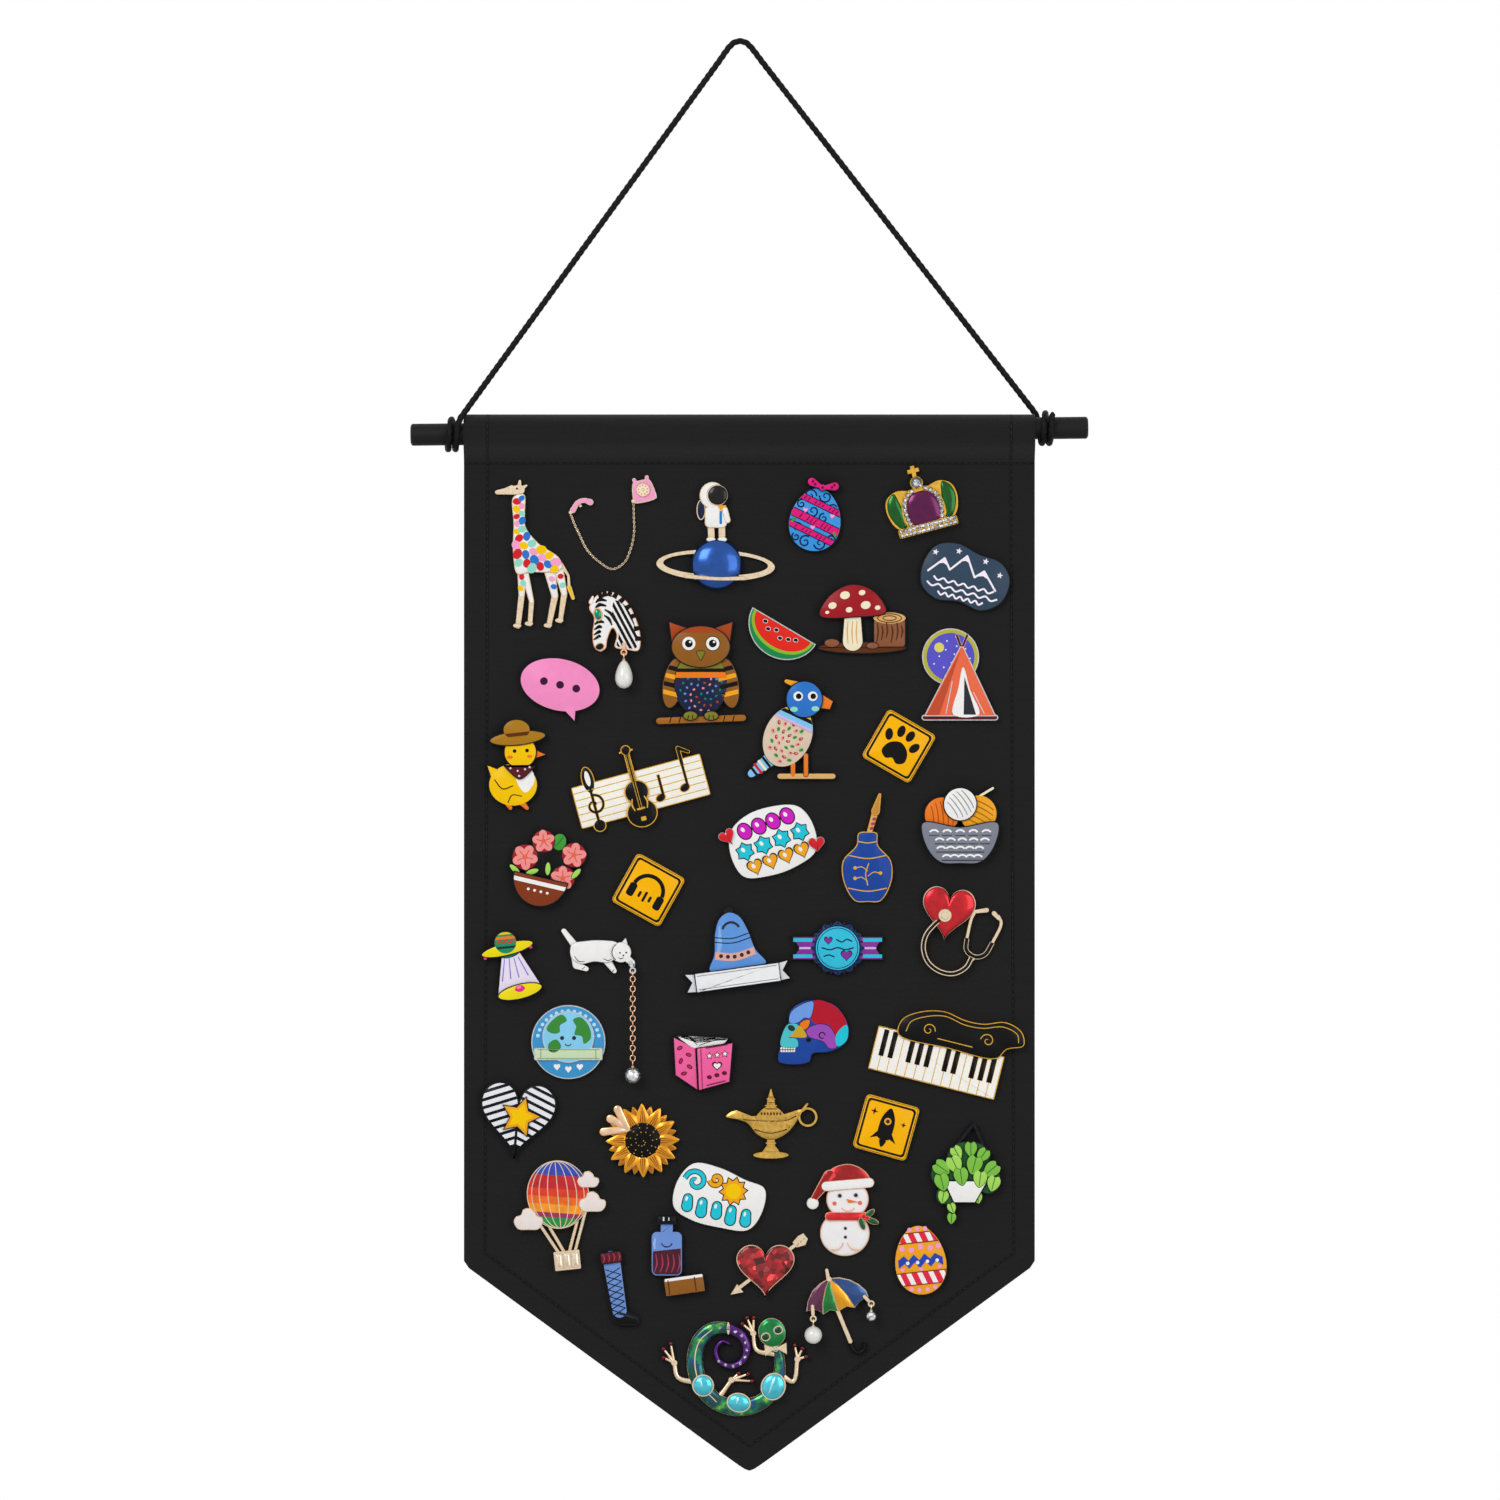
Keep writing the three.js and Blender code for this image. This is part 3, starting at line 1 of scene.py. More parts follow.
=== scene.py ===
# %% [markdown]
# # Pin badge board
# A black canvas pennant hangs on a dowel, the dowel hangs on a cord, and badges of enamel and plated metal
# are pinned through the cloth. The CAD model gives every piece its place. This lesson makes the looks
# around it. All sizes below are millimetres in the CAD model's drawing: x to the right, y up and z towards
# the viewer.

# %% Load the frame
import math
import bpy
from mathutils import Matrix, Vector


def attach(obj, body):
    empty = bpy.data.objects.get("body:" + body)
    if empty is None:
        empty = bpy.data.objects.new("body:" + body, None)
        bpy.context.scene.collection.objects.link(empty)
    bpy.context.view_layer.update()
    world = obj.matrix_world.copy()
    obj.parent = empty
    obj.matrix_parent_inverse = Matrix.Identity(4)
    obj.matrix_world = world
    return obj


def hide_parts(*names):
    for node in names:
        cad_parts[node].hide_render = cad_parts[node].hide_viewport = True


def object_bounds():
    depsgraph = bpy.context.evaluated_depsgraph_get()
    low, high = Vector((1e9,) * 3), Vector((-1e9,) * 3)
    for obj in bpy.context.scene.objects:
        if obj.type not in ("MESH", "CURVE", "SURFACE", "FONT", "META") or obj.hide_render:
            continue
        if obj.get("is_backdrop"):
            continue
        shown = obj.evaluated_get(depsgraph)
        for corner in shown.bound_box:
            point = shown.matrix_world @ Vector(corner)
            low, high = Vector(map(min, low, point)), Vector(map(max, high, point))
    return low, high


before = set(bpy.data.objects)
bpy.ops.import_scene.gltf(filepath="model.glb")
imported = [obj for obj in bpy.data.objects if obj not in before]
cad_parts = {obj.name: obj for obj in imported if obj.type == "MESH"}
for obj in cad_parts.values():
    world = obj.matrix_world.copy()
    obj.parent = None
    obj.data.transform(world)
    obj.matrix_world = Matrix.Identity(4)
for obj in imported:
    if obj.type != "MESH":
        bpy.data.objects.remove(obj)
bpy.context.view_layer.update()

MM = 0.001
QUARTER = math.radians(90)
STAND_UP = Matrix.Scale(MM, 4) @ Matrix.Rotation(QUARTER, 4, "X")

# %% [markdown]
# The photo was taken square to the board from far away, so upright lines stay upright. A camera with a long
# lens does the same. Its width of view comes from the dowel's known length and its share of the picture.

# %% Camera
CAMERA_DISTANCE = 3.0
VIEW_WIDTH = 0.5779
VIEW_CENTRE_X = 0.00385
VIEW_CENTRE_Z = -0.2719
SENSOR = 36.0
camera_data = bpy.data.cameras.new("photo_camera")
camera_data.sensor_width = SENSOR
camera_data.lens = SENSOR * CAMERA_DISTANCE / VIEW_WIDTH
camera = bpy.data.objects.new("photo_camera", camera_data)
camera.location = (VIEW_CENTRE_X, -CAMERA_DISTANCE, VIEW_CENTRE_Z)
camera.rotation_euler = (QUARTER, 0, 0)
bpy.context.collection.objects.link(camera)
bpy.context.scene.camera = camera
print("Lens in millimetres:", round(camera_data.lens, 1))

# %% [markdown]
# Every finish here is a sum of simple patterns. Drawing such sums node by node hides them, so one small
# class wraps an output socket and lets the sums be written as plain arithmetic.

# %% Node arithmetic
class Wire:
    """An output socket of a node tree, or only the tree where the first node has yet to be made."""

    def __init__(self, tree, socket=None):
        self.tree = tree
        self.socket = socket

    def make(self, kind, settings=None, inputs=None, output=0):
        node = self.tree.nodes.new(kind)
        for name, value in (settings or {}).items():
            setattr(node, name, value)
        for key, value in (inputs or {}).items():
            for source in value if isinstance(value, list) else [value]:
                if isinstance(source, Wire):
                    self.tree.links.new(source.socket, node.inputs[key])
                else:
                    node.inputs[key].default_value = source
        return Wire(self.tree, node.outputs[output])

    def sibling(self, output):
        return Wire(self.tree, self.socket.node.outputs[output])

    def sum(self, operation, first, second):
        many = any(isinstance(side, Wire) and side.socket.type in {"RGBA", "VECTOR"}
            for side in (first, second))
        kind = "ShaderNodeVectorMath" if many else "ShaderNodeMath"
        sides = [(side,) * 3 if many and isinstance(side, (int, float)) else side
            for side in (first, second)]
        return self.make(kind, {"operation": operation}, {0: sides[0], 1: sides[1]})

    def __add__(self, other):
        return self.sum("ADD", self, other)

    def __radd__(self, other):
        return self.sum("ADD", other, self)

    def __sub__(self, other):
        return self.sum("SUBTRACT", self, other)

    def __rsub__(self, other):
        return self.sum("SUBTRACT", other, self)

    def __mul__(self, other):
        return self.sum("MULTIPLY", self, other)

    def __rmul__(self, other):
        return self.sum("MULTIPLY", other, self)


print("Operators on a wire: + - *")

# %% [markdown]
# With that class a finish needs few words: a colour by its code, a fresh material, noise, a bump, a mix and
# a soft step between two values. Each is one function, so a finish reads as a recipe.

# %% Pattern helpers
def colour(code):
    """A colour written as 0xRRGGBB, in the linear values that Blender mixes."""
    shares = [((code >> shift) & 255) / 255 for shift in (16, 8, 0)]
    return tuple(s / 12.92 if s < 0.04045 else ((s + 0.055) / 1.055) ** 2.4 for s in shares) + (1.0,)


def new_material(name, **constants):
    """A material with a few fixed values, its shader, and its object coordinates in millimetres."""
    material = bpy.data.materials.new(name)
    material.use_nodes = True
    shader = material.node_tree.nodes["Principled BSDF"]
    for socket, value in constants.items():
        shader.inputs[socket.replace("_", " ")].default_value = value
    return material, shader, Wire(material.node_tree).make("ShaderNodeTexCoord", output="Object") * (1 / MM)


def feed(shader, **wires):
    for name, wire in wires.items():
        wire.tree.links.new(wire.socket, shader.inputs[name.replace("_", " ")])


def noise(where, scale, detail=2.0):
    return where.make("ShaderNodeTexNoise", {}, {"Vector": where, "Scale": scale, "Detail": detail}, "Fac")


def bump(height, depth, strength=1.0):
    return height.make("ShaderNodeBump", {}, {"Height": height, "Distance": depth * MM,
        "Strength": strength}, "Normal")


def mixed(share, *sides):
    """A mix of two colours, each a wire or a code."""
    first, second = [side if isinstance(side, Wire) else colour(side) for side in sides]
    return share.make("ShaderNodeMix", {"data_type": "RGBA"}, {0: share, 6: first, 7: second}, 2)


def axes(where):
    across = where.make("ShaderNodeSeparateXYZ", {}, {0: where}, "X")
    return across, across.sibling("Y"), across.sibling("Z")


def curve_of(wire, operation, second=0.0):
    return wire.make("ShaderNodeMath", {"operation": operation}, {0: wire, 1: second})


def ramp(wire, low, high):
    return wire.make("ShaderNodeMapRange", {"interpolation_type": "SMOOTHSTEP"},
        {"Value": wire, "From Min": low, "From Max": high}, "Result")


print("Middle grey in linear values:", [round(share, 3) for share in colour(0x808080)])

# %% [markdown]
# The cord is three strands laid together. Three separate tubes would cost a lot of faces and could cross
# one another in the tight turns, so it is one tube whose section has three lobes that turn as it runs. It
# starts as a short tail, winds round the dowel's left end, rises over the nail and winds round the right
# end.

# %% Windings on the dowel
HANG_OFFSET = 3.6
HANG_RISE = 142.6
ROD_DROP = 6.5
ROD_TILT = math.radians(0.6)
ROD_RADIUS = 4.25
ROD_LENGTH = 261
ROD_EDGE = 0.7
BANNER_HALF = 110
CORD_DIAMETER = 2.35
CORD_RADIUS = CORD_DIAMETER / 2
CORD_PITCH = 2.8
CORD_CLEARANCE = 0.3
CORD_TURNS = 1.5
CORD_BEND = 4.8
LEAVING_BEND, LEAVING_STEPS = 12, 8
TURN_STEPS = 36
CORD_STEP = 0.5
CORD_SMOOTHING = 6
LEFT_GAP, RIGHT_GAP, RIGHT_TAIL = 1.4, 0.8, 6
NAIL_ANGLES = (143, 115, 90, 65, 38)
LEG_SHARES = (0.25, 0.5, 0.75, 0.95)
wound_radius = ROD_RADIUS + CORD_RADIUS + CORD_CLEARANCE
rod_line = Matrix.Translation((HANG_OFFSET, -HANG_RISE - ROD_DROP, 0)) @ Matrix.Rotation(ROD_TILT, 4, "Z")


def winding(side, face, edge_gap, tail_length):
    """The cord on one end of the dowel, from its free stretch to its tail, and the way it leaves."""
    inner = BANNER_HALF + edge_gap + CORD_RADIUS
    start = Vector((side * inner, 0, face * wound_radius))
    target = rod_line.inverted() @ Vector((0, 0, 0))
    target.z = start.z
    bend = math.acos((target - start).normalized().y)
    away = Vector((-side * math.sin(bend), math.cos(bend), 0))
    line = []
    for step in range(LEAVING_STEPS + 1):
        angle = bend * step / LEAVING_STEPS
        line.insert(0, start + Vector((-side * (1 - math.cos(angle)), math.sin(angle), 0)) * LEAVING_BEND)
    line.insert(0, line[0] + away * CORD_DIAMETER)
    for step in range(1, round(CORD_TURNS * TURN_STEPS) + 1):
        angle = math.tau * step / TURN_STEPS
        along = side * (inner + CORD_PITCH * step / TURN_STEPS)
        line.append(Vector((along, -wound_radius * math.sin(angle), face * wound_radius * math.cos(angle))))
    tail = Vector((side * CORD_PITCH / (math.tau * wound_radius), 1, 0)).normalized()
    line += [line[-1] + tail * tail_length / 2, line[-1] + tail * tail_length]
    return [rod_line @ point for point in line], rod_line.to_3x3() @ away


left_line, left_away = winding(-1, 1, LEFT_GAP, CORD_DIAMETER)
right_line, right_away = winding(1, -1, RIGHT_GAP, RIGHT_TAIL)
print("Points on the windings:", len(left_line), len(right_line))

# %% [markdown]
# The cord, the fine chain and many badge outlines are smooth lines through a few points. One function draws
# such a line, and another sets points along it at even steps, so that a tube on it gets even rings.

# %% Smooth lines
def smooth_line(points, steps, closed=False):
    """A smooth line through the points, with the points' own spacing taken into account."""
    count = len(points)
    ends = [2 * points[0] - points[1], *points, 2 * points[-1] - points[-2]]
    if closed:
        ends = [points[-1], *points, *points[:2]]
    line = []
    for i in range(count if closed else count - 1):
        before, first, second, after = ends[i:i + 4]
        gaps = [max((b - a).length ** 0.5, 1e-4) for a, b in ((before, first), (first, second),
            (second, after))]
        step_before, step_here, step_after = gaps
        middle = (second - first) / step_here
        out = ((first - before) / step_before - (second - before) / (step_before + step_here)
            + middle) * step_here
        back = (middle - (after - first) / (step_here + step_after)
            + (after - second) / step_after) * step_here
        for step in range(steps):
            t = step / steps
            square = (3 * (second - first) - 2 * out - back) * t ** 2
            cube = (2 * (first - second) + out + back) * t ** 3
            line.append(first + out * t + square + cube)
    return line if closed else line + [points[-1]]


def evenly(line, spacing):
    """Points at even steps along a line, and the line's length."""
    lengths = [0.0]
    for a, b in zip(line, line[1:]):
        lengths.append(lengths[-1] + (b - a).length)
    count = round(lengths[-1] / spacing)
    even, i = [], 0
    for step in range(count + 1):
        goal = lengths[-1] * step / count
        while i < len(line) - 2 and lengths[i + 1] < goal:
            i += 1
        even.append(line[i].lerp(line[i + 1], (goal - lengths[i]) / max(lengths[i + 1] - lengths[i], 1e-9)))
    return even, lengths[-1]


print("Even points on a line of ten:", len(evenly([Vector((0, 0)), Vector((10, 0))], 2)[0]))

# %% [markdown]
# Straight legs join the two windings with a small bend over the nail. All of it is one line, so the cord
# stays one piece from its left tail to its right one, and its length can be read off.

# %% Cord line
left_next = left_line[0] + left_away * (CORD_CLEARANCE + 2 * CORD_DIAMETER)
right_next = right_line[0] + right_away * (CORD_CLEARANCE + 2 * CORD_DIAMETER)
nail_middle = Vector((0, CORD_RADIUS - CORD_BEND, 0))
over_nail = [nail_middle + Vector((math.cos(a), math.sin(a), 0)) * CORD_BEND
    for a in map(math.radians, NAIL_ANGLES)]
left_leg = [left_next.lerp(over_nail[0], share) for share in LEG_SHARES]
right_leg = [right_next.lerp(over_nail[-1], share) for share in reversed(LEG_SHARES)]
cord_points = [*reversed(left_line), left_next, *left_leg, *over_nail, *right_leg, right_next, *right_line]
cord_line, cord_length = evenly(smooth_line(cord_points, CORD_SMOOTHING), CORD_STEP)
print("Cord length in millimetres:", round(cord_length, 1))

# %% [markdown]
# The lay of the strands is in the tube's own shape. The finish adds the fine threads of each strand, which
# run across the lobes, and the satin shine that catches the light in short diagonal glints.

# %% Cord
LOBES = 3
LOBE_BULGE = 0.08
LOBE_DEPTH = 0.16
LAY_LENGTH = 8.0
CORD_SIDES = 24
END_RADIUS, END_GROWTH = 0.35, 0.3
SIDE_START = Vector((0.31, 0.52, 0.79))


def tube(line, sides, radius_at):
    """A closed tube along a line. radius_at takes the share of a turn and the ring's number."""
    points, faces = [], []
    side = SIDE_START
    for i, point in enumerate(line):
        along = (line[min(i + 1, len(line) - 1)] - line[max(i - 1, 0)]).normalized()
        side = (side - along * side.dot(along)).normalized()
        other = along.cross(side)
        for corner in range(sides):
            angle = math.tau * corner / sides
            radius = radius_at(corner / sides, i)
            points.append(point + (side * math.cos(angle) + other * math.sin(angle)) * radius)
    for i in range(len(line) - 1):
        for corner in range(sides):
            a, b = i * sides + corner, i * sides + (corner + 1) % sides
            faces.append((a, b, b + sides, a + sides))
    faces.append(tuple(reversed(range(sides))))
    faces.append(tuple(range((len(line) - 1) * sides, len(line) * sides)))
    return points, faces


def mesh_object(name, points, faces, materials, slots=None, sharp=40):
    mesh = bpy.data.meshes.new(name)
    mesh.from_pydata([STAND_UP @ point for point in points], [], faces)
    for material in materials:
        mesh.materials.append(material)
    if slots:
        mesh.polygons.foreach_set("material_index", slots)
    mesh.shade_smooth()
    mesh.set_sharp_from_angle(angle=math.radians(sharp))
    made = bpy.data.objects.new(name, mesh)
    bpy.context.collection.objects.link(made)
    return made


def cord_section(share, ring):
    turn = LOBES * (share - ring * CORD_STEP / LAY_LENGTH)
    end = min(ring, len(cord_line) - 1 - ring)
    rounding = min(1.0, END_RADIUS + END_GROWTH * end)
    return CORD_RADIUS * rounding * (1 + LOBE_BULGE - LOBE_DEPTH * math.sin(math.pi * turn) ** 2)


cord_material, cord_shader, where = new_material("satin_cord", Roughness=0.5, Specular_IOR_Level=0.1)
threads = noise(where, 3.5, 3.0)
feed(cord_shader, Base_Color=mixed(threads, 0x040405, 0x131315), Roughness=0.34 + threads * 0.3,
    Normal=bump(threads, 0.12))
cord = mesh_object("laid_cord", *tube(cord_line, CORD_SIDES, cord_section), [cord_material])
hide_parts("hanging_cord", "left_cord_wrap", "right_cord_wrap")
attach(cord, "hanger")
cord_path = [STAND_UP @ point for point in cord_line[::2]]
cord_length * MM
print("Cord faces:", len(cord.data.polygons))

# %% [markdown]
# A photo studio lights such a board with large soft lamps in front of it and a white sweep behind. The
# world gives the soft level light, two lamps give the metal its shapes, and only the camera and mirror rays
# see plain white.

# %% Light, floor and background
FLOOR_LEVEL = -0.75
FLOOR_SIZE = 1.8
FLOOR_GLOW = 0.4
SKY_LIGHT = 0.45
LAMP_TARGET = Vector((0, 0, -0.28))
LAMPS = {"key_lamp": ((-0.75, -1.3, 0.45), 0.7, 10.4), "fill_lamp": ((0.95, -1.2, -0.1), 0.9, 5.8)}


def area_lamp(name, place, size, power):
    data = bpy.data.lights.new(name, "AREA")
    data.shape = "SQUARE"
    data.size = size
    data.energy = power
    lamp = bpy.data.objects.new(name, data)
    lamp.location = place
    lamp.rotation_euler = (LAMP_TARGET - lamp.location).to_track_quat("-Z", "Y").to_euler()
    bpy.context.collection.objects.link(lamp)


for lamp_name, lamp_values in LAMPS.items():
    area_lamp(lamp_name, *lamp_values)

world = bpy.data.worlds.new("white_studio")
bpy.context.scene.world = world
world.use_nodes = True
sky = Wire(world.node_tree)
rays = sky.make("ShaderNodeLightPath", output="Is Camera Ray")
seen = curve_of(rays + rays.sibling("Is Glossy Ray") + rays.sibling("Is Transmission Ray"), "MINIMUM", 1.0)
backdrop = world.node_tree.nodes["Background"]
backdrop.inputs["Color"].default_value = (1, 1, 1, 1)
feed(backdrop, Strength=SKY_LIGHT + seen * (1 - SKY_LIGHT))

floor_mesh = bpy.data.meshes.new("studio_floor")
half_floor = FLOOR_SIZE / 2
corners = [(x * half_floor, y * half_floor, FLOOR_LEVEL) for x, y in ((-1, -1), (1, -1), (1, 1), (-1, 1))]
floor_mesh.from_pydata(corners, [], [(0, 1, 2, 3)])
floor_material, floor_shader, where = new_material("floor_paper", Roughness=0.8, Emission_Strength=1.0)
floor_seen = where.make("ShaderNodeLightPath", output="Is Camera Ray")
feed(floor_shader, Base_Color=mixed(noise(where, 0.05), 0xECECEA, 0xF4F4F2),
    Emission_Color=floor_seen * FLOOR_GLOW)
floor_mesh.materials.append(floor_material)
studio_floor = bpy.data.objects.new("studio_floor", floor_mesh)
bpy.context.collection.objects.link(studio_floor)
studio_floor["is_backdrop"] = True
bpy.context.scene.view_settings.view_transform = "Standard"
print("Lamps:", len(bpy.data.lights))

# %% [markdown]
# The dowel is turned wood under satin black paint. A profile spun round its own line gives the softened
# edges of its ends, and stretched noise lets the grain show through the paint.

# %% Dowel
ROD_SIDES, ROD_STEPS = 48, 12
ROD_END = ((0, 3.2), (0.25, 3.75), (ROD_EDGE, ROD_RADIUS))
half_rod = ROD_LENGTH / 2
rod_profile = [(-half_rod + inwards, radius) for inwards, radius in ROD_END]
rod_profile += [(x * half_rod / ROD_STEPS, ROD_RADIUS) for x in range(1 - ROD_STEPS, ROD_STEPS)]
rod_profile += [(-x, radius) for x, radius in reversed(rod_profile[:3])]
rod_points, rod_faces = tube([rod_line @ Vector((x, 0, 0)) for x, radius in rod_profile], ROD_SIDES,
    lambda share, ring: rod_profile[ring][1])
paint, paint_shader, where = new_material("black_dowel_paint", Specular_IOR_Level=0.15)
stretched = where.make("ShaderNodeMapping", {}, {"Vector": where, "Scale": (0.04, 1.2, 1.2)})
grain = noise(stretched, 1.6, 4.0)
feed(paint_shader, Base_Color=mixed(grain, 0x0D0D0D, 0x171717), Roughness=0.4 + grain * 0.25,
    Normal=bump(grain, 0.15))
dowel = mesh_object("painted_dowel", rod_points, rod_faces, [paint])
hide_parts("hanging_rod")
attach(dowel, "hanger")
print("Dowel faces:", len(dowel.data.polygons))

# %% [markdown]
# The pennant is one piece of plain-woven canvas. It is folded over the dowel into a pocket, and its sides
# and foot are turned back and stitched. The fold is drawn as a line seen from the side, and the cloth is
# that line carried across the width, so the pocket, the panel and the pointed foot are one surface with a
# real thickness.

# %% Canvas shape
CANVAS = 0.7
PANEL_FRONT = -1.05
POCKET_OUTER = ROD_RADIUS + 0.35 + CANVAS
POCKET_FOOT = POCKET_OUTER + 4.6
SEAM_DROP = 18.7
HEM = 8.5
SIDE_DROP = 327
POINT_DROP = 80.5
CORNER = 2
TIP = 1.4
TIP_SHARE, CORNER_SHARE = 0.6, 0.7
COLUMNS = 120
PANEL_ROWS, SLOPE_ROWS, FOLD_STEPS = 150, 8, 24
WAVE_DEPTH, CALM_LENGTH = 0.16, 60
WAVE_ACROSS, WAVE_DOWN, RIPPLE_ACROSS, RIPPLE_DOWN = 23, 41, 50, 67


def eased(share):
    """A share that starts and ends slowly."""
    return share * share * (3 - 2 * share)


def on_banner(x, drop, depth):
    return Vector((HANG_OFFSET + x, -HANG_RISE - drop, depth))


def foot_drop(x):
    """How far the cloth reaches down at x, with its three corners rounded."""
    soft = math.sqrt(x * x + TIP * TIP) - TIP * TIP_SHARE
    drop = SIDE_DROP + POINT_DROP * (1 - max(soft, 0) / BANNER_HALF)
    near_side = max(0.0, abs(x) - (BANNER_HALF - CORNER))
    return drop - (CORNER - math.sqrt(max(CORNER ** 2 - near_side ** 2, 0))) * CORNER_SHARE


def front_of(x, drop):
    """Depth of the cloth's front face, with slow waves that only go back from the badges."""
    if drop <= POCKET_OUTER:
        return math.sqrt(max(POCKET_OUTER ** 2 - (POCKET_OUTER - drop) ** 2, 0))
    if drop <= POCKET_FOOT:
        return POCKET_OUTER
    if drop <= SEAM_DROP:
        share = (drop - POCKET_FOOT) / (SEAM_DROP - POCKET_FOOT)
        return POCKET_OUTER + (PANEL_FRONT - POCKET_OUTER) * eased(share)
    calm = min(1.0, (drop - SEAM_DROP) / CALM_LENGTH)
    wave = math.sin(x / WAVE_ACROSS + drop / WAVE_DOWN) * math.cos(drop / RIPPLE_DOWN - x / RIPPLE_ACROSS)
    return PANEL_FRONT - WAVE_DEPTH * calm * (1 + wave)


print("Length of the cloth in millimetres:", round(foot_drop(0), 1))

# %% [markdown]
# Each column of the mesh is that side view at its own place across the width. The inner face lies one
# thickness behind the front face, and narrow faces along the four edges close the sheet.

# %% Canvas mesh
def cloth_column(x):
    """Front face points from the foot up to the top of the fold, then down behind the dowel to the seam."""
    foot = foot_drop(x)
    drops = [foot + (SEAM_DROP - foot) * row / PANEL_ROWS for row in range(PANEL_ROWS)]
    drops += [SEAM_DROP + (POCKET_FOOT - SEAM_DROP) * row / SLOPE_ROWS for row in range(SLOPE_ROWS + 1)]
    line = [(drop, front_of(x, drop)) for drop in drops]
    for step in range(1, FOLD_STEPS):
        angle = math.pi * step / FOLD_STEPS
        line.append((POCKET_OUTER - POCKET_OUTER * math.sin(angle), POCKET_OUTER * math.cos(angle)))
    seam_back = PANEL_FRONT - 2 * CANVAS
    for row in range(SLOPE_ROWS + 1):
        share = row / SLOPE_ROWS
        drop = POCKET_FOOT + (SEAM_DROP - POCKET_FOOT) * share
        line.append((drop, -POCKET_OUTER + (seam_back + POCKET_OUTER) * eased(share)))
    line.append((SEAM_DROP + HEM / 2, seam_back))
    return [on_banner(x, drop, depth) for drop, depth in line]


def cloth_grid():
    points, faces = [], []
    columns = [cloth_column(-BANNER_HALF + 2 * BANNER_HALF * c / COLUMNS) for c in range(COLUMNS + 1)]
    rows = len(columns[0])
    for column in columns:
        for i, point in enumerate(column):
            along = (column[min(i + 1, rows - 1)] - column[max(i - 1, 0)]).normalized()
            inward = Vector((0, along.z, -along.y))
            points += [point, point + inward * CANVAS]
    for c in range(COLUMNS):
        for r in range(rows - 1):
            a, b = 2 * (c * rows + r), 2 * ((c + 1) * rows + r)
            faces.append((a, b, b + 2, a + 2))
            faces.append((a + 1, a + 3, b + 3, b + 1))
            if c == 0:
                faces.append((a, a + 2, a + 3, a + 1))
            if c == COLUMNS - 1:
                faces.append((b, b + 1, b + 3, b + 2))
        a, b, last = 2 * c * rows, 2 * (c + 1) * rows, 2 * (rows - 1)
        faces.append((a, a + 1, b + 1, b))
        faces.append((a + last, b + last, b + last + 1, a + last + 1))
    return points, faces


cloth_points, cloth_faces = cloth_grid()
print("Cloth points:", len(cloth_points))

# %% [markdown]
# The turned hem lies behind the panel as a second layer. It follows the cloth's edge all round below the
# pocket, so it is a band between two lines with the same number of points: the edge and the line of its
# stitches.

# %% Hem
SEAM_TOP_X = 100.7
SEAM_SPREAD = 0.00375
FOOT_SEAM = 8.0
foot_slope = math.atan2(POINT_DROP, BANNER_HALF)
HEM_STEPS = 60
HEM_TOP = SEAM_DROP + 5


def seam_x(drop):
    return SEAM_TOP_X + SEAM_SPREAD * drop


seam_tip = SIDE_DROP + POINT_DROP - FOOT_SEAM / math.cos(foot_slope)
seam_corner = (seam_tip - math.tan(foot_slope) * SEAM_TOP_X) / (1 + math.tan(foot_slope) * SEAM_SPREAD)


def hem_pairs():
    """Edge and seam points, as (x, drop), from the left pocket seam round the foot to the right one."""
    pairs = []
    for step in range(HEM_STEPS):
        share = step / HEM_STEPS
        edge = HEM_TOP + (SIDE_DROP - CORNER - HEM_TOP) * share
        seam = HEM_TOP + (seam_corner - HEM_TOP) * share
        pairs.append(((-BANNER_HALF, edge), (-seam_x(seam), seam)))
    for step in range(HEM_STEPS + 1):
        x = -BANNER_HALF * (1 - step / HEM_STEPS)
        inner = -seam_x(seam_corner) * (1 - step / HEM_STEPS)
        pairs.append(((x, foot_drop(x)), (inner, seam_tip + math.tan(foot_slope) * inner)))
    return pairs + [((-e[0], e[1]), (-s[0], s[1])) for e, s in reversed(pairs[:-1])]


hem_faces = []
first = len(cloth_points)
pairs = hem_pairs()
for edge, seam in pairs:
    for x, drop in (edge, seam):
        depth = front_of(x, drop) - CANVAS
        cloth_points += [on_banner(x, drop, depth), on_banner(x, drop, depth - CANVAS)]
for i in range(len(pairs) - 1):
    a = first + 4 * i
    for near, far in ((0, 2), (3, 1), (2, 3), (1, 0)):
        hem_faces.append((a + near, a + near + 4, a + far + 4, a + far))
for a in (first, first + 4 * (len(pairs) - 1)):
    hem_faces.append((a, a + 1, a + 3, a + 2) if a == first else (a, a + 2, a + 3, a + 1))
print("Hem points:", 4 * len(pairs))
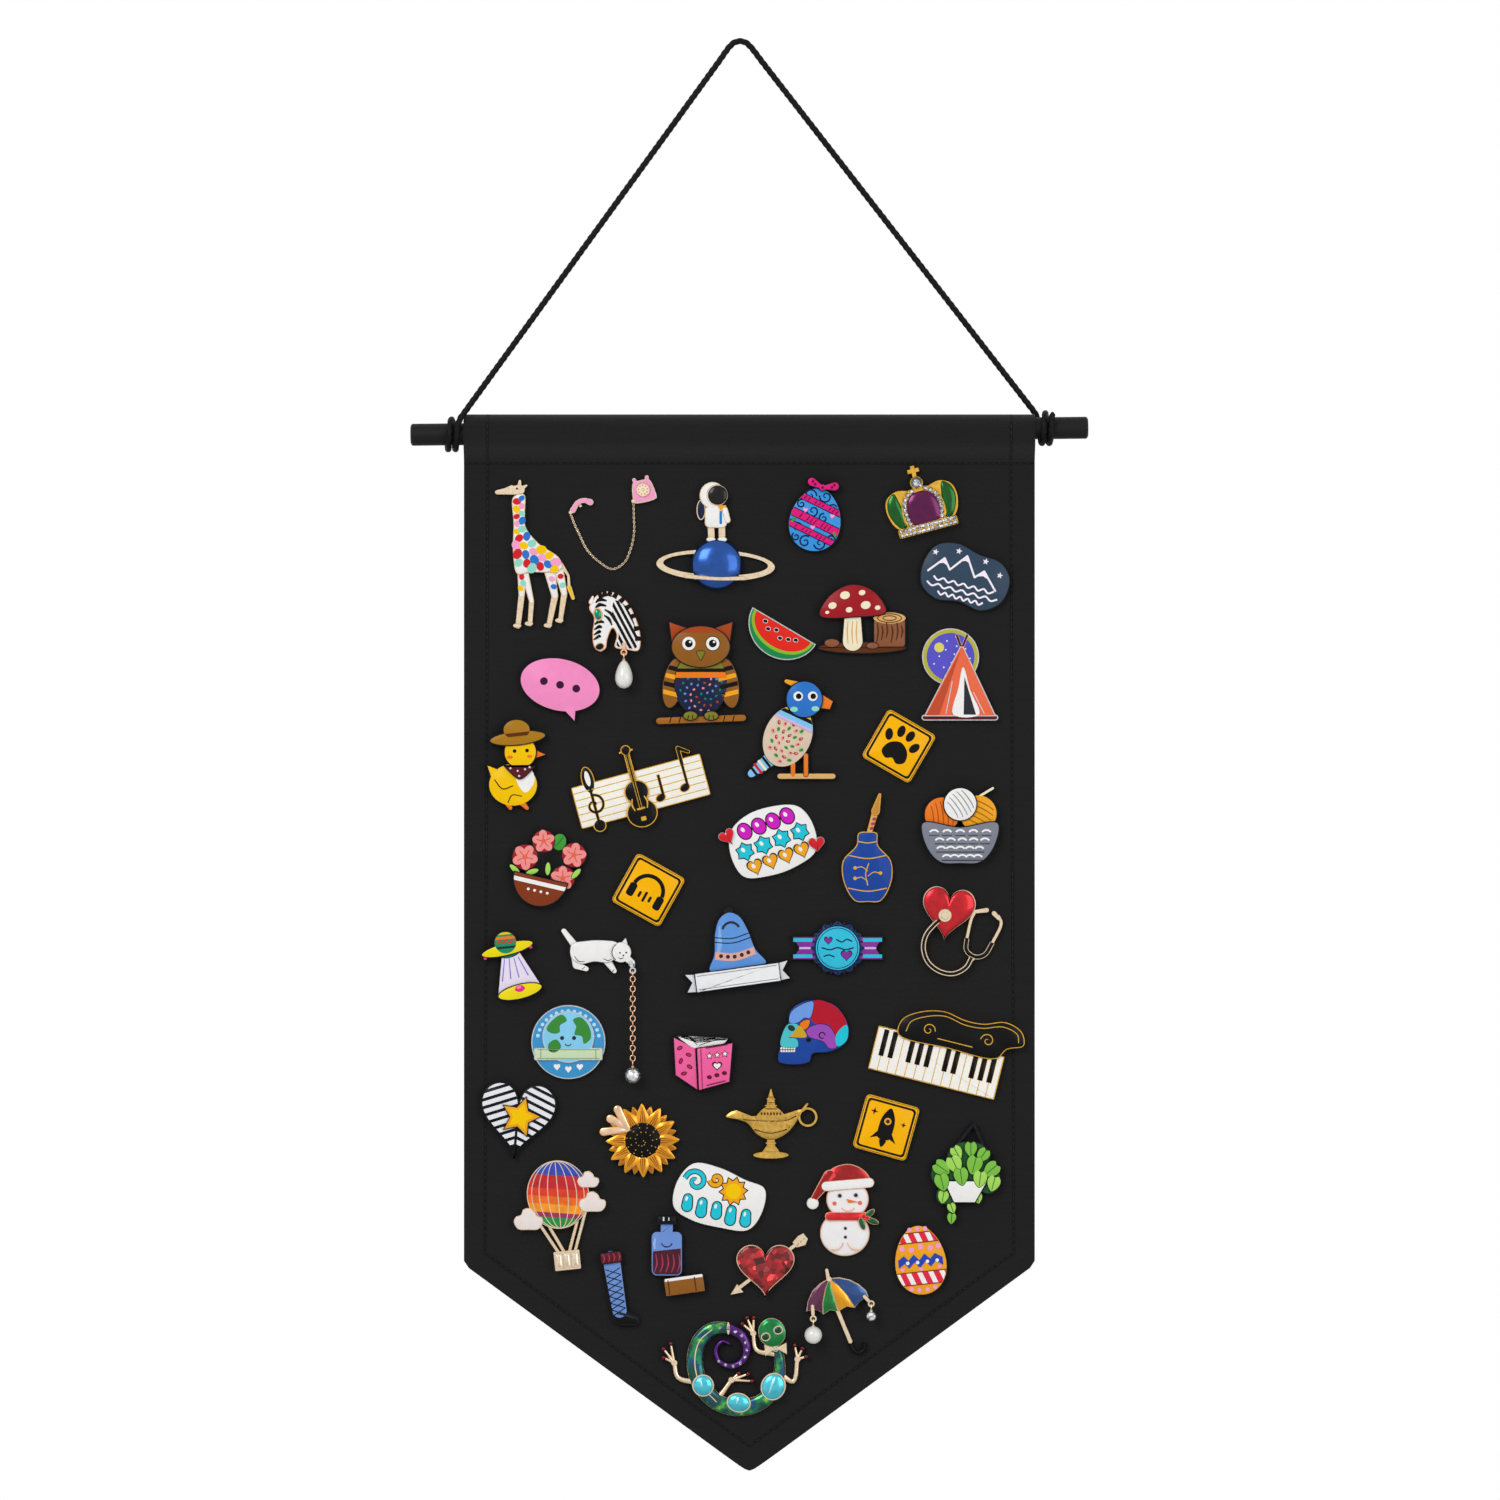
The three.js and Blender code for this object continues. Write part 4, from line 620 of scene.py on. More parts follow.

# %% [markdown]
# Plain weave is a chequer of little hills where each thread comes over the next, and thicker threads show
# as faint lines across. Both are patterns on the cloth's own coordinates. The stitches pull the cloth in,
# so the same finish sinks it along the seams and paints shade into that groove, darkening its colour there.
# The distance to the seams is plain geometry.

# %% Canvas finish
WEAVE = 0.8
canvas, canvas_shader, where = new_material("black_canvas", Specular_IOR_Level=0.12, Sheen_Weight=0.12,
    Sheen_Roughness=0.6)
x, y, z = axes(where)
hills = curve_of(x * (math.tau / WEAVE), "SINE") * curve_of(z * (math.tau / WEAVE), "SINE")
slubs = noise(where.make("ShaderNodeMapping", {}, {"Vector": where, "Scale": (0.05, 0.3, 1.6)}), 1.0, 3.0)
fluff = noise(where, 1.1, 3.0)
across = curve_of(x - HANG_OFFSET, "ABSOLUTE")
drop = -HANG_RISE - z
to_foot = (SIDE_DROP + POINT_DROP - math.tan(foot_slope) * across - drop) * math.cos(foot_slope)
inside = curve_of(SEAM_TOP_X + SEAM_SPREAD * drop - across, "MINIMUM", to_foot - FOOT_SEAM)
to_pocket = curve_of(drop - SEAM_DROP, "ABSOLUTE")
groove_and_painted_shade = ramp(curve_of(curve_of(inside, "ABSOLUTE"), "MINIMUM", to_pocket), 0.25, 1.0)
cloth_colour = mixed(slubs * 0.6 + fluff * 0.4, 0x0D0D0E, 0x1A1A1B)
# painted shade: the cloth colour is darkened almost to black in the seam grooves, while the same mask sinks
# them
feed(canvas_shader, Base_Color=cloth_colour * (0.08 + 0.92 * groove_and_painted_shade), Roughness=0.86 + 0.1 * fluff,
    Normal=bump(hills * 0.35 + slubs * 0.6 + groove_and_painted_shade * 1.6, 0.18))
banner = mesh_object("canvas_pennant", cloth_points, cloth_faces + hem_faces, [canvas], sharp=60)
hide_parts("banner_canvas")
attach(banner, "banner")
print("Cloth faces:", len(banner.data.polygons))

# %% [markdown]
# A seam is one short stitch repeated along a line. Geometry Nodes does that well: it walks the line in even
# steps and sets one stitch on each. The result is made a plain mesh, because the part keeps no modifiers.

# %% Pieces along a line
LENGTH, MATERIAL = "NodeSocketFloat", "NodeSocketMaterial"
GROWN_CREASE = math.radians(35)


def node_group(name, sockets):
    """An empty Geometry Nodes group with named inputs, and a wire for each of them."""
    tree = bpy.data.node_groups.new(name, "GeometryNodeTree")
    tree.interface.new_socket("Geometry", in_out="OUTPUT", socket_type="NodeSocketGeometry")
    tree.interface.new_socket("Geometry", in_out="INPUT", socket_type="NodeSocketGeometry")
    for socket, kind in sockets.items():
        tree.interface.new_socket(socket, in_out="INPUT", socket_type=kind)
    inlet = Wire(tree).make("NodeGroupInput")
    return tree, {socket: inlet.sibling(socket) for socket in ("Geometry", *sockets)}


def finish_group(instances, material):
    real = instances.make("GeometryNodeRealizeInstances", {}, {"Geometry": instances})
    painted = real.make("GeometryNodeSetMaterial", {}, {"Geometry": real, "Material": material})
    outlet = painted.tree.nodes.new("NodeGroupOutput")
    painted.tree.links.new(painted.socket, outlet.inputs[0])


def grown(name, points, edges, tree, values, attributes=None):
    """A plain mesh object made by a node group from points and edges."""
    mesh = bpy.data.meshes.new(name)
    mesh.from_pydata([STAND_UP @ point for point in points], edges, [])
    for key, numbers in (attributes or {}).items():
        mesh.attributes.new(key, "FLOAT", "POINT").data.foreach_set("value", numbers)
    made = bpy.data.objects.new(name, mesh)
    bpy.context.collection.objects.link(made)
    modifier = made.modifiers.new("grow", "NODES")
    modifier.node_group = tree
    for item in tree.interface.items_tree:
        if item.in_out == "INPUT" and item.name in values:
            modifier[item.identifier] = values[item.name]
    bpy.context.view_layer.update()
    evaluated = made.evaluated_get(bpy.context.evaluated_depsgraph_get())
    plain = bpy.data.meshes.new_from_object(evaluated)
    made.modifiers.clear()
    made.data = plain
    plain.shade_smooth()
    plain.set_sharp_from_angle(angle=GROWN_CREASE)
    return made


def edges_along(points):
    return [(i, i + 1) for i in range(len(points) - 1)]


print("Edges along four points:", edges_along(range(4)))

# %% [markdown]
# One seam runs down a side, round the pointed foot and up the other side, and a second one closes the
# pocket. The thread is black and a little shiny, and each stitch lies half sunk in the cloth.

# %% Seams
STITCH_PITCH, STITCH_THICKNESS, STITCH_SHARE, STITCH_SINK = 2.6, 0.2, 0.42, 0.02
stitch_tree, stitch = node_group("stitches_on_line",
    {"Pitch": LENGTH, "Thickness": LENGTH, "Material": MATERIAL})
line = stitch["Geometry"].make("GeometryNodeMeshToCurve", {}, {"Mesh": stitch["Geometry"]})
spots = line.make("GeometryNodeCurveToPoints", {"mode": "LENGTH"},
    {"Curve": line, "Length": stitch["Pitch"]})
bead = spots.make("GeometryNodeMeshUVSphere", {}, {"Segments": 8, "Rings": 5, "Radius": 1.0})
size = spots.make("ShaderNodeCombineXYZ", {}, {"X": stitch["Thickness"], "Y": stitch["Thickness"],
    "Z": stitch["Pitch"] * STITCH_SHARE})
laid = spots.make("GeometryNodeInstanceOnPoints", {},
    {"Points": spots, "Instance": bead, "Rotation": spots.sibling("Rotation"), "Scale": size})
finish_group(laid, stitch["Material"])

thread, thread_shader, where = new_material("black_thread", Specular_IOR_Level=0.3)
twist = noise(where, 4.0)
feed(thread_shader, Base_Color=mixed(twist, 0x050506, 0x101011), Roughness=0.5 + 0.3 * twist,
    Normal=bump(twist, 0.05))


def seam_points(line):
    return [on_banner(x, drop, front_of(x, drop) + STITCH_SINK) for x, drop in line]


FOLD_DROPS = (0.6, 1.5, 3, 5.3, 8, 9.9, 12, 14, 16, 18, 20)
side_drops = (*FOLD_DROPS, *range(24, int(seam_corner), 6), seam_corner)
side = [(-seam_x(drop), drop) for drop in side_drops]
foot = [(x, seam_tip - math.tan(foot_slope) * abs(x)) for x in range(-96, 97, 4)]
round_seam = seam_points(side + foot + [(-x, drop) for x, drop in reversed(side)])
pocket_seam = seam_points([(x, SEAM_DROP) for x in range(-109, 110, 4)])
seams = []
for name, points in (("edge_stitches", round_seam), ("pocket_stitches", pocket_seam)):
    values = {"Pitch": STITCH_PITCH * MM, "Thickness": STITCH_THICKNESS * MM, "Material": thread}
    seams.append(grown(name, points, edges_along(points), stitch_tree, values))
    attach(seams[-1], "banner")
print("Stitch faces:", [len(seam.data.polygons) for seam in seams])

# %% [markdown]
# Badges are die-struck metal. Thin raised walls of plated metal hold pools of hard enamel, which is ground
# flush and polished, and prints or raised dots may lie on top. So each coloured area is made twice: a metal
# plate with a softened edge, and a slightly smaller slab of enamel in it. The enamel's colour is stored in
# the mesh, so one finish serves every colour.

# %% Metal, enamel and stone finishes
def plated(name, dark, light, roughness):
    material, shader, where = new_material(name, Metallic=1.0)
    wear = noise(where, 0.9, 3.0)
    feed(shader, Base_Color=mixed(wear, dark, light), Roughness=roughness + wear * 0.14,
        Normal=bump(noise(where, 1.2), 0.01))
    return material


PALE_GOLD = plated("pale_gold_plating", 0xC8AE8C, 0xEBDAC0, 0.2)
RICH_GOLD = plated("rich_gold_plating", 0xB98522, 0xE9BC50, 0.2)
ROSE_GOLD = plated("rose_gold_plating", 0xCB9371, 0xE8BC9A, 0.3)
SILVER = plated("nickel_plating", 0xA9A9AB, 0xD8D8DA, 0.22)
BLACK_NICKEL = plated("black_nickel_plating", 0x161618, 0x2C2C30, 0.3)
ANTIQUE_GOLD = plated("antique_gold_plating", 0x8F6A22, 0xEDC266, 0.16)
BRASS = plated("clutch_brass", 0xB58A3A, 0xD8B566, 0.3)


def stored_tint(where):
    return where.make("ShaderNodeAttribute", {"attribute_name": "Tint"}, {}, "Color")


def tinted(name, low, high, roughness, ripple, **constants):
    """A finish that takes its colour from the mesh. Low and high are its darkest and brightest shares."""
    material, shader, where = new_material(name, **constants)
    stored = stored_tint(where)
    pool = noise(where, 0.35, 2.0)
    feed(shader, Base_Color=stored * (low + (high - low) * pool), Roughness=roughness + 0.1 * pool,
        Normal=bump(noise(where, 0.8), ripple))
    return material


ENAMEL = tinted("hard_enamel", 0.94, 1.06, 0.3, 0.015, Coat_Weight=0.05, Coat_Roughness=0.12,
    Specular_IOR_Level=0.08)
GLAZE = tinted("clear_enamel_on_metal", 0.6, 1.25, 0.16, 0.004, Metallic=0.8, Coat_Weight=0.3,
    Coat_Roughness=0.03)
print("Finishes so far:", len(bpy.data.materials))

# %% [markdown]
# A few pieces have a look of their own. The gecko's glaze runs in green and blue streaks, one heart holds
# crumpled foil under resin, and there are pearls and cut stones. Noise mixes the streaks, and flat cells
# that tilt in many ways give the flakes their bumps. The glitter of flakes and facets is painted light:
# each cell's colour is lighter or darker, as if it caught the light at its own angle.

# %% Streaks, foil, pearl and crystal
STREAKED, shader, where = new_material("streaked_enamel_on_metal", Metallic=0.75, Coat_Weight=0.4,
    Coat_Roughness=0.03)
slow, quick = noise(where, 0.11, 1.0), noise(where, 0.22, 2.0)
streaks = mixed(ramp(slow, 0.42, 0.58), 0x06463C, 0x0A4A70)
streaks = mixed(ramp(quick, 0.46, 0.6), streaks, 0x128048)
streaks = mixed(ramp(quick, 0.6, 0.72), streaks, 0x7CC22C)
feed(shader, Base_Color=streaks, Roughness=0.1 + 0.14 * quick, Normal=bump(quick, 0.1))

FOIL, shader, where = new_material("foil_under_resin", Metallic=0.6, Coat_Weight=0.5, Coat_Roughness=0.05)
stored = stored_tint(where)
flakes = where.make("ShaderNodeTexVoronoi", {}, {"Vector": where, "Scale": 0.5}, "Color")
flake_painted_light, flake_rough = axes(flakes)[:2]
tilt = where.make("ShaderNodeVectorMath", {"operation": "DOT_PRODUCT"},
    {0: where - flakes.sibling("Position"), 1: flakes - 0.5}, "Value")
# painted light: each foil flake's colour is made lighter or darker, as if lit at its own tilt
feed(shader, Base_Color=stored * (0.15 + 1.1 * flake_painted_light), Roughness=0.1 + 0.25 * flake_rough,
    Normal=bump(tilt, 1.2))

PEARL, shader, where = new_material("pearl_lustre", Coat_Weight=0.7, Coat_Roughness=0.08,
    Subsurface_Weight=0.1)
sheen = noise(where, 0.4)
feed(shader, Base_Color=mixed(sheen, 0xE2DDD6, 0xF4EFEA), Roughness=0.22 + 0.1 * sheen)

CRYSTAL, shader, where = new_material("cut_crystal", Metallic=0.75, Coat_Weight=1.0, Coat_Roughness=0.02,
    Coat_IOR=1.8)
# painted sparkle: the crystal's colour goes from grey to white cell by cell, standing in for facets that
# catch the light
painted_sparkle = axes(where.make("ShaderNodeTexVoronoi", {}, {"Vector": where, "Scale": 1.3}, "Color"))[0]
feed(shader, Base_Color=mixed(painted_sparkle, 0x5C666E, 0xFDFEFF), Roughness=0.04 + 0.12 * painted_sparkle)
print("Finishes:", len(bpy.data.materials))

# %% [markdown]
# A badge's parts are flat outlines: ovals, hearts, bars and smooth lines through a few points. The CAD
# model uses the same outlines with coarse steps, so here they are written again with fine ones.

# %% Round outlines
STEP, FEWEST_STEPS = 0.6, 10
EGG_TAPER = 0.13
HALF_STEPS, PETAL_STEPS = 36, 10


def steps_for(length):
    return max(FEWEST_STEPS, round(length / STEP))


def around(count):
    return [math.tau * i / count for i in range(count)]


def on_oval(x, y, rx, ry, angle):
    return Vector((x + rx * math.cos(angle), y + ry * math.sin(angle)))


def turned(points, x, y, degrees):
    c, s = math.cos(math.radians(degrees)), math.sin(math.radians(degrees))
    return [Vector((x + c * px - s * py, y + s * px + c * py)) for px, py in points]


def oval(x, y, rx, ry=None, degrees=0, count=None):
    ry = ry or rx
    angles = around(count or steps_for(math.tau * max(rx, ry)))
    return turned([(rx * math.cos(a), ry * math.sin(a)) for a in angles], x, y, degrees)


def egg(x, y, width, height):
    angles = around(steps_for(math.pi * height))
    return [Vector((x + width / 2 * math.cos(a) * (1 - EGG_TAPER * math.sin(a)),
        y + height / 2 * math.sin(a))) for a in angles]


def heart(x, y, width, height, degrees=0):
    points = []
    for a in around(steps_for(math.pi * width)):
        rise = 13 * math.cos(a) - 5 * math.cos(2 * a) - 2 * math.cos(3 * a) - math.cos(4 * a) + 2.5
        points.append((-width / 2 * math.sin(a) ** 3, height / 29 * rise))
    return turned(points, x, y, degrees)


def half_disc(x, y, radius, depth):
    return [on_oval(x, y, radius, depth, math.pi + math.pi * i / HALF_STEPS) for i in range(HALF_STEPS + 1)]


def star(x, y, points, outer, inner, start=90):
    """Rays and hollows by turns, from the ray at the start angle."""
    reaches = [inner if i % 2 else outer for i in range(2 * points)]
    return [on_oval(x, y, reach, reach, math.radians(start + 180 * i / points))
        for i, reach in enumerate(reaches)]


def petals(count, outer, inner):
    """A round outline that swells once for each petal."""
    angles = around(count * PETAL_STEPS)
    reaches = [(outer + inner) / 2 + (outer - inner) / 2 * math.cos(a * count) for a in angles]
    return [on_oval(0, 0, reach, reach, a) for reach, a in zip(reaches, angles)]


SEED_TURN = math.pi * (3 - math.sqrt(5))


def seeds(count, x, y, rx, ry=None):
    """Places spread evenly over an oval, by the turn that sunflower seeds take."""
    reaches = [math.sqrt((i + 0.5) / count) for i in range(count)]
    return [on_oval(x, y, rx * reach, (ry or rx) * reach, i * SEED_TURN) for i, reach in enumerate(reaches)]


print("Outline of a heart has", len(heart(0, 0, 20, 20)), "points")

# %% [markdown]
# Other outlines follow points: straight bars, boxes, smooth closed lines and strips whose width changes
# along a line.

# %% Drawn outlines
END_STEPS, CORNER_STEPS = 5, 4
BLOB_STEPS, STRIP_STEPS, ARC_STEPS = 6, 5, 12
CURL_STEPS, CURL_TURN, CURL_END, CURL_TIP = 12, 38, 14, 0.6


def bar(x1, y1, x2, y2, r1, r2=None):
    """A bar with round ends of two sizes."""
    r2 = r1 if r2 is None else r2
    along = math.atan2(y2 - y1, x2 - x1)
    spread = math.acos(max(-1, min(1, (r1 - r2) / math.hypot(x2 - x1, y2 - y1))))
    points = []
    for x, y, radius, first, last in ((x2, y2, r2, -spread, spread),
            (x1, y1, r1, spread, math.tau - spread)):
        count = max(END_STEPS, round((last - first) * radius / STEP))
        turns = [along + first + (last - first) * i / count for i in range(count + 1)]
        points += [on_oval(x, y, radius, radius, turn) for turn in turns]
    return points


def box(x, y, width, height, corner=0.15, degrees=0):
    points = []
    for sx, sy, start in ((1, -1, -90), (1, 1, 0), (-1, 1, 90), (-1, -1, 180)):
        middle = (sx * (width / 2 - corner), sy * (height / 2 - corner))
        turns = [math.radians(start + 90 * step / CORNER_STEPS) for step in range(CORNER_STEPS + 1)]
        points += [on_oval(*middle, corner, corner, turn) for turn in turns]
    return turned(points, x, y, degrees)


def polygon(*pairs):
    return [Vector(pair) for pair in pairs]


def mirrored(pairs, side):
    return [(side * x, y) for x, y in pairs]


def blob(*pairs):
    """A smooth closed line."""
    return smooth_line(polygon(*pairs), BLOB_STEPS, closed=True)


def strip(widths, *pairs):
    """A line with a width, or with several widths that it passes through."""
    widths = widths if isinstance(widths, list) else [widths, widths]
    line = smooth_line(polygon(*pairs), STRIP_STEPS) if len(pairs) > 2 else polygon(*pairs)
    left, right = [], []
    for i, point in enumerate(line):
        along = (line[min(i + 1, len(line) - 1)] - line[max(i - 1, 0)]).normalized()
        place = i / (len(line) - 1) * (len(widths) - 1)
        lower = min(int(place), len(widths) - 2)
        half = (widths[lower] + (widths[lower + 1] - widths[lower]) * (place - lower)) / 2
        across = Vector((-along.y, along.x)) * half
        left.append(point + across)
        right.append(point - across)
    return right + left[::-1]


def arc(x, y, radius, first, last, width, ry=None):
    turns = [math.radians(first + (last - first) * i / ARC_STEPS) for i in range(ARC_STEPS + 1)]
    return strip(width, *[on_oval(x, y, radius, ry or radius, turn) for turn in turns])


def curl(x, y, radius, start, width, way=1):
    """A spiral line that winds in to its middle."""
    reaches = [radius * (1 - i / CURL_END) for i in range(CURL_STEPS + 1)]
    line = [on_oval(x, y, reach, reach, math.radians(start + way * CURL_TURN * i))
        for i, reach in enumerate(reaches)]
    return strip([width, width, width * CURL_TIP], *line)


print("Outline of a bar has", len(bar(0, 0, 20, 0, 3)), "points")

# %% [markdown]
# Stripes are cut out of an outline by straight lines, which keeps them inside it. An outline that is moved
# inwards leaves a rim of even width, where the metal wall shows round a pool of colour.

# %% Cut outlines
DOUBLED_BACK, SHARPEST = 0.2, 0.5


def clip(outline, normal, limit):
    kept = []
    for i, point in enumerate(outline):
        before = outline[i - 1]
        a, b = before.dot(normal) - limit, point.dot(normal) - limit
        if (a > 0) != (b > 0):
            kept.append(before.lerp(point, a / (a - b)))
        if b <= 0:
            kept.append(point)
    return kept


def between(outline, degrees, low, high):
    """The part of an outline between two parallel lines at that angle."""
    normal = Vector((-math.sin(math.radians(degrees)), math.cos(math.radians(degrees))))
    return clip(clip(outline, normal, high), -normal, -low)


def area_of(outline):
    return sum(a.x * b.y - b.x * a.y for a, b in zip(outline, outline[1:] + outline[:1])) / 2


def inset(outline, amount):
    """The outline moved inwards, with sharp corners kept from running away."""
    moved = []
    for i, point in enumerate(outline):
        before = (point - outline[i - 1]).normalized()
        after = (outline[(i + 1) % len(outline)] - point).normalized()
        middle = before + after
        middle = middle.normalized() if middle.length > DOUBLED_BACK else after
        inward = Vector((-middle.y, middle.x))
        share = max(inward.dot(Vector((-after.y, after.x))), SHARPEST)
        moved.append(point + inward * amount / share)
    return moved


print("Area inside a rim of a round outline:", round(area_of(inset(oval(0, 0, 10), 1)), 1))

# %% [markdown]
# A plate is struck at one of three heights. The pool of enamel stands a little over its rim, a print lies
# on top, and pointed posts reach back through the cloth. Every badge shares these sizes.

# %% Badge sizes
LOW, HIGH, TOP = 1.6, 2.4, 3.0
RIM = 0.42
SOFT, SOFT_SHARE = 0.14, 0.1
POOL, POOL_SHARE, POOL_EDGE, POOL_SLOPE = 0.05, 0.2, 0.04, 0.06
POOL_DEPTH = 0.3
PRINT = 0.08
PRINT_DEPTH = 0.2
PILLOW_FOOT, PILLOW_ROUND = 0.2, 0.985
RIDGE_STEPS, RIDGE_ROUND = 5, 0.94
HAIR = 0.006
PIN_SEAT = -0.75
POST_RADIUS, POST_POINT = 0.55, 0.12
POST_END, POINT_START, POST_ROOT = -7.5, -6, 0.5
EYELET_OUTER, EYELET_INNER, EYELET_ARM = 1.3, 0.7, 0.65
EYELET_LOW, EYELET_TOP, EYELET_REACH, EYELET_STEPS = 3.15, 4.05, 1.65, 24
BADGE_CREASE = 38
BARE_TINT = (0.5, 0.5, 0.5, 1)
post_places = []
eyelets = []
made_badges = []


def with_height(layers):
    """Takes a height off the front of a list of outlines. Without one they lie on the low plate."""
    return (layers[0], layers[1:]) if isinstance(layers[0], (int, float)) else (LOW, layers)


def leftward(outline):
    """The outline run against the clock."""
    return outline if area_of(outline) > 0 else outline[::-1]


def mean_width(outline):
    around_it = sum((a - b).length for a, b in zip(outline, outline[1:] + outline[:1]))
    return 2 * abs(area_of(outline)) / around_it


print("Plate heights in millimetres:", LOW, HIGH, TOP)

# %% [markdown]
# A badge collects its layers as rings of points: each layer is a stack of outlines at rising heights. Every
# new layer lies a hair higher than the last one, so two faces never share a plane. Posts stand behind, as
# on the real pin.

# %% Flat layers
class Layers:
    def __init__(self, node, x, drop, tilt, metal, slot, *posts, body=None):
        self.node, self.body, self.metal, self.slot = node, body or node, metal, slot
        spot = Matrix.Translation(on_banner(x, drop, PIN_SEAT))
        self.place = spot @ Matrix.Rotation(math.radians(tilt), 4, "Z")
        self.points, self.faces, self.finishes, self.tints = [], [], [], []
        self.layers = 0
        for px, py in posts or ((0, 0),):
            shank = oval(px, py, POST_RADIUS)
            self.stack([(oval(px, py, POST_POINT), POST_END), (shank, POINT_START), (shank, POST_ROOT)])
            post_places.append(self.place @ Vector((px, py, 0)))

    def stack(self, rings, finish=None, tint=None, hollow=False):
        """A skin over rings of points with their heights. Without a finish it is the badge's own metal."""
        base, count = len(self.points), len(rings[0][0])
        for outline, height in rings:
            self.points += [Vector((point.x, point.y, height)) for point in outline]
        made = []
        for ring in range(len(rings) - (0 if hollow else 1)):
            a, b = base + ring * count, base + (ring + 1) % len(rings) * count
            made += [(a + i, a + (i + 1) % count, b + (i + 1) % count, b + i) for i in range(count)]
        if not hollow:
            top = base + (len(rings) - 1) * count
            made += [tuple(range(top, top + count)), tuple(reversed(range(base, base + count)))]
        self.faces += made
        self.finishes += [finish or self.metal] * len(made)
        self.tints += [BARE_TINT if tint is None else colour(tint)] * len(made)

    def lift(self):
        self.layers += 1
        return HAIR * self.layers

    def bare(self, *layers):
        """Metal with a softened edge."""
        height, outlines = with_height(layers)
        for outline in map(leftward, outlines):
            top = height + self.lift()
            soft = min(SOFT, SOFT_SHARE * mean_width(outline))
            self.stack([(outline, 0), (outline, top - soft), (inset(outline, soft), top)])

    def fill(self, tint, *layers, rim=RIM, finish=ENAMEL):
        """A metal plate with a pool of colour in it."""
        height, outlines = with_height(layers)
        for outline in map(leftward, outlines):
            self.bare(height, outline)
            top = height + POOL + self.lift()
            pool = inset(outline, min(rim, POOL_SHARE * mean_width(outline)))
            face = inset(pool, POOL_SLOPE)
            self.stack([(pool, height - POOL_DEPTH), (pool, top - POOL_EDGE), (face, top)], finish, tint)

    def ink(self, tint, *layers, finish=ENAMEL):
        """Colour printed or raised on top of a layer."""
        height, outlines = with_height(layers)
        for outline in outlines:
            if len(outline) > 2:
                top = height + PRINT + self.lift()
                ring = leftward(outline)
                self.stack([(ring, height - PRINT_DEPTH), (ring, top)], finish, tint)

    def wall(self, *layers):
        """Thin lines of the badge's own metal."""
        self.ink(None, *layers, finish=self.metal)

    def dots(self, tint, height, radius, *places):
        self.ink(tint, height, *[oval(x, y, radius) for x, y in places])

    def bands(self, outline, lean, *rows, height=LOW, finish=ENAMEL):
        """Stripes across an outline, each with its tint and its lower and upper line."""
        for tint, low, high in rows:
            self.ink(tint, height, between(outline, lean, low, high), finish=finish)


print("Ways to lay a flat layer:", [name for name in vars(Layers) if not name.startswith("_")])

# %% [markdown]
# Some badges also have rounded forms: cushions of glaze, bent rods, open hoops, and eyelets that other
# pieces hang from. A finished badge becomes one mesh, in which every face keeps its finish and its colour.

# %% Badge maker
class Badge(Layers):
    def pillow(self, tint, outline, base, rise, finish=GLAZE, rings=7):
        """A rounded cushion over an outline that can be seen whole from its middle."""
        outline = leftward(outline)
        middle = sum(outline, Vector((0, 0))) / len(outline)
        stack = [(outline, PILLOW_FOOT)]
        for step in range(rings + 1):
            angle = QUARTER * step / rings * PILLOW_ROUND
            shrunk = [middle + (point - middle) * math.cos(angle) for point in outline]
            stack.append((shrunk, base + rise * math.sin(angle)))
        self.stack(stack, finish, tint)

    def ridge(self, tint, height, widths, *pairs, finish=GLAZE):
        """A rounded strip, like a bent rod that is flat behind."""
        rings = [(strip(widths, *pairs), 0)]
        for step in range(RIDGE_STEPS + 1):
            angle = QUARTER * step / RIDGE_STEPS * RIDGE_ROUND
            narrow = [width * math.cos(angle) for width in widths]
            rings.append((strip(narrow, *pairs), height * (0.5 + 0.5 * math.sin(angle))))
        self.stack(rings, finish, tint)

    def hoop(self, outer, inner, low, high, finish=None, tint=None):
        self.stack([(outer, low), (outer, high), (inner, high), (inner, low)], finish, tint, hollow=True)

    def frame(self, tint, height, outer, inner):
        """A line of one width between two outlines with the same number of points."""
        self.hoop(outer, inner, height - PRINT_DEPTH, height + PRINT + self.lift(), ENAMEL, tint)

    def eyelet(self, x, y, from_x, from_y):
        outer, inner = [oval(x, y, radius, count=EYELET_STEPS) for radius in (EYELET_OUTER, EYELET_INNER)]
        self.hoop(outer, inner, EYELET_LOW, EYELET_TOP)
        eyelets.append(self.place @ Vector((x, y, (EYELET_LOW + EYELET_TOP) / 2)))
        way = Vector((from_x - x, from_y - y)).normalized() * EYELET_REACH
        self.bare(EYELET_TOP, bar(x + way.x, y + way.y, from_x, from_y, EYELET_ARM))

    def done(self):
        used = [finish for finish in (self.metal, ENAMEL, GLAZE, FOIL, STREAKED) if finish in self.finishes]
        numbers = [used.index(finish) for finish in self.finishes]
        points = [self.place @ point for point in self.points]
        made = mesh_object(self.node + "_look", points, self.faces, used, numbers, BADGE_CREASE)
        shades = made.data.color_attributes.new("Tint", "FLOAT_COLOR", "CORNER")
        shades.data.foreach_set("color", [share for face, tint in zip(self.faces, self.tints)
            for corner in face for share in tint])
        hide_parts(self.node)
        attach(made, self.body)
        made_badges.append(made)


print("More ways of a badge:", [name for name in vars(Badge) if not name.startswith("_")])

# %% [markdown]
# A pin maker picks colours from a card of stock enamels. These are the common ones, from white to purple. A
# shade that only one badge has is written where it is used.

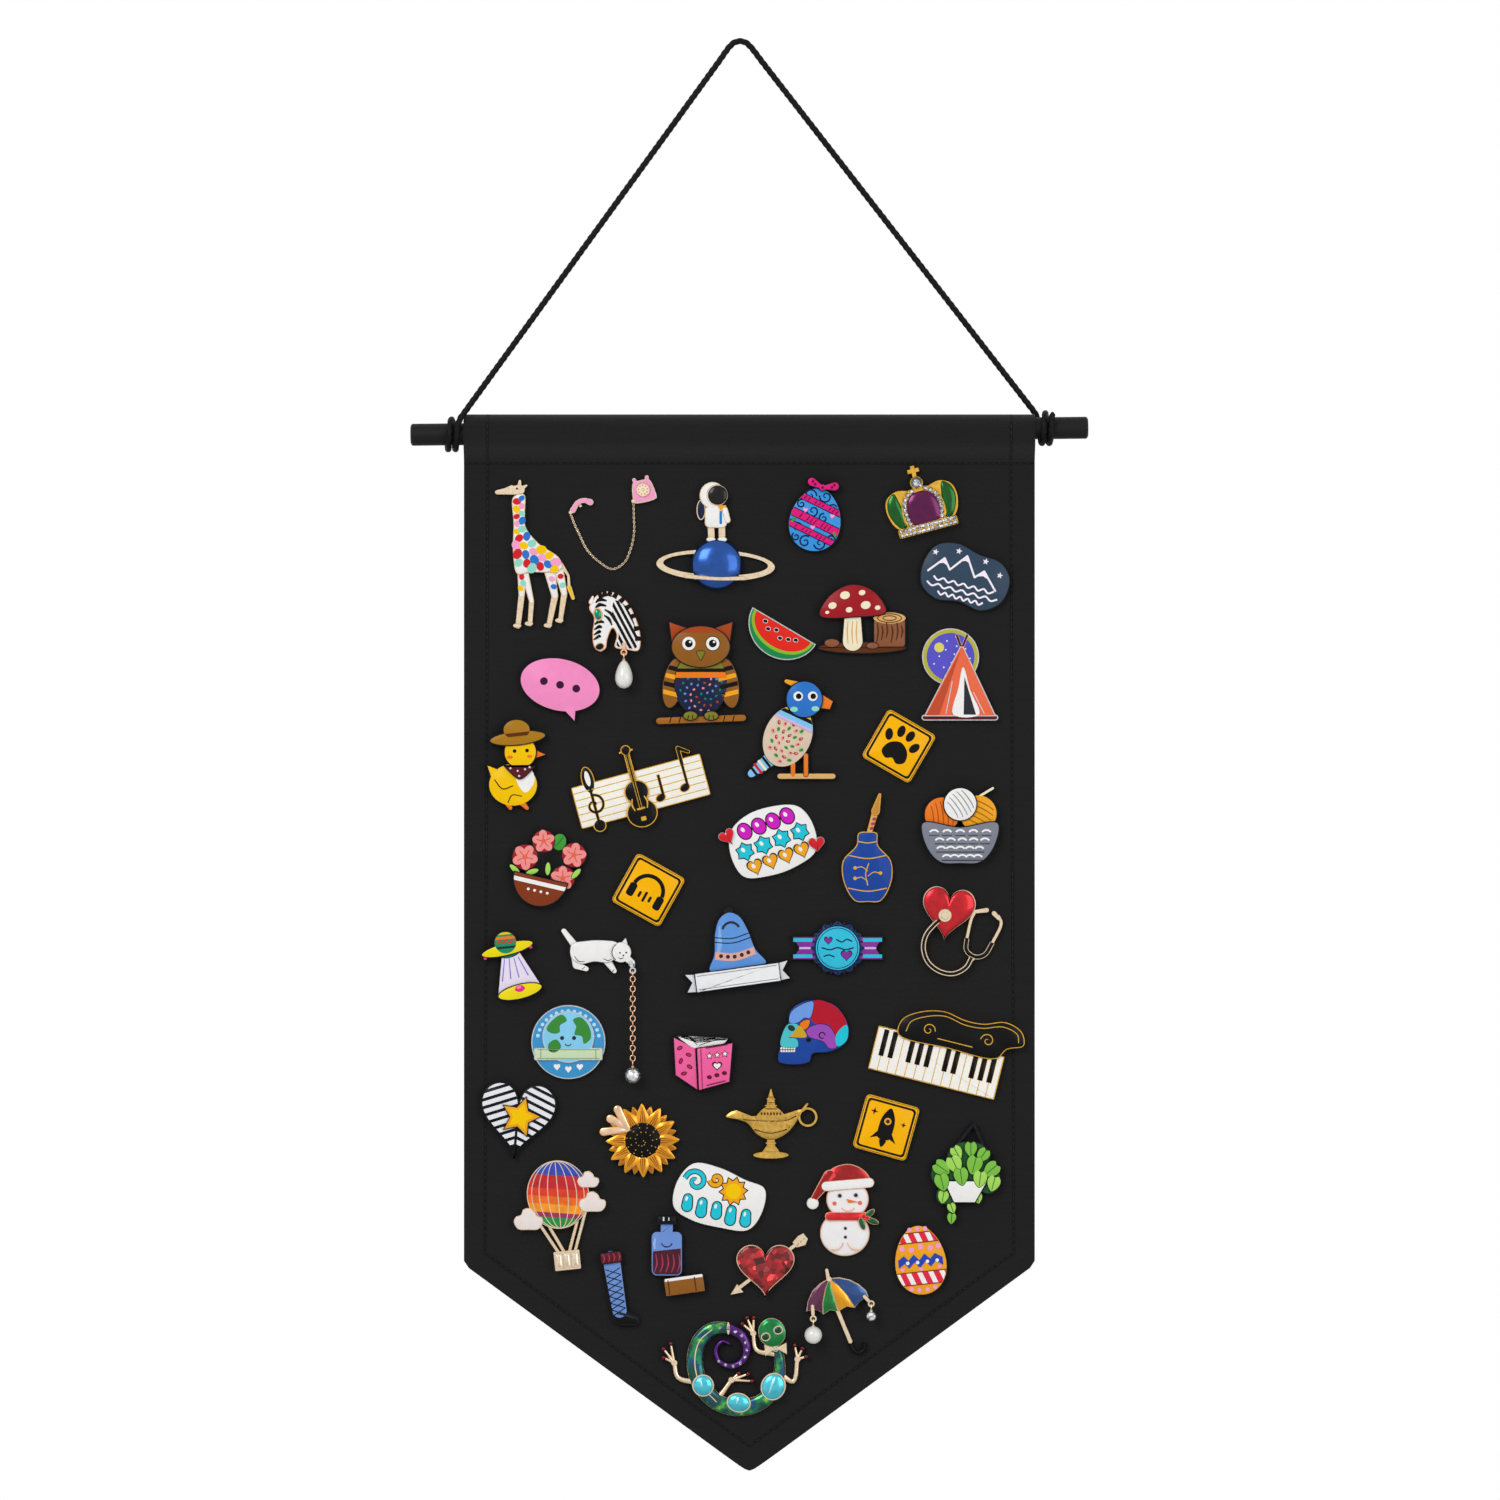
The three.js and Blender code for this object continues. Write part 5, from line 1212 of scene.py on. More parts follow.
# %% Enamel colours
WHITE, CREAM, PALE, SNOW, CHALK = 0xF1F0EE, 0xF3E7C8, 0xD9DBE0, 0xEFEDEE, 0xF4ECF8
BLACK, CHARCOAL, GREY, SLATE = 0x0A0A0B, 0x2C2D33, 0x8A8D97, 0x33465A
RED, DEEP_RED, MAROON, WINE, RUST = 0xD3202B, 0x9E1B23, 0x5A1A22, 0x5E0530, 0xA8451C
PINK, ROSE, HOT_PINK, ROSE_PINK, MAGENTA = 0xF5A0CB, 0xF08C86, 0xE62E86, 0xDC1A7C, 0xD01FC0
ORANGE, CORAL, AMBER, YELLOW = 0xEB7A1F, 0xE8684A, 0xF0A51E, 0xF6C500
TAN, BROWN, UMBER, OLIVE, BARK = 0xDCAE6C, 0x8F5A20, 0x5C2F14, 0x7D7A26, 0x8A5638
GREEN, DARK_LEAF, LEAF, LIME, MINT = 0x1C7A38, 0x20572A, 0x3F9A35, 0xA4DA5E, 0x8FD8C4
TEAL, TURQUOISE, SKY = 0x0F7F72, 0x21C3D6, 0x7FC4EE
BLUE, COBALT, NAVY, PERIWINKLE = 0x2D74C8, 0x1D459C, 0x1B2340, 0x6C90D2
VIOLET, PURPLE, LILAC = 0x5B54C6, 0x84319A, 0xCFB4E4
print("White enamel in linear values:", [round(share, 3) for share in colour(WHITE)])

# %% [markdown]
# The stones are one cut shape, repeated in many sizes. A node group sets a small faceted stone on each
# point and reads its radius from the point.

# %% Stones
STONE_TABLE, STONE_DEPTH = 0.55, 0.55
stone_tree, stone = node_group("stones_on_points", {"Material": MATERIAL})
spots = stone["Geometry"].make("GeometryNodeMeshToPoints", {}, {"Mesh": stone["Geometry"]})
radius = spots.make("GeometryNodeInputNamedAttribute", {"data_type": "FLOAT"}, {"Name": "stone_size"})
cut = spots.make("GeometryNodeMeshCone", {}, {"Vertices": 8, "Radius Top": STONE_TABLE,
    "Radius Bottom": 1.0, "Depth": STONE_DEPTH})
faced = cut.make("GeometryNodeTransform", {}, {"Geometry": cut, "Rotation": (QUARTER, 0, 0)})
set_stones = spots.make("GeometryNodeInstanceOnPoints", {},
    {"Points": spots, "Instance": faced, "Scale": radius})
finish_group(set_stones, stone["Material"])


def stones(pin, places, material=CRYSTAL):
    """Cut stones on a badge, each as x, y, the height of its seat and its radius."""
    points = [pin.place @ Vector((x, y, height)) for x, y, height, r in places]
    radii = [place[-1] * MM for place in places]
    made = grown(pin.node + "_stones", points, [], stone_tree, {"Material": material},
        {"stone_size": radii})
    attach(made, pin.body)


print("Nodes that set a stone:", len(stone_tree.nodes))

# %% [markdown]
# A chain is the same idea along a line: every second link is turned by a quarter. A link is longer than the
# step from one to the next, so neighbours pass through one another.

# %% Chain links
LINK_STRETCH = 0.68
FIRST_ROLL = math.radians(35)
chain_tree, chain = node_group("links_on_line", {"Pitch": LENGTH, "Link width": LENGTH, "Wire": LENGTH,
    "Material": MATERIAL})
line = chain["Geometry"].make("GeometryNodeMeshToCurve", {}, {"Mesh": chain["Geometry"]})
spots = line.make("GeometryNodeCurveToPoints", {"mode": "LENGTH"},
    {"Curve": line, "Length": chain["Pitch"]})
hoop = line.make("GeometryNodeCurvePrimitiveCircle", {}, {"Resolution": 14, "Radius": 1.0})
hoop_size = hoop.make("ShaderNodeCombineXYZ", {},
    {"X": chain["Link width"] * 0.5, "Y": chain["Pitch"] * LINK_STRETCH, "Z": 1.0})
long_hoop = hoop.make("GeometryNodeTransform", {}, {"Geometry": hoop, "Scale": hoop_size})
upright = long_hoop.make("GeometryNodeTransform", {}, {"Geometry": long_hoop, "Rotation": (QUARTER, 0, 0)})
gauge = hoop.make("GeometryNodeCurvePrimitiveCircle", {}, {"Resolution": 6, "Radius": chain["Wire"]})
link = upright.make("GeometryNodeCurveToMesh", {}, {"Curve": upright, "Profile Curve": gauge})
number = spots.make("GeometryNodeInputIndex")
quarters = number.make("ShaderNodeCombineXYZ", {}, {"Z": number * QUARTER + FIRST_ROLL})
roll = quarters.make("FunctionNodeEulerToRotation", {}, {"Euler": quarters})
facing = roll.make("FunctionNodeRotateRotation", {"rotation_space": "LOCAL"},
    {"Rotation": spots.sibling("Rotation"), "Rotate By": roll})
linked = spots.make("GeometryNodeInstanceOnPoints", {},
    {"Points": spots, "Instance": link, "Rotation": facing})
finish_group(linked, chain["Material"])
print("Node groups:", len(bpy.data.node_groups))

# %% [markdown]
# The giraffe has many small enamel spots on a white body, and bare plating stays on its head, feet and
# tail. The plating is bars of changing width, and the spots run in one loop through five colours.

# %% Giraffe
SPOT_TINTS = (RED, YELLOW, BLUE, MINT, PINK)
pin = Badge("giraffe_pin", -82.5, 54, 0, PALE_GOLD, "pale_gold", (-4.5, 4), (4, -3))
pin.bare(bar(-14.6, 24, -6, 25, 0.9, 2), bar(-6.2, 25.5, -5.9, 28.3, 0.9, 0.5),
    bar(-5, 25.6, -3.4, 26.6, 0.8, 0.4), bar(-12.4, 24.6, -9, 25.8, 0.7, 1))
pin.bare(bar(-5.2, -15.5, -6.6, -27.6, 1.2, 1), bar(-1.4, -18, -2, -26.8, 1, 0.9),
    bar(7.6, -16, 5.3, -27.4, 1.3, 1), bar(11.2, -15, 9.7, -25.6, 1.2, 0.9),
    bar(10, -3.6, 12.8, -8.2, 0.7, 0.5), bar(12.8, -8.2, 13.1, -12.8, 0.5, 0.6))
hooves = ((-6.9, -27.4), (-2.4, -26.6), (4.9, -27.3), (9.3, -25.4))
pin.bare(LOW + 0.2, *[oval(x, y, 1.6, 0.9) for x, y in hooves])
pin.fill(YELLOW, bar(13.1, -12.6, 14.6, -16.8, 0.9, 0.7))
pin.fill(WHITE, bar(-5, -6, -5.2, -15.5, 1.9, 1.2), bar(-4, -7, -1.4, -18, 1.5, 1),
    bar(5.5, -6, 7.6, -16, 2.2, 1.3), bar(8.8, -5, 11.2, -15, 2, 1.2))
pin.fill(WHITE, HIGH, blob((-8.4, 22.2), (-4.2, 23.2), (-3.9, 16), (-3.7, 10.8), (1.3, 4.4), (9.4, -1.4),
    (10.4, -5.3), (4.3, -6.9), (-2.2, -6.8), (-6.8, -7.6), (-8.4, -1), (-8.3, 12)))
body_spots = [(-7, 20.4), (-5.2, 21.6), (-5.2, 18.6), (-7.1, 17.4), (-5.1, 15.8), (-7.1, 14.6), (-5, 13),
    (-7, 11.8), (-7.1, 8.8), (-5, 9.8), (-6.2, 6.2), (-3.2, 7), (-7.2, 3.4), (-4.4, 3.4), (-1.2, 4.2),
    (-6.8, 0.2), (-3.6, 0), (-0.6, 1), (2.4, 1.8), (-6.4, -3.2), (-3.2, -3.4), (-0.2, -2.2), (2.8, -1.2),
    (5.4, -0.4), (-1.2, -5.3), (2, -4.6), (5, -3.8), (8, -3), (7.4, -5.6)]
for i, (x, y) in enumerate(body_spots):
    size = 1.3 + 0.45 * (i > 9) + 0.35 * (i % 3 == 0)
    pin.ink(SPOT_TINTS[2 * i % 5], HIGH, oval(x, y, size, size * 0.8, 40 * i))
leg_spots = ((-5.2, -8.6), (-4.6, -11), (-5.6, -13), (6.4, -9.4), (7.2, -12.4), (9.8, -8.4), (10.6, -11.8))
for i, (x, y) in enumerate(leg_spots):
    pin.ink(SPOT_TINTS[3 * i % 5], oval(x, y, 1, 1.2, 20 * i))
pin.ink(BLACK, oval(-7, 25.4, 0.4))
pin.done()
print("Spots on the giraffe:", len(body_spots) + len(leg_spots))

# %% [markdown]
# The telephone and its handset are two badges joined by a fine chain. The chain hangs in a slack loop, so
# the link group is laid along a smooth line through a few points of that loop.

# %% Telephone
pin = Badge("telephone_pin", -41, 28.9, 13, PALE_GOLD, "pink_enamel", body="telephone")
pin.fill(PINK, bar(-2.2, 3, -2.5, 4.3, 0.8), bar(2.2, 3, 2.5, 4.3, 0.8),
    blob((-4.6, -4), (-4, -4.7), (4, -4.7), (4.6, -4), (3.6, 2.8), (2.8, 3.5), (-2.8, 3.5), (-3.6, 2.8)))
pin.fill(CREAM, HIGH, oval(0, -0.2, 2.7))
pin.dots(ROSE, HIGH, 0.33, *[on_oval(0, -0.2, 1.75, 1.75, a) for a in around(9)])
pin.bare(HIGH + 0.2, oval(0, -0.2, 0.7))
pin.bare(oval(-4.6, -3.6, 0.8))
pin.done()
pin = Badge("handset_pin", -65.1, 35.2, 0, PALE_GOLD, "pink_enamel", body="telephone")
pin.bare(oval(-3.8, -2.6, 0.7))
pin.fill(PINK, bar(-2.9, -1.7, -1.2, 1, 1.2, 0.9), bar(1.6, 2.2, 3.8, 1.4, 0.9, 1.3),
    strip(2, (-2.4, -0.6), (-1.2, 1), (0.4, 1.9), (2.4, 2.1)))
pin.done()

CHAIN_ROUTE = ((-68.6, 38.9), (-67.6, 41.8), (-65.5, 46.2), (-62.5, 52.2), (-58, 56.7), (-52.7, 59.6),
    (-48.2, 57.1), (-45.6, 51.5), (-44.4, 45.5), (-44.5, 39.5), (-44.6, 34.7))
CHAIN_PITCH, CHAIN_WIDTH, CHAIN_WIRE = 0.85, 0.75, 0.13
route = smooth_line([on_banner(x, drop, PIN_SEAT + LOW / 2) for x, drop in CHAIN_ROUTE], 12)
chain_values = {"Pitch": CHAIN_PITCH * MM,
    "Link width": CHAIN_WIDTH * MM,
    "Wire": CHAIN_WIRE * MM,
    "Material": PALE_GOLD}
fine_chain = grown("fine_chain", route, edges_along(route), chain_tree, chain_values)
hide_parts("telephone_chain")
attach(fine_chain, "telephone")
print("Fine chain faces:", len(fine_chain.data.polygons))

# %% [markdown]
# The astronaut's planet is a dome of clear enamel over bright metal, so it is a cushion in a glaze. Its
# ring is an oval hoop that passes behind the dome, with a bar across the front.

# %% Astronaut
pin = Badge("astronaut_pin", -12.6, 57.8, 0, PALE_GOLD, "blue_enamel", (0, 0), (-0.5, 18))
pin.hoop(oval(-0.4, -0.4, 22.8, 6, -2, 120), oval(-0.4, 0, 20.2, 4.2, -2, 120), 0.1, LOW)
pin.pillow(0x1A4C9A, oval(0, 0, 9.7), LOW, 3.4)
pin.bare(5.0, strip([1.6, 1.3, 1.6], (-12, -4.6), (0, -5.6), (11, -5.4)))
pin.fill(NAVY, oval(-6, 21, 1.8, 4))
pin.bare(bar(-2.2, 15, -2, 9, 1.3), bar(2, 15, 2.1, 9, 1.3))
pin.fill(WHITE, HIGH, oval(-2.2, 9.6, 1.8, 1), oval(2.2, 9.6, 1.8, 1), box(-0.3, 18.3, 8.6, 8.6, 2))
pin.ink(BLUE, HIGH, box(1.6, 18, 1, 5))
pin.fill(WHITE, HIGH, oval(-1.6, 26.6, 5, 5.2))
pin.ink(AMBER, HIGH, polygon((0.2, 22.6), (3.6, 22.8), (4, 21), (1.4, 20.6)))
pin.bare(HIGH + 0.3, oval(0.2, 26.6, 4.1))
pin.pillow(BLACK, oval(0.4, 26.6, 3.8), HIGH + 0.3, 0.8)
pin.fill(WHITE, HIGH + 0.2, bar(3.2, 21, 4.2, 17, 1.2))
pin.done()
print("Badges so far:", len(made_badges))

# %% [markdown]
# The painted egg is soft enamel with fine walls: curls on a blue shell, and three slanting ribbons with
# strokes on them. The ribbons are cut from the shell's own outline, so they end where it ends.

# %% Painted egg
RIBBON_LEAN = -17
pin = Badge("painted_egg_pin", 25.7, 38.8, -9, BLACK_NICKEL, "blue_enamel")
shell = egg(0, -1.8, 20.4, 25)
pin.fill(0x3A96E0, shell)
inside_shell = inset(shell, 0.5)
for x, y, r, start in ((-3.4, 7.2, 2.1, 0), (2.6, 7.6, 2.1, 180), (-6.2, 3.4, 1.5, 90), (5.8, 3, 1.8, 40),
        (-1.4, 1.4, 2, 200), (3, -0.8, 1.6, 90), (-6.6, -5.6, 1.6, 0), (6.8, -4.4, 1.5, 120),
        (-2.6, -10.8, 2.1, 60), (3.2, -10.6, 2.1, 200), (7, -8.4, 1.4, 0), (-6.4, -9.4, 1.4, 130)):
    pin.ink(0x0B2250, curl(x, y, r * 1.2, start, 0.6))
for low, high in ((3.4, 5.4), (-3.9, -1.1), (-8, -6)):
    pin.bands(inside_shell, RIBBON_LEAN, (BLACK, low - 0.35, high + 0.35), (ROSE_PINK, low, high))
    for i in range(12):
        foot, top = turned([(-8.4 + 1.5 * i, low + 0.3), (-7.9 + 1.5 * i, high - 0.3)], 0, 0, RIBBON_LEAN)
        if i % 4 < 3 and abs(foot.x) < 7.6:
            pin.ink(WINE, strip([0.45, 0.3], foot, top))
pin.ink(PINK, *[heart(x, y, 2, 1.9) for x, y in ((-4.4, 1.2), (6.2, 0.4), (-0.6, -5))])
pin.ink(LEAF, oval(-8.3, -3, 1.2, 0.5, 60), oval(8.2, -6.4, 1.2, 0.5, -60))
pin.fill(ROSE_PINK, HIGH, bar(0.8, 10.8, -3.6, 12.4, 0.9, 1.9), bar(0.8, 10.8, 5.4, 12, 0.9, 1.9),
    oval(0.8, 10.8, 1.5))
pin.dots(WINE, HIGH, 0.5, (-3.2, 12.6), (-2.2, 11.6), (4.4, 11.4), (5.2, 12.4), (0.8, 10.8))
pin.done()
print("Faces of the painted egg:", len(made_badges[-1].data.polygons))

# %% [markdown]
# The crown is cast gold with glazed lobes, and rows of stones sit in its arches and base. Both halves are
# one drawing that is mirrored. The slate plaque carries a free pattern of hills, stars and waves in white
# lines.

# %% Crown and slate plaque
pin = Badge("crown_pin", 66.5, 34.5, 15, RICH_GOLD, "rich_gold")
pin.bare(blob((-10.6, -7.8), (-14, -1), (-13, 4.8), (-8.6, 7.2), (-3, 6.2), (0, 6.8), (3, 6.2), (8.6, 7.2),
    (13, 4.8), (14, -1), (10.6, -7.8)))
lobe = [(-10, -7.4), (-13.4, -1), (-12.5, 4.4), (-9.6, 6.5), (-8.4, 3), (-7.8, -7.2)]
for side in (-1, 1):
    pin.pillow(0x045414, blob(*mirrored(lobe, side)), LOW, 0.9)
pin.bare(HIGH, blob((-7.2, -7.4), (-8, 1), (-4.4, 6), (0, 6.8), (4.4, 6), (8, 1), (7.2, -7.4)))
pin.pillow(0x540040, blob((-5.4, -7), (-6, 0.6), (-3.5, 4.3), (0, 5), (3.5, 4.3), (6, 0.6), (5.4, -7)),
    HIGH, 1.1)
pin.bare(TOP, box(0, -9.2, 23.4, 3.6, 0.8))
pin.bare(TOP + 0.1, oval(0, 8.4, 2.5))
pin.bare(box(0, 12.6, 1.7, 5.2), box(0, 13.2, 4.6, 1.7))
crown_stones = [(0, 8.4, TOP + 0.5, 2.3)]
crown_stones += [(1.76 * i, y, TOP + 0.2, 0.9) for i in range(-6, 7) for y in (-8.3, -10.1)]
arch = [(6.3, -6.4), (6.7, -4.6), (6.95, -2.7), (7, -0.8), (6.7, 1.1), (5.9, 2.9), (4.5, 4.5), (2.6, 5.6)]
for side in (-1, 1):
    crown_stones += [(x, y, HIGH + 0.25, 1.0) for x, y in mirrored(arch, side)]
stones(pin, crown_stones)
pin.done()

pin = Badge("slate_plaque_pin", 83.1, 63.3, -15, BLACK_NICKEL, "slate_enamel")
pin.fill(SLATE, blob((-14, 10), (-6, 12.6), (3, 10.6), (12, 9.6), (17, 4), (16, -5.4), (9, -10.6),
    (0, -9.4), (-9, -10.6), (-16, -6.4), (-17.4, 2)))
hills = [(-14.6, -0.6), (-9.6, 5.6), (-6.6, 1.8), (-1.4, 8.6), (3.4, 1.4), (6.4, 4.6), (12.4, -1.6)]
pin.ink(CHALK, *[bar(*start, *end, 0.38) for start, end in zip(hills, hills[1:])])
for x, y in hills[1::2]:
    pin.ink(CHALK, polygon((x, y), (x - 1.8, y - 2.5), (x, y - 1.9), (x + 1.8, y - 2.5)))
pin.ink(CHALK, *[star(x, y, 5, 1.3, 0.55) for x, y in ((-13.6, 7), (-5, 9.6), (6, 8.4), (12.6, 4.6))])
for y, reach in ((-2.6, 12), (-5.2, 14), (-7.8, 9)):
    pin.ink(CHALK, strip(0.7, *[(reach * (i / 6 - 1), y + 0.6 * (-1) ** i) for i in range(13)]))
pin.done()
print("Stones on the crown:", len(crown_stones))

# %% [markdown]
# The zebra's stripes are tapering strips across its neck and face. The mane is a row of short dark strokes
# that stand square to the neck's line, and an oval stone is its eye.

# %% Zebra
pin = Badge("zebra_pin", -52.1, 79.8, 0, ROSE_GOLD, "white_enamel")
pin.fill(WHITE, TOP, blob((-9.6, 5), (-8.5, 8), (-6.2, 10.4), (-2.9, 11.7), (0.9, 10.8), (5, 7.6), (8, 2.3),
    (10.2, -5.6), (9.4, -11.2), (4.8, -10.9), (0.3, -9.9), (1, -5.2), (-0.5, -2.6), (-2.5, -6.7),
    (-3.2, -10.4), (-5.5, -11.6), (-7.7, -9.7), (-8.3, -4.4), (-7.8, 1.6)))
crest = smooth_line(polygon((-5.2, 9.9), (-2.7, 10.8), (0.5, 10), (4.2, 7), (7.2, 2), (9.2, -5),
    (8.9, -9.6)), 3)
for point, after in zip(crest[:-1:2], crest[1::2]):
    along = (after - point).normalized()
    outward = Vector((-along.y, along.x)) * 1.1
    pin.ink(BLACK, TOP, strip([2, 1.6], point - outward, point + outward))
neck = blob((0.2, 8), (4, 6.4), (6.8, 1.8), (8.8, -5.2), (8.4, -10.3), (4.8, -10.2), (1.1, -9.3), (1.8, -5),
    (0.2, -1.2), (-0.6, 3))
pin.bands(neck, 118, *[(BLACK, -7.2 + 1.95 * i, -6.1 + 1.95 * i) for i in range(8)], height=TOP)
for y, reach in ((7.8, 4.4), (5.8, 4.2), (-0.6, 3.4), (-2.6, 2.6), (-4.6, 2), (-6.4, 1.6)):
    pin.ink(BLACK, TOP, strip([0.5, 1.5, 0.6], (-7.5 + 0.05 * y, y - 0.6), (-5.6, y + 0.6),
        (-7.2 + reach, y + 0.2)))
pin.ink(BLACK, TOP, strip([0.5, 1.2, 0.5], (-3.6, 4.6), (-1.2, 3), (0.4, 0)),
    strip([0.5, 1.2, 0.5], (-3.8, 2.4), (-2, 1), (-0.8, -1.4)))
pin.fill(BLACK, TOP + 0.1, oval(-5.5, -9.7, 1.9, 1.5, 20))
pin.fill(WHITE, TOP, bar(-8.9, 7.4, -8.2, 9.4, 0.9, 0.5))
pin.bare(TOP + 0.2, oval(-6.2, 2.7, 1.8, 2.6, 10))
pin.pillow(0x0B7F62, oval(-6.2, 2.7, 1.4, 2.2, 10), TOP + 0.2, 0.7)
pin.eyelet(3.8, -11.9, 3.8, -8.6)
pin.done()
print("Badges so far:", len(made_badges))

# %% [markdown]
# The owl and the next badges are hard enamel with dark walls. Small flecks on the owl's chest are spread by
# the turn of sunflower seeds, so they fill its oval evenly and no table of places is needed.

# %% Owl
pin = Badge("owl_pin", -18.7, 99.5, 0, BLACK_NICKEL, "brown_enamel")
pin.fill(0xA4641E, bar(-16, -18.6, 16.2, -17.4, 1.6))
pin.ink(BLACK, *[strip(0.4, (x, -19.4), (x + 0.7, -16.6)) for x in (-12, -8.4, 8.6, 12.2)])
pin.fill(RUST, polygon((-11.4, 11), (-12.6, 20), (-4, 17)), polygon((4, 17), (12.6, 20), (11.4, 11)))
for side in (-1, 1):
    wing = oval(side * 10.6, -4, 4.2, 10, side * 10)
    pin.fill(BROWN, wing)
    feathers = zip((AMBER, BLACK) * 2, (-11.4, -8.2, -5, -1.8))
    pin.bands(inset(wing, 0.6), side * 14, *[(tint, low, low + 1.7) for tint, low in feathers])
chest = oval(0, -4, 10.5, 13)
pin.fill(NAVY, chest)
for i, (x, y) in enumerate(seeds(46, 0, -6, 8.6, 9.4)):
    pin.ink((ROSE, PERIWINKLE, TEAL, RUST)[i % 4], oval(x, y, 0.55, 0.4, 50 * i))
pin.bands(inset(chest, 0.5), 0, (OLIVE, 1.6, 4), (BLACK, 0.2, 1.6), (ORANGE, -2, 0.2))
head = oval(0, 10, 11.5, 8.2)
pin.fill(BROWN, HIGH, head)
pin.bands(inset(head, 0.5), 0, (RUST, 15.4, 18), height=HIGH)
for side in (-1, 1):
    pin.fill(WHITE, HIGH, oval(side * 4.6, 11.2, 3))
    pin.ink(BLACK, HIGH, oval(side * 4.6, 11.2, 1.5))
    pin.ink(WHITE, HIGH, oval(side * 4.6 + 0.5, 11.8, 0.45))
    pin.fill(OLIVE, HIGH, oval(side * 4, -16.6, 3, 2))
    pin.ink(BLACK, HIGH, *[strip(0.35, (side * 4 + x, -18), (side * 4 + x * 0.7, -16.4)) for x in (-1, 1)])
pin.fill(OLIVE, HIGH, blob((-1.8, 8.2), (1.8, 8.2), (0.9, 5.6), (0, 4.4), (-0.9, 5.6)))
pin.done()
print("Faces of the owl:", len(made_badges[-1].data.polygons))

# %% [markdown]
# The watermelon slice is three half discs in one another, with seeds that have pale rims. The toadstool
# stands on a strip of ground beside a stump, and grain and gills are strips that swell in the middle.

# %% Watermelon and toadstool
pin = Badge("watermelon_pin", 13.5, 81.4, -30.5, SILVER, "red_enamel", (0, -5))
pin.fill(0x1C8A4C, half_disc(0, 0, 14.2, 13))
pin.ink(0x8EB62E, half_disc(0, -0.5, 13.1, 9.8))
pin.ink(0xE02A20, half_disc(0, -0.5, 12.1, 8.6))
for x, y in ((-7.2, -2.2), (-4.8, -4.2), (-1.8, -3), (1, -5), (4, -3.8), (6.6, -2.6)):
    pin.ink(PALE, oval(x, y, 1.05, 0.85, 20))
    pin.ink(BLACK, oval(x, y, 0.85, 0.65, 20))
pin.done()

pin = Badge("toadstool_pin", 43.4, 78.7, 0, BLACK_NICKEL, "red_enamel", (-3, 4))
pin.fill(UMBER, oval(0, -11.2, 17.4, 2.4))
pin.fill(BARK, box(10.6, -5.4, 12.6, 11.4, 1.6))
for i, x in enumerate((5.8, 7.6, 9.4, 11.4, 13.4, 15.2)):
    pin.ink(UMBER, strip([0.5, 0.8, 0.4], (x, -1.6 - i % 2), (x + 0.4, -5), (x - 0.2, -9.4 + i % 3)))
pin.fill(TAN, oval(10.6, 0.2, 6.6, 2.6))
for rx, ry in ((6.6 * 0.72, 2.6 * 0.72), (6.6 * 0.42, 2.6 * 0.42)):
    pin.frame(UMBER, LOW, oval(10.6, 0.2, rx, ry, 0, 48), oval(10.6, 0.2, rx - 0.4, ry - 0.4, 0, 48))
pin.fill(CREAM, bar(-3.6, 2, -3.6, -8.6, 3.4, 4.2))
pin.ink(TAN, *[strip([0.3, 0.6, 0.3], (x, -1), (x - 0.3, -5), (x, -9.6)) for x in (-5.4, -3.6, -1.9)])
pin.fill(BARK, oval(-11.6, -9.4, 3.2, 1.9), oval(4, -10.4, 2.6, 1.5))
pin.fill(DEEP_RED, HIGH, blob((-16.5, 1), (-13, 8.6), (-4, 13.4), (5, 10.4), (9.4, 2.4), (-3, 0.4)))
for x, y, r in ((-11.4, 5, 1.6), (-6.6, 9, 1.9), (-5, 3.4, 1.3), (0, 10, 1.3), (1.4, 5.2, 1.9),
        (6, 4.2, 1.1), (-13.4, 2.4, 0.8)):
    pin.ink(CREAM, HIGH, oval(x, y, r, r * 0.8, 12))
pin.done()
print("Badges so far:", len(made_badges))

# %% [markdown]
# The tent stands before a night sky, whose stars are spread by the seed turn. The speech bubble is one oval
# with a pointed foot. A print over their joint hides the wall, so they read as one pool.

# %% Tent and speech bubble
pin = Badge("night_tent_pin", 81.1, 100.4, 0, SILVER, "orange_enamel", (0, -3))
pin.fill(0xB7B23A, oval(-3.6, 7, 11))
pin.ink(VIOLET, oval(-3.6, 7, 9.2))
pin.dots(WHITE, LOW, 0.32, *seeds(14, -3.6, 8, 7.8))
pin.ink(0xD8D36A, oval(-8, 10.6, 1.9))
pin.fill(MAROON, bar(0.7, 10, -1.2, 15.2, 0.7), bar(0.7, 10, 2.8, 15.2, 0.7),
    bar(-13.6, -16.4, 13.6, -16.4, 1.2))
pin.fill(0xEB6B48, HIGH, polygon((-14, -16), (14, -16), (1.4, 11), (0, 11)))
pin.ink(0xC24E30, HIGH, polygon((-12.9, -15.5), (-8, -15.5), (0.3, 9.6)))
pin.ink(WHITE, HIGH, blob((-2.6, -15.2), (7.4, -15.2), (4, -6), (1.2, 3), (-0.6, -5)))
pin.ink(CHARCOAL, HIGH, polygon((1.4, -15.3), (6.2, -15.3), (1.7, -0.6)))
pin.wall(HIGH, *[strip(0.35, (x, -15), (x * 0.55, top)) for x, top in ((9.4, -6.6), (-5.4, -2.4))])
pin.done()

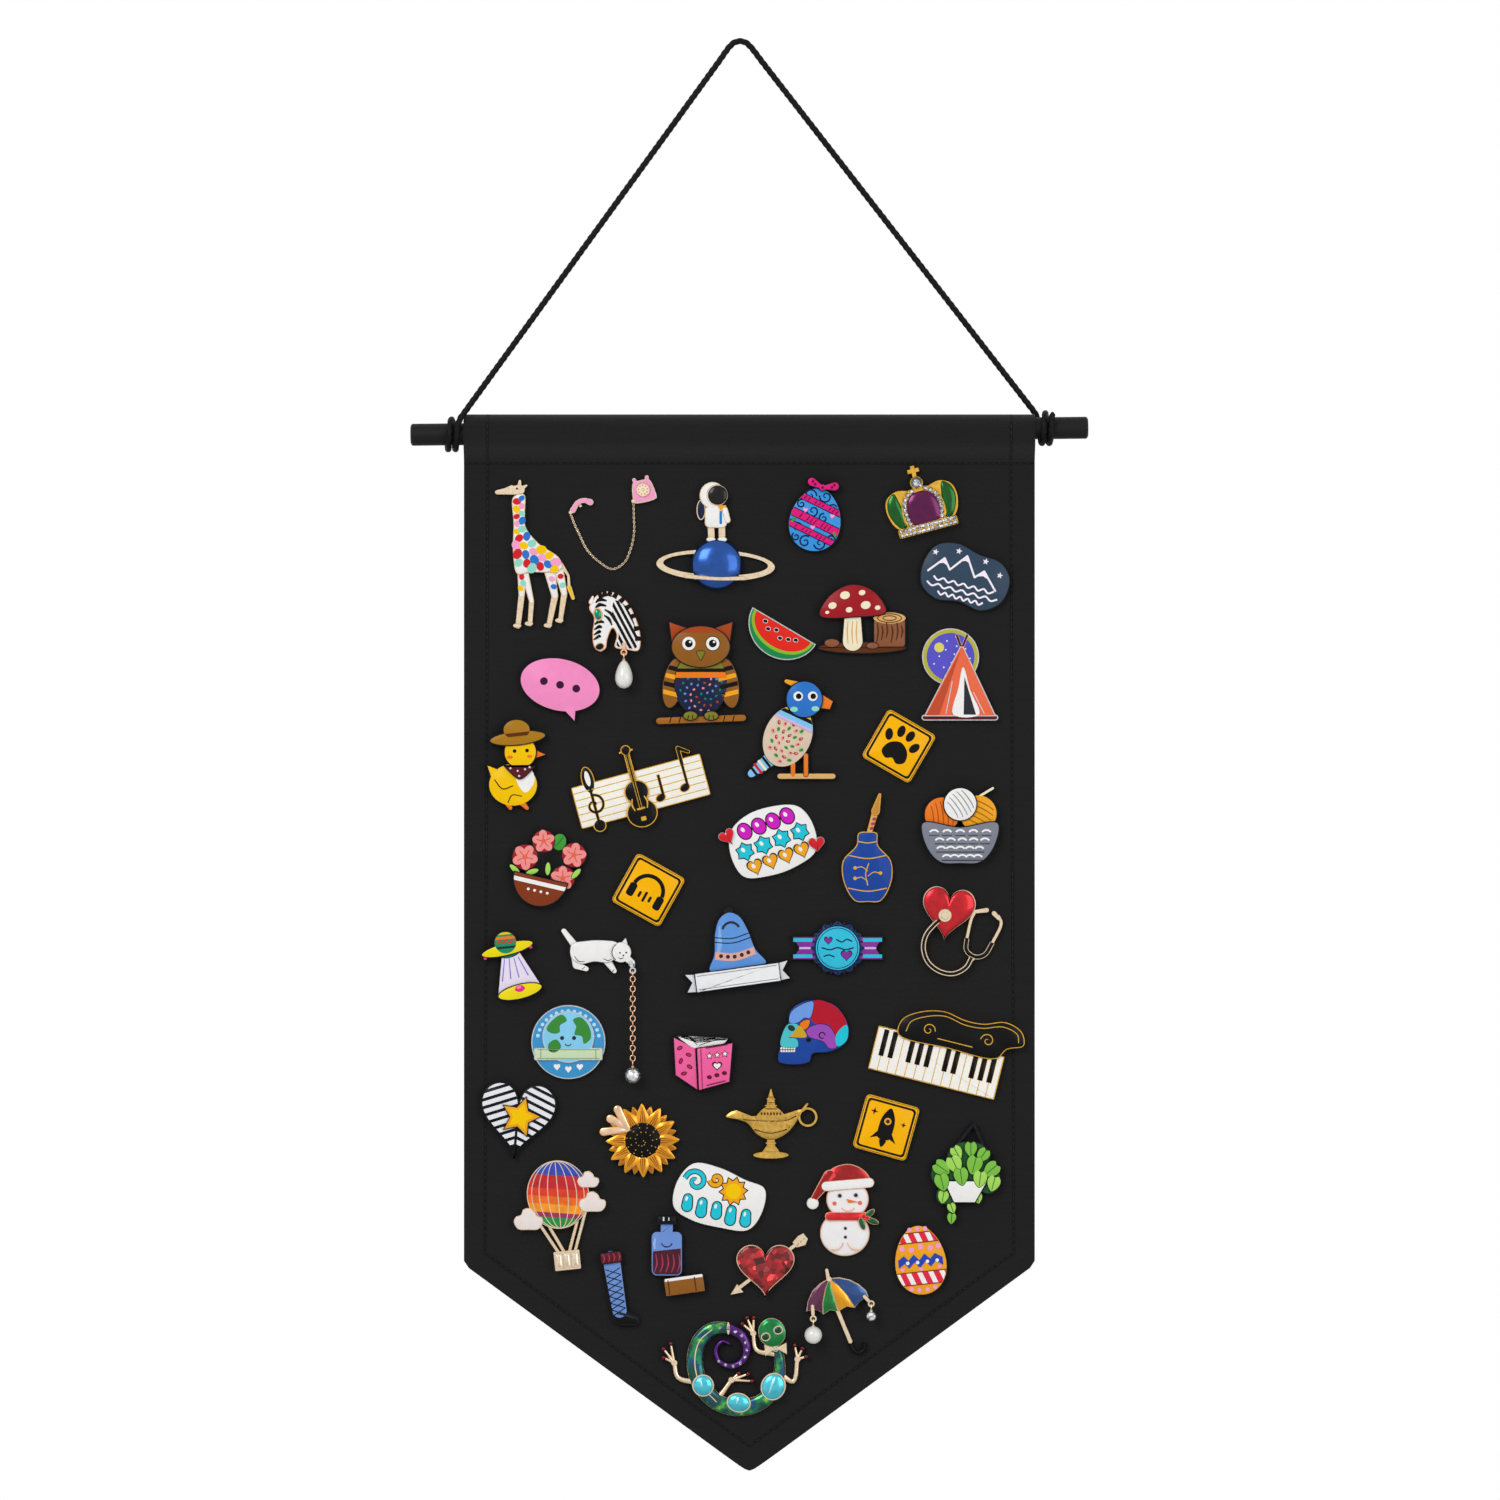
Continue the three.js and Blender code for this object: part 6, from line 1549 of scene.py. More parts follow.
BUBBLE = 0xF58FC4
pin = Badge("speech_bubble_pin", -72.9, 104.2, -13, BLACK_NICKEL, "pink_enamel")
pin.fill(BUBBLE, polygon((1.6, -8), (9, -13), (8, -6)), oval(0, 0, 15.8, 10.3))
pin.ink(BUBBLE, polygon((2.8, -8.4), (8, -11.8), (7.2, -6.6)))
pin.dots(0x3A1230, LOW, 1.5, (-6.4, 0), (0, 0), (6.4, 0))
pin.done()
print("Badges so far:", len(made_badges))

# %% [markdown]
# The parrot's body is printed with small flowers, two ovals each, on seed places. Its collar is bands cut
# from the body's oval at the body's own slant, and bars across the tail make the feathers.

# %% Parrot
pin = Badge("parrot_pin", 15.8, 121.4, 0, BLACK_NICKEL, "blue_enamel")
pin.fill(TAN, bar(-4, -18, 16.4, -18, 1.4))
pin.fill(SKY, bar(-6, -10, -15, -17, 3.4, 1.8))
for share, tint in zip((0.18, 0.36, 0.54, 0.72, 0.88), (RED, BLACK, CREAM, RED, BLACK)):
    x, y = -6 - 9 * share, -10 - 7 * share
    pin.ink(tint, strip(1, (x - 1.5, y + 1.9), (x + 1.5, y - 1.9)))
pin.fill(ORANGE, bar(1, -13, 1, -17.4, 1.2), bar(6, -10, 6, -17.4, 1.2))
trunk = oval(-1, -2.6, 9.4, 12.6, -25)
pin.fill(0xDCC7B0, trunk)
for i, (x, y) in enumerate(seeds(30, -1.8, -4.6, 7, 8.4)):
    pin.ink((0xA8323E, ROSE, LEAF)[i % 3], oval(x, y, 0.9, 0.55, 70 * i))
    pin.ink((ROSE, DEEP_RED, GREEN)[i % 3], oval(x + 0.2, y + 0.1, 0.4, 0.3, 70 * i))
pin.bands(inset(trunk, 0.5), -25, (YELLOW, 6.6, 8.2), (BLACK, 5.2, 6.6), (SKY, 3.4, 5.2), (LILAC, 2.4, 3.4))
pin.fill(AMBER, bar(3, 17, -1.6, 18.6, 1.8, 1.1))
pin.fill(ORANGE, polygon((11, 14.6), (16.8, 11), (15.4, 7.4), (11, 8)))
pin.fill(BLUE, HIGH, oval(5.4, 11.6, 7.2))
pin.fill(WHITE, HIGH, oval(3, 12.8, 2.3), oval(8.6, 12.8, 2.3))
pin.dots(BLACK, HIGH, 1.1, (3.2, 12.8), (8.8, 12.8))
pin.ink(MINT, HIGH, oval(1.4, 7.8, 1.5, 1), oval(9.6, 8, 1.5, 1))
pin.done()
print("Faces of the parrot:", len(made_badges[-1].data.polygons))

# %% [markdown]
# The three yellow signs share one plate with a dark border line, so one function makes the plate and each
# sign adds its own figure: a paw, headphones or a rocket.

# %% Three signs
def sign(node, x, drop, tilt):
    made = Badge(node, x, drop, tilt, RICH_GOLD, "yellow_enamel")
    made.fill(0xFBB600, box(0, 0, 21.4, 21.4, 1.8), rim=0.3)
    for wide, narrow in ((20.6, 20.2), (19.2, 17.6)):
        made.frame(BLACK, LOW, box(0, 0, wide, wide, 1.4), box(0, 0, narrow, narrow, 1.1))
    return made


pin = sign("paw_sign_pin", 57.6, 127.8, -30)
pin.ink(BLACK, blob((-5, -4.6), (-4, -0.6), (0, 1.6), (4, -0.6), (5, -4.6), (2.4, -6.4), (0, -5.2),
    (-2.4, -6.4)))
pin.ink(BLACK, oval(-5.6, 2.2, 1.5, 2.3, 25), oval(-2, 5.4, 1.5, 2.3, 8), oval(2, 5.4, 1.5, 2.3, -8),
    oval(5.6, 2.2, 1.5, 2.3, -25))
pin.done()
pin = sign("headphone_sign_pin", -38.9, 183.2, -29)
pin.ink(BLACK, arc(0, -0.6, 6, 5, 175, 1.5), box(-5.8, -2.8, 3, 5.4, 1), box(5.8, -2.8, 3, 5.4, 1))
pin.ink(BLACK, *[box(x, -3, 1, height, 0.4) for x, height in ((-2.2, 2.4), (0, 4.2), (2.2, 2.4))])
pin.done()
pin = sign("rocket_sign_pin", 52.7, 274.7, -15.5)
pin.ink(BLACK, polygon((-2.8, -2), (-5.2, -5.4), (-2.2, -4)), polygon((2.8, -2), (2.2, -4), (5.2, -5.4)),
    blob((0, 7.6), (2.4, 4), (2.9, 0), (2.2, -4.4), (-2.2, -4.4), (-2.9, 0), (-2.4, 4)))
pin.ink(AMBER, oval(0, 2.4, 1.4))
pin.ink(CHARCOAL, oval(0, 2.4, 0.8))
pin.ink(BLACK, blob((-1.3, -5), (1.3, -5), (0, -7.8)), star(-6, 5, 4, 1.5, 0.5),
    star(6.2, 2.6, 4, 1.1, 0.4))
pin.done()
print("Badges so far:", len(made_badges))

# %% [markdown]
# The duckling wears a hat and a neckerchief, which lie over its head and chest as higher layers. On the
# music sheet the ruled lines and the violin's strings are thin metal walls between pools of colour.

# %% Duckling and music sheet
pin = Badge("duckling_pin", -89.6, 134.7, 0, BLACK_NICKEL, "yellow_enamel", (0, -3))
pin.fill(ORANGE, bar(-3.6, -15, -2.4, -17, 1.4, 1), bar(2, -15, 4, -17, 1.4, 1))
pin.fill(YELLOW, polygon((-8.6, -10), (-11.8, 0), (-4, -3)), oval(-1.4, -8, 9.6, 8.4))
pin.ink(WHITE, blob((-0.6, -2), (5.4, -2), (6.8, -6.6), (3.4, -11), (0.6, -8)))
pin.ink(BLACK, strip([0.4, 0.5, 0.4], (-8.6, -6), (-5.4, -9.6), (-1.4, -8.4)),
    strip(0.4, (-3.4, -15), (-1.8, -12), (2, -12.4)))
pin.fill(ORANGE, polygon((6.4, 6), (11.6, 3.6), (6.4, 1.8)))
pin.fill(YELLOW, HIGH, oval(1.4, 4.6, 6.4))
pin.dots(BLACK, HIGH, 0.75, (-0.8, 5), (4, 5.2))
pin.ink(ORANGE, HIGH, oval(-2.6, 2.6, 1.2, 0.7), oval(5, 2.9, 1, 0.6))
pin.fill(MAROON, HIGH, blob((-5, -0.4), (1, -2), (7.2, -0.2), (4.4, -4), (1.2, -6), (-2.4, -3.6)))
pin.dots(PALE, HIGH, 0.4, (-2.4, -1.6), (0.4, -2.6), (3.2, -2), (1, -4.6), (5, -1.2))
pin.fill(0xA9781C, TOP, oval(0.4, 10, 11, 2.9, 6), oval(0, 13.2, 5.4, 4.2))
pin.bands(oval(0, 13.2, 5, 3.8), 6, (UMBER, 10.6, 12), height=TOP)
pin.done()

VIOLIN = -1.6
pin = Badge("sheet_music_pin", -41.8, 145.2, 15, RICH_GOLD, "white_enamel", (-14, 0), (12, 0))
pin.fill(0xF4F2E8, box(0, 0, 51.5, 16.5, 0.8))
pin.wall(*[box(0, y, 50.4, 0.35) for y in (-5.6, -2.8, 0, 2.8, 5.6)])
pin.fill(BLACK, oval(-18.6, 9.4, 2.6, 5.4), oval(-18.6, -8.6, 2.6), bar(18, 6, 18, 12.4, 0.9),
    bar(18, 12.4, 21.6, 10, 0.9, 0.7))
pin.fill(BLACK, strip(1.5, (-18.6, 9), (-18.6, -8.4)), strip(1.4, (18, 7), (18, -2.6)),
    oval(16.8, -3, 2.3, 1.8, 20), curl(-18.6, -0.6, 4.2, 90, 1.3, -1), strip(1.4, (8, 4.6), (8, -4)),
    oval(6.8, -4.4, 2.2, 1.7, 20))
pin.ink(WHITE, oval(-18.6, 10, 1, 3))
pin.fill(BLACK, HIGH, bar(VIOLIN, 2, VIOLIN, 15.6, 1.2), oval(VIOLIN, 16.8, 2), oval(VIOLIN, -8.2, 6, 5.6),
    oval(VIOLIN, 0.2, 4.8, 4.6))
pin.ink(BLACK, HIGH, oval(VIOLIN, -4, 3.4, 3))
for side in (-1, 1):
    pin.wall(HIGH, strip([0.4, 0.6, 0.4], (VIOLIN + side * 2.4, -2), (VIOLIN + side * 3, -4.4),
        (VIOLIN + side * 2.4, -6.8)), box(VIOLIN + side * 0.45, 4, 0.25, 22),
        box(VIOLIN + side * 2.2, 16.4, 1, 0.6))
pin.wall(HIGH, box(VIOLIN, -6.4, 3.2, 0.7), box(VIOLIN, -10.4, 2, 1.6, 0.4))
pin.done()
print("Badges so far:", len(made_badges))

# %% [markdown]
# Rows of coloured shapes on the white plaque follow one another in loops, with a dark edge under each
# shape, as on a printed epoxy pin. The vase is blue enamel with a sprig drawn in metal walls, and a brush
# stands in it.

# %% Rainbow plaque and vase
pin = Badge("rainbow_plaque_pin", 8.9, 164.6, 20, SILVER, "white_enamel")
pin.fill(WHITE, blob((-15, -9), (-17, 0), (-14, 9), (-6, 13), (5, 12.8), (14, 9.4), (17, 1), (14.6, -9),
    (5, -12.2), (-6, -12)), rim=0.15)
for row, (y, tint, reach) in enumerate(((7.4, MAGENTA, 11.6), (0, TURQUOISE, 15), (-7.2, AMBER, 12.8))):
    for i in range(4):
        x = -reach + 2 * reach * (i + 0.5) / 4
        for shrink, shade in ((0, BLACK), (0.45, tint)):
            shapes = (oval(x, y, 2.9 - shrink, 3.5 - shrink, 12), star(x, y, 6, 3.9 - shrink, 2.8 - shrink),
                heart(x, y, 6.2 - 2 * shrink, 6.4 - 2 * shrink))
            pin.ink(shade, shapes[row])
        pin.ink(WHITE, oval(x - 0.5, y + 0.8, 0.7, 1, 20))
pin.fill(RED, HIGH, heart(-15.6, 7.4, 6.4, 6, 12), heart(15.6, -7, 6.4, 6, -12), rim=0.15)
pin.done()

pin = Badge("blue_vase_pin", 45.6, 166.9, 0, RICH_GOLD, "blue_enamel", (-1, -9))
pin.fill(TAN, bar(0.4, 5, 3, 14, 1, 1.3))
pin.fill(0xC98A3E, HIGH, bar(3, 14, 4.6, 20.4, 1.7, 0.6))
pin.ink(0xB23A58, *[box(0.8 + 0.29 * (y - 5), y, 1.5, 1.1, 0.2, 16) for y in (7.4, 9.2, 11)])
pin.fill(COBALT, blob((-5, -20.6), (-9.4, -13), (-9.6, -5), (-4.4, 1), (-3.6, 5.6), (0, 6.2), (3.6, 5.6),
    (4, 1), (9, -5), (9.2, -13), (5, -20.6), (0, -21)))
pin.wall(strip(0.4, (-3.8, 2.4), (0, 1.8), (3.6, 2.4)), strip(0.4, (-7.4, -3), (0, -4.2), (7.2, -3)),
    strip(0.4, (-7.6, -15.6), (0, -16.8), (7.4, -15.6)), strip(0.4, (0, -14.6), (-0.8, -10), (0.4, -6)))
for side, y in ((-1, -12), (1, -10), (-1, -8)):
    pin.wall(strip([0.3, 0.4], (0, y - 1), (side * 2.4, y + 0.6), (side * 4.4, y + 0.2)),
        oval(side * 4.9, y + 0.2, 0.7))
pin.done()
print("Badges so far:", len(made_badges))

# %% [markdown]
# Each ball of yarn has a few bent strokes that are turned with the ball, and the basket's weave is rows of
# short arcs over lines. The flowers in the bowl are five petals in a loop, on a dark round of their own.

# %% Yarn basket and flower bowl
pin = Badge("yarn_basket_pin", 81.2, 158.2, 0, BLACK_NICKEL, "grey_enamel", (0, -5))
pin.fill(CREAM, bar(4, 9, 12.6, 14.2, 0.7))
for x, y, r, height, tint, dark in ((-7, 4, 7, LOW, ORANGE, RUST), (7, 4.4, 7.4, LOW, AMBER, BROWN),
        (0, 8, 6.6, HIGH, WHITE, GREY)):
    pin.fill(tint, height, oval(x, y, r))
    for bend in (-0.66, -0.36, -0.06, 0.24, 0.54):
        steep = 0.8 * math.sqrt(1 - bend * bend)
        wind = [(r * (bend + 0.12 * math.cos(t)) * 0.9, r * steep * math.sin(t))
            for t in (-1.2, -0.6, 0, 0.6, 1.2)]
        pin.ink(dark, height, strip([0.3, 0.4, 0.3], *turned(wind, x, y, 35 + x * 4)))
pin.fill(0x7E8290, HIGH, blob((-14.6, 1), (-13.4, -8), (-8, -14.4), (0, -15), (8, -14.4), (13.4, -8),
    (14.6, 1), (0, -0.6)))
for row in range(4):
    y, reach = -2.6 - 3.2 * row, 12.6 - 1.7 * row
    for i in range(5):
        x = -reach + 2 * reach * (i + 0.5) / 5 + 0.8 * (row % 2)
        pin.ink(WHITE, HIGH, arc(x, y - 0.6, 1.7, 20, 160, 0.7, 1.3))
        pin.ink(CHARCOAL, HIGH, strip(0.3, (x - 1.9, y - 1.4), (x + 1.9, y - 1.4)))
pin.done()

BLOOM = 0xF2918D
pin = Badge("flower_bowl_pin", -78.8, 175.8, -13, BLACK_NICKEL, "brown_enamel")
pin.fill(BLACK, oval(0, 3, 9.6, 8))
pin.fill(LEAF, oval(3, 12, 3, 3.6))
pin.ink(GREEN, strip([0.3, 0.5, 0.3], (1.6, 9.6), (3, 12), (4.2, 14.6)))
for x, y, size, turn in ((-8.6, 3.4, 5.2, 0), (-3, 11, 4.6, 36), (9.6, 8.4, 5, 18), (7.4, -1.2, 4.9, 30)):
    pin.fill(DEEP_RED, oval(x, y, size))
    for lean in range(turn, turn + 360, 72):
        middle, tip = turned([(size * 0.52, 0), (size * 0.6, 0)], x, y, lean)
        pin.ink(BLOOM, oval(*middle, size * 0.44, size * 0.34, lean))
        pin.ink(0xB8484C, strip([0.25, 0.3], (x, y), tip))
    pin.dots(CORAL, LOW, size * 0.2, (x, y))
pin.fill(LIME, *[oval(x, y, 2.8, 1.3, lean) for x, y, lean in ((-4.6, -1.4, 30), (1, 1, 100), (12, 1.6, 60),
    (-11.4, -2, 150))])
bowl = half_disc(-0.8, -2.6, 10.8, 11.6)
pin.fill(0x84391A, HIGH, bowl)
pin.bands(inset(bowl, 0.4), 0, (WHITE, -6, -4.4), height=HIGH)
pin.dots(WHITE, HIGH, 0.55, (-4.6, -8.2), (-2.1, -8.2), (0.4, -8.2), (2.9, -8.2))
pin.done()
print("Badges so far:", len(made_badges))

# %% [markdown]
# A ribbon lies over the bell, and the rosette's ribbon lies behind its round middle. The stethoscope is two
# bent tubes over a glazed heart: one passes in front of it, and the other stays on the low plate.

# %% Bell, rosette and stethoscope
pin = Badge("bell_pin", -5.9, 207, 8, BLACK_NICKEL, "blue_enamel", (0, 4), (0, -10))
pin.bare(oval(0, 15.6, 1.9))
pin.fill(0x5F95DC, blob((-10.6, -6), (-8, 0), (-6.6, 8), (-4, 13.6), (0, 15.6), (4, 13.6), (6.6, 8),
    (8.6, 0), (12, -6), (0, -8)))
pin.ink(0x86B1EA, strip([0.6, 1.8, 0.8], (-4.2, 10.4), (-5, 4), (-6.6, -1.6)))
pin.ink(NAVY, strip(0.4, (-6.6, 6.4), (0, 5.2), (6.8, 6.4)), strip(0.4, (-7, 4.6), (0, 3.4), (7.2, 4.6)))
pin.ink(0xE0A89A, strip(3, (-7.4, -0.6), (0, -2), (8, -0.6)))
pin.dots(CHARCOAL, LOW, 0.8, (-5.2, -1), (-2.6, -1.6), (0, -1.9), (2.8, -1.6), (5.4, -1))
pin.ink(CHARCOAL, arc(0, 8, 3.4, 20, 160, 0.9), oval(0, -7.2, 2.2, 1))
ribbon_end = [(-20.6, -13.4), (-15.6, -13.8), (-15.6, -6.4), (-20.6, -5.8), (-18, -9.6)]
pin.fill(PALE, polygon(*ribbon_end), polygon(*mirrored(ribbon_end, -1)))
pin.fill(0xECEDEF, HIGH, box(0, -10, 33, 7.6))
pin.ink(GREY, HIGH, box(0, -7.4, 31, 0.3), box(0, -12.6, 31, 0.3))
pin.done()

ROSETTE = 0x1D3B78
pin = Badge("rosette_pin", 34, 205.6, 0, BLACK_NICKEL, "blue_enamel")
pin.fill(PURPLE, polygon((-18, -4.6), (18, -4.6), (15, 0), (18, 4.6), (-18, 4.6), (-15, 0)))
for x in (-1, 1):
    pin.ink(TURQUOISE, box(x * 13.4, 3.1, 7.4, 1.3), box(x * 13.4, -3.1, 7.4, 1.3))
    pin.ink(LILAC, box(x * 12.6, 0, 4.4, 0.8))
pin.fill(ROSETTE, petals(12, 10.7, 9.4))
pin.dots(NAVY, LOW, 0.5, *[on_oval(0, 0, 9.6, 9.6, a) for a in around(24)])
pin.fill(0x35BEDC, HIGH, oval(0, 0, 8.8))
pin.frame(ROSETTE, HIGH, oval(0, 0, 7.9, count=80), oval(0, 0, 7.6, count=80))
pin.ink(NAVY, HIGH, heart(-3.6, 2.8, 3.4, 3.4), heart(3.4, -3, 4.6, 4.4))
pin.ink(PURPLE, HIGH, heart(-3.6, 2.8, 2.7, 2.7), heart(3.4, -3, 3.8, 3.6))
pin.ink(NAVY, HIGH, strip(0.5, (-0.6, 3.4), (1.6, 2.4), (3.6, 3.4), (5.6, 2.6)),
    strip(0.5, (-6.2, 0.2), (-3, -0.6), (0, 0.2), (3, -0.6), (6.2, 0.2)),
    strip(0.5, (-5.4, -3.2), (-3.4, -2.6), (-1.2, -3.4)))
pin.done()

pin = Badge("stethoscope_pin", 82.2, 199.2, 0, PALE_GOLD, "red_enamel", (-5.6, 2))
pin.pillow(0xBE1420, heart(-5.8, 6.6, 19.8, 20, -8), HIGH - 0.4, 1.4)
pin.bare(HIGH - 0.6, heart(-5.8, 6.6, 20.4, 20.6, -8))
front_tube = ((-8.2, 5), (-11, 2.6), (-14.2, -1.4), (-15.2, -6.4), (-13.4, -11.8), (-8.8, -15.4),
    (-3.4, -16.2), (1.2, -13.8), (3.4, -10))
low_tube = ((1.6, -2.6), (1.4, -7.2), (4.6, -9.8), (8.4, -9), (11.4, -4.4))
for height, route in ((HIGH + 0.7, front_tube), (LOW, low_tube)):
    pin.bare(height - 0.3, strip(1.9, *route))
    pin.ridge(BLACK, height + 0.25, [1.5, 1.5], *route, finish=ENAMEL)
pin.bare(strip([1.1, 1.2], (5.2, 8.2), (3.4, 5), (1.6, -2.6)), strip([1.2, 1.1], (11.4, -4.4), (14.8, 3.2),
    (13.6, 6.2)), bar(4.6, 7.6, 9.2, 8.2, 0.7, 0.9), bar(13.8, 5, 12, 7, 0.7, 0.9), oval(3.4, -10.4, 1.2))
for rise, radius in ((1.1, 2.5), (1.5, 1.5), (1.7, 0.6)):
    pin.bare(TOP + rise, oval(-6.9, 6.2, radius))
pin.done()
print("Badges so far:", len(made_badges))

# %% [markdown]
# The saucer's bands are cut from its dome, and its beam is a plain four-sided pool with fine rays. The cat
# is white enamel whose body, head and tail lie at three heights, and an eyelet at its paw carries a chain.

# %% Saucer and cat
SAUCER_YELLOW = 0xEFDC16
pin = Badge("saucer_pin", -91.3, 212.5, 0, BLACK_NICKEL, "yellow_enamel")
pin.fill(0xE7DDF0, polygon((-4.2, 4), (2.8, 5.6), (11.4, -7.6), (-5.6, -12)), rim=0.2)
pin.ink(VIOLET, *[strip([0.25, 0.4], (x, y), (far_x, far_y)) for x, y, far_x, far_y in ((-3, 2.6, -3.8, -6),
    (-1.2, 3, -0.6, -5), (0.6, 3.2, 2.6, -4.4), (2.2, 3.6, 6.2, -3.6))])
pin.fill(SAUCER_YELLOW, HIGH, oval(3, -9.8, 8.9, 3, 14))
pin.fill(HOT_PINK, HIGH, blob((0.6, -9.6), (1.4, -7.4), (4.2, -7), (5.4, -8.6), (3.4, -10.4)))
pin.ink(0xF48CC0, HIGH, oval(2.6, -8.2, 1, 0.5, 20))
pin.fill(TEAL, oval(-1.2, 4.6, 4, 1.6, 14))
pin.fill(HOT_PINK, HIGH, *[oval(-10.4 + 3.5 * i, 3 + 0.87 * i, 0.8) for i in range(6)])
pin.fill(SAUCER_YELLOW, HIGH, oval(-1.9, 6.6, 10.4, 2.6, 14))
dome = oval(-2.6, 9, 4.6, 4.6)
pin.fill(0x1D8F5E, HIGH, dome)
pin.bands(inset(dome, 0.5), 6, (ORANGE, 10.6, 11.6), (YELLOW, 12.4, 13.2), (NAVY, 7, 7.8), height=HIGH)
pin.ink(RED, HIGH, strip(0.5, (-6, 8.6), (-4.8, 9.9), (-3.6, 8.7), (-2.4, 10), (-1.2, 8.9), (0, 10.2),
    (1, 9.2)))
pin.done()

pin = Badge("white_cat_pin", -57.8, 207.2, 0, SILVER, "white_enamel", (-3, 0))
pin.fill(WHITE, bar(-13.7, 8.2, -9.4, 2.6, 1, 1.4), bar(-8.8, -5, -5, -6.4, 1.5, 1),
    bar(-8.6, -1, -8.8, -5, 2.4, 1.5), bar(2.4, -2.4, 5.8, -7.2, 1.7, 1),
    polygon((7.4, 2.6), (10.2, 5.6), (11.4, 1.6)), rim=0.15)
pin.fill(WHITE, HIGH, blob((-10.6, 3), (-5, 4.4), (2, 4.6), (7, 3.6), (8, 0), (4, -3.8), (-2, -3.6),
    (-7, -4.4), (-10.8, -2)), rim=0.15)
pin.ink(CHARCOAL, HIGH, strip([0.2, 0.35, 0.2], (-9.6, -1.4), (-8, -3.4), (-5.6, -3.6)),
    strip([0.2, 0.35, 0.2], (1.6, -2.4), (3.4, -3.2), (4.8, -2.6)))
pin.ink(CHARCOAL, strip(0.25, (-6.6, -6.5), (-5.6, -5.7)), strip(0.25, (5, -7.6), (5.8, -6.6)))
pin.fill(WHITE, TOP, bar(9.6, -1.4, 12.6, -4, 1.5, 1.2), oval(8.4, 0, 3.9), rim=0.15)
pin.ink(CHARCOAL, TOP, arc(8.4, 0, 3.5, 120, 235, 0.3), strip([0.2, 0.35, 0.2], (7.4, -2), (8.4, -2.5),
    (9.4, -2)))
pin.dots(CHARCOAL, TOP, 0.35, (8, -0.2), (10.4, -0.1), (9.3, -1.2))
pin.fill(CHARCOAL, TOP, bar(12.2, -4.6, 12.9, -5, 0.9))
pin.eyelet(12.9, -7, 12.2, -3.8)
pin.done()
print("Badges so far:", len(made_badges))

# %% [markdown]
# The globe's land is three smooth patches on a round sea. Its ring carries dots and its ribbon carries
# lines and hearts. The book is two slanted covers with stars, a heart and ovals on them, and pages between.

# %% Globe and book
pin = Badge("globe_pin", -69.7, 241.8, 0, SILVER, "blue_enamel")
pin.fill(0x3D95CE, oval(0, 0, 14.3))
pin.dots(0xBFE2F5, LOW, 0.7, *[on_oval(0, 0, 12, 12, math.radians(12 + 156 * i / 14)) for i in range(15)])
pin.fill(0x86CDEE, HIGH, oval(0, 2, 10))
pin.ink(0x3C8A3A, HIGH, blob((-8.4, 5), (-6, 8.6), (-2.4, 10.6), (-0.6, 8.4), (-3.2, 6.4), (-3.4, 3.8),
    (-6.4, 3.4)), blob((1.8, 8.6), (4.6, 9.6), (8, 6), (8.6, 1.4), (6, -0.6), (5.2, 2.2), (2.4, 3), (3, 6)),
    blob((-7.6, -0.6), (-4.6, 1), (-2.8, -1.6), (-5, -4), (-7.4, -3.4)))
pin.dots(CHARCOAL, HIGH, 0.8, (-2.4, 1.6), (2.2, 1.6))
pin.ink(CHARCOAL, HIGH, arc(-0.1, -0.2, 1.2, 200, 340, 0.35))
pin.fill(0xC9DDB4, HIGH, box(0, -4.6, 26.4, 4.8, 0.6))
pin.ink(0x7FA07A, HIGH, box(0, -2.9, 24, 0.3), box(0, -6.3, 24, 0.3), box(-10.6, -4.6, 0.3, 4),
    box(10.6, -4.6, 0.3, 4))
pin.ink(WHITE, heart(-4.4, -9.7, 2.6, 2.6), heart(0, -10.6, 2.6, 2.6), heart(4.4, -9.7, 2.6, 2.6))
pin.done()

BOOK = 0xF0629F
pin = Badge("pink_book_pin", -17.8, 249.7, 0, BLACK_NICKEL, "pink_enamel", (3, -2))
pin.fill(WHITE, blob((-10.4, 10.4), (-6, 10.2), (-2, 8), (4, 9.6), (10, 9.4), (8, 7), (-2.6, 5), (-8, 8)))
pin.ink(CHARCOAL, strip(0.25, (-9, 9.8), (-5, 9), (-2.2, 6.8)),
    strip(0.25, (9.4, 8.8), (4, 8.4), (-1.6, 6.6)))
pin.fill(BOOK, polygon((-11.7, 10.2), (-10.9, -5), (-1.9, -11), (-2.7, 5.7)))
pin.fill(BOOK, HIGH, polygon((-2.7, 5.7), (-1.9, -11), (10.4, -7.6), (11.7, 7.9)))
for x, y, lean in ((-9, 5.6, 30), (-5.6, 3, -20), (-8.6, 0.6, 70), (-5.2, -1.6, -35), (-7.4, -4.2, 15)):
    pin.ink(MAROON, oval(x, y, 1.2, 0.75, lean))
    pin.ink(0xC22E56, oval(x, y, 0.8, 0.35, lean))
pin.ink(0xA6336B, HIGH, strip(0.4, (-0.9, 5.4), (-0.3, -10)))
for i in range(3):
    pin.ink(MAROON, HIGH, star(2.4 + 3 * i, 2.6 + 0.4 * i, 5, 1.5, 0.7),
        oval(2.4 + 2.9 * i, -5.6 + 0.8 * i, 1, 0.8))
    pin.ink(WHITE, HIGH, star(2.4 + 3 * i, 2.6 + 0.4 * i, 5, 1, 0.45))
pin.ink(MAROON, HIGH, heart(5.4, -1.4, 4, 3.6))
pin.ink(WHITE, HIGH, heart(5.4, -1.4, 2.8, 2.4))
pin.ink(MAROON, HIGH, strip(0.35, (1, 5.6), (9.4, 7)), strip(0.35, (1.4, -8.8), (8.6, -7)))
pin.done()
print("Badges so far:", len(made_badges))

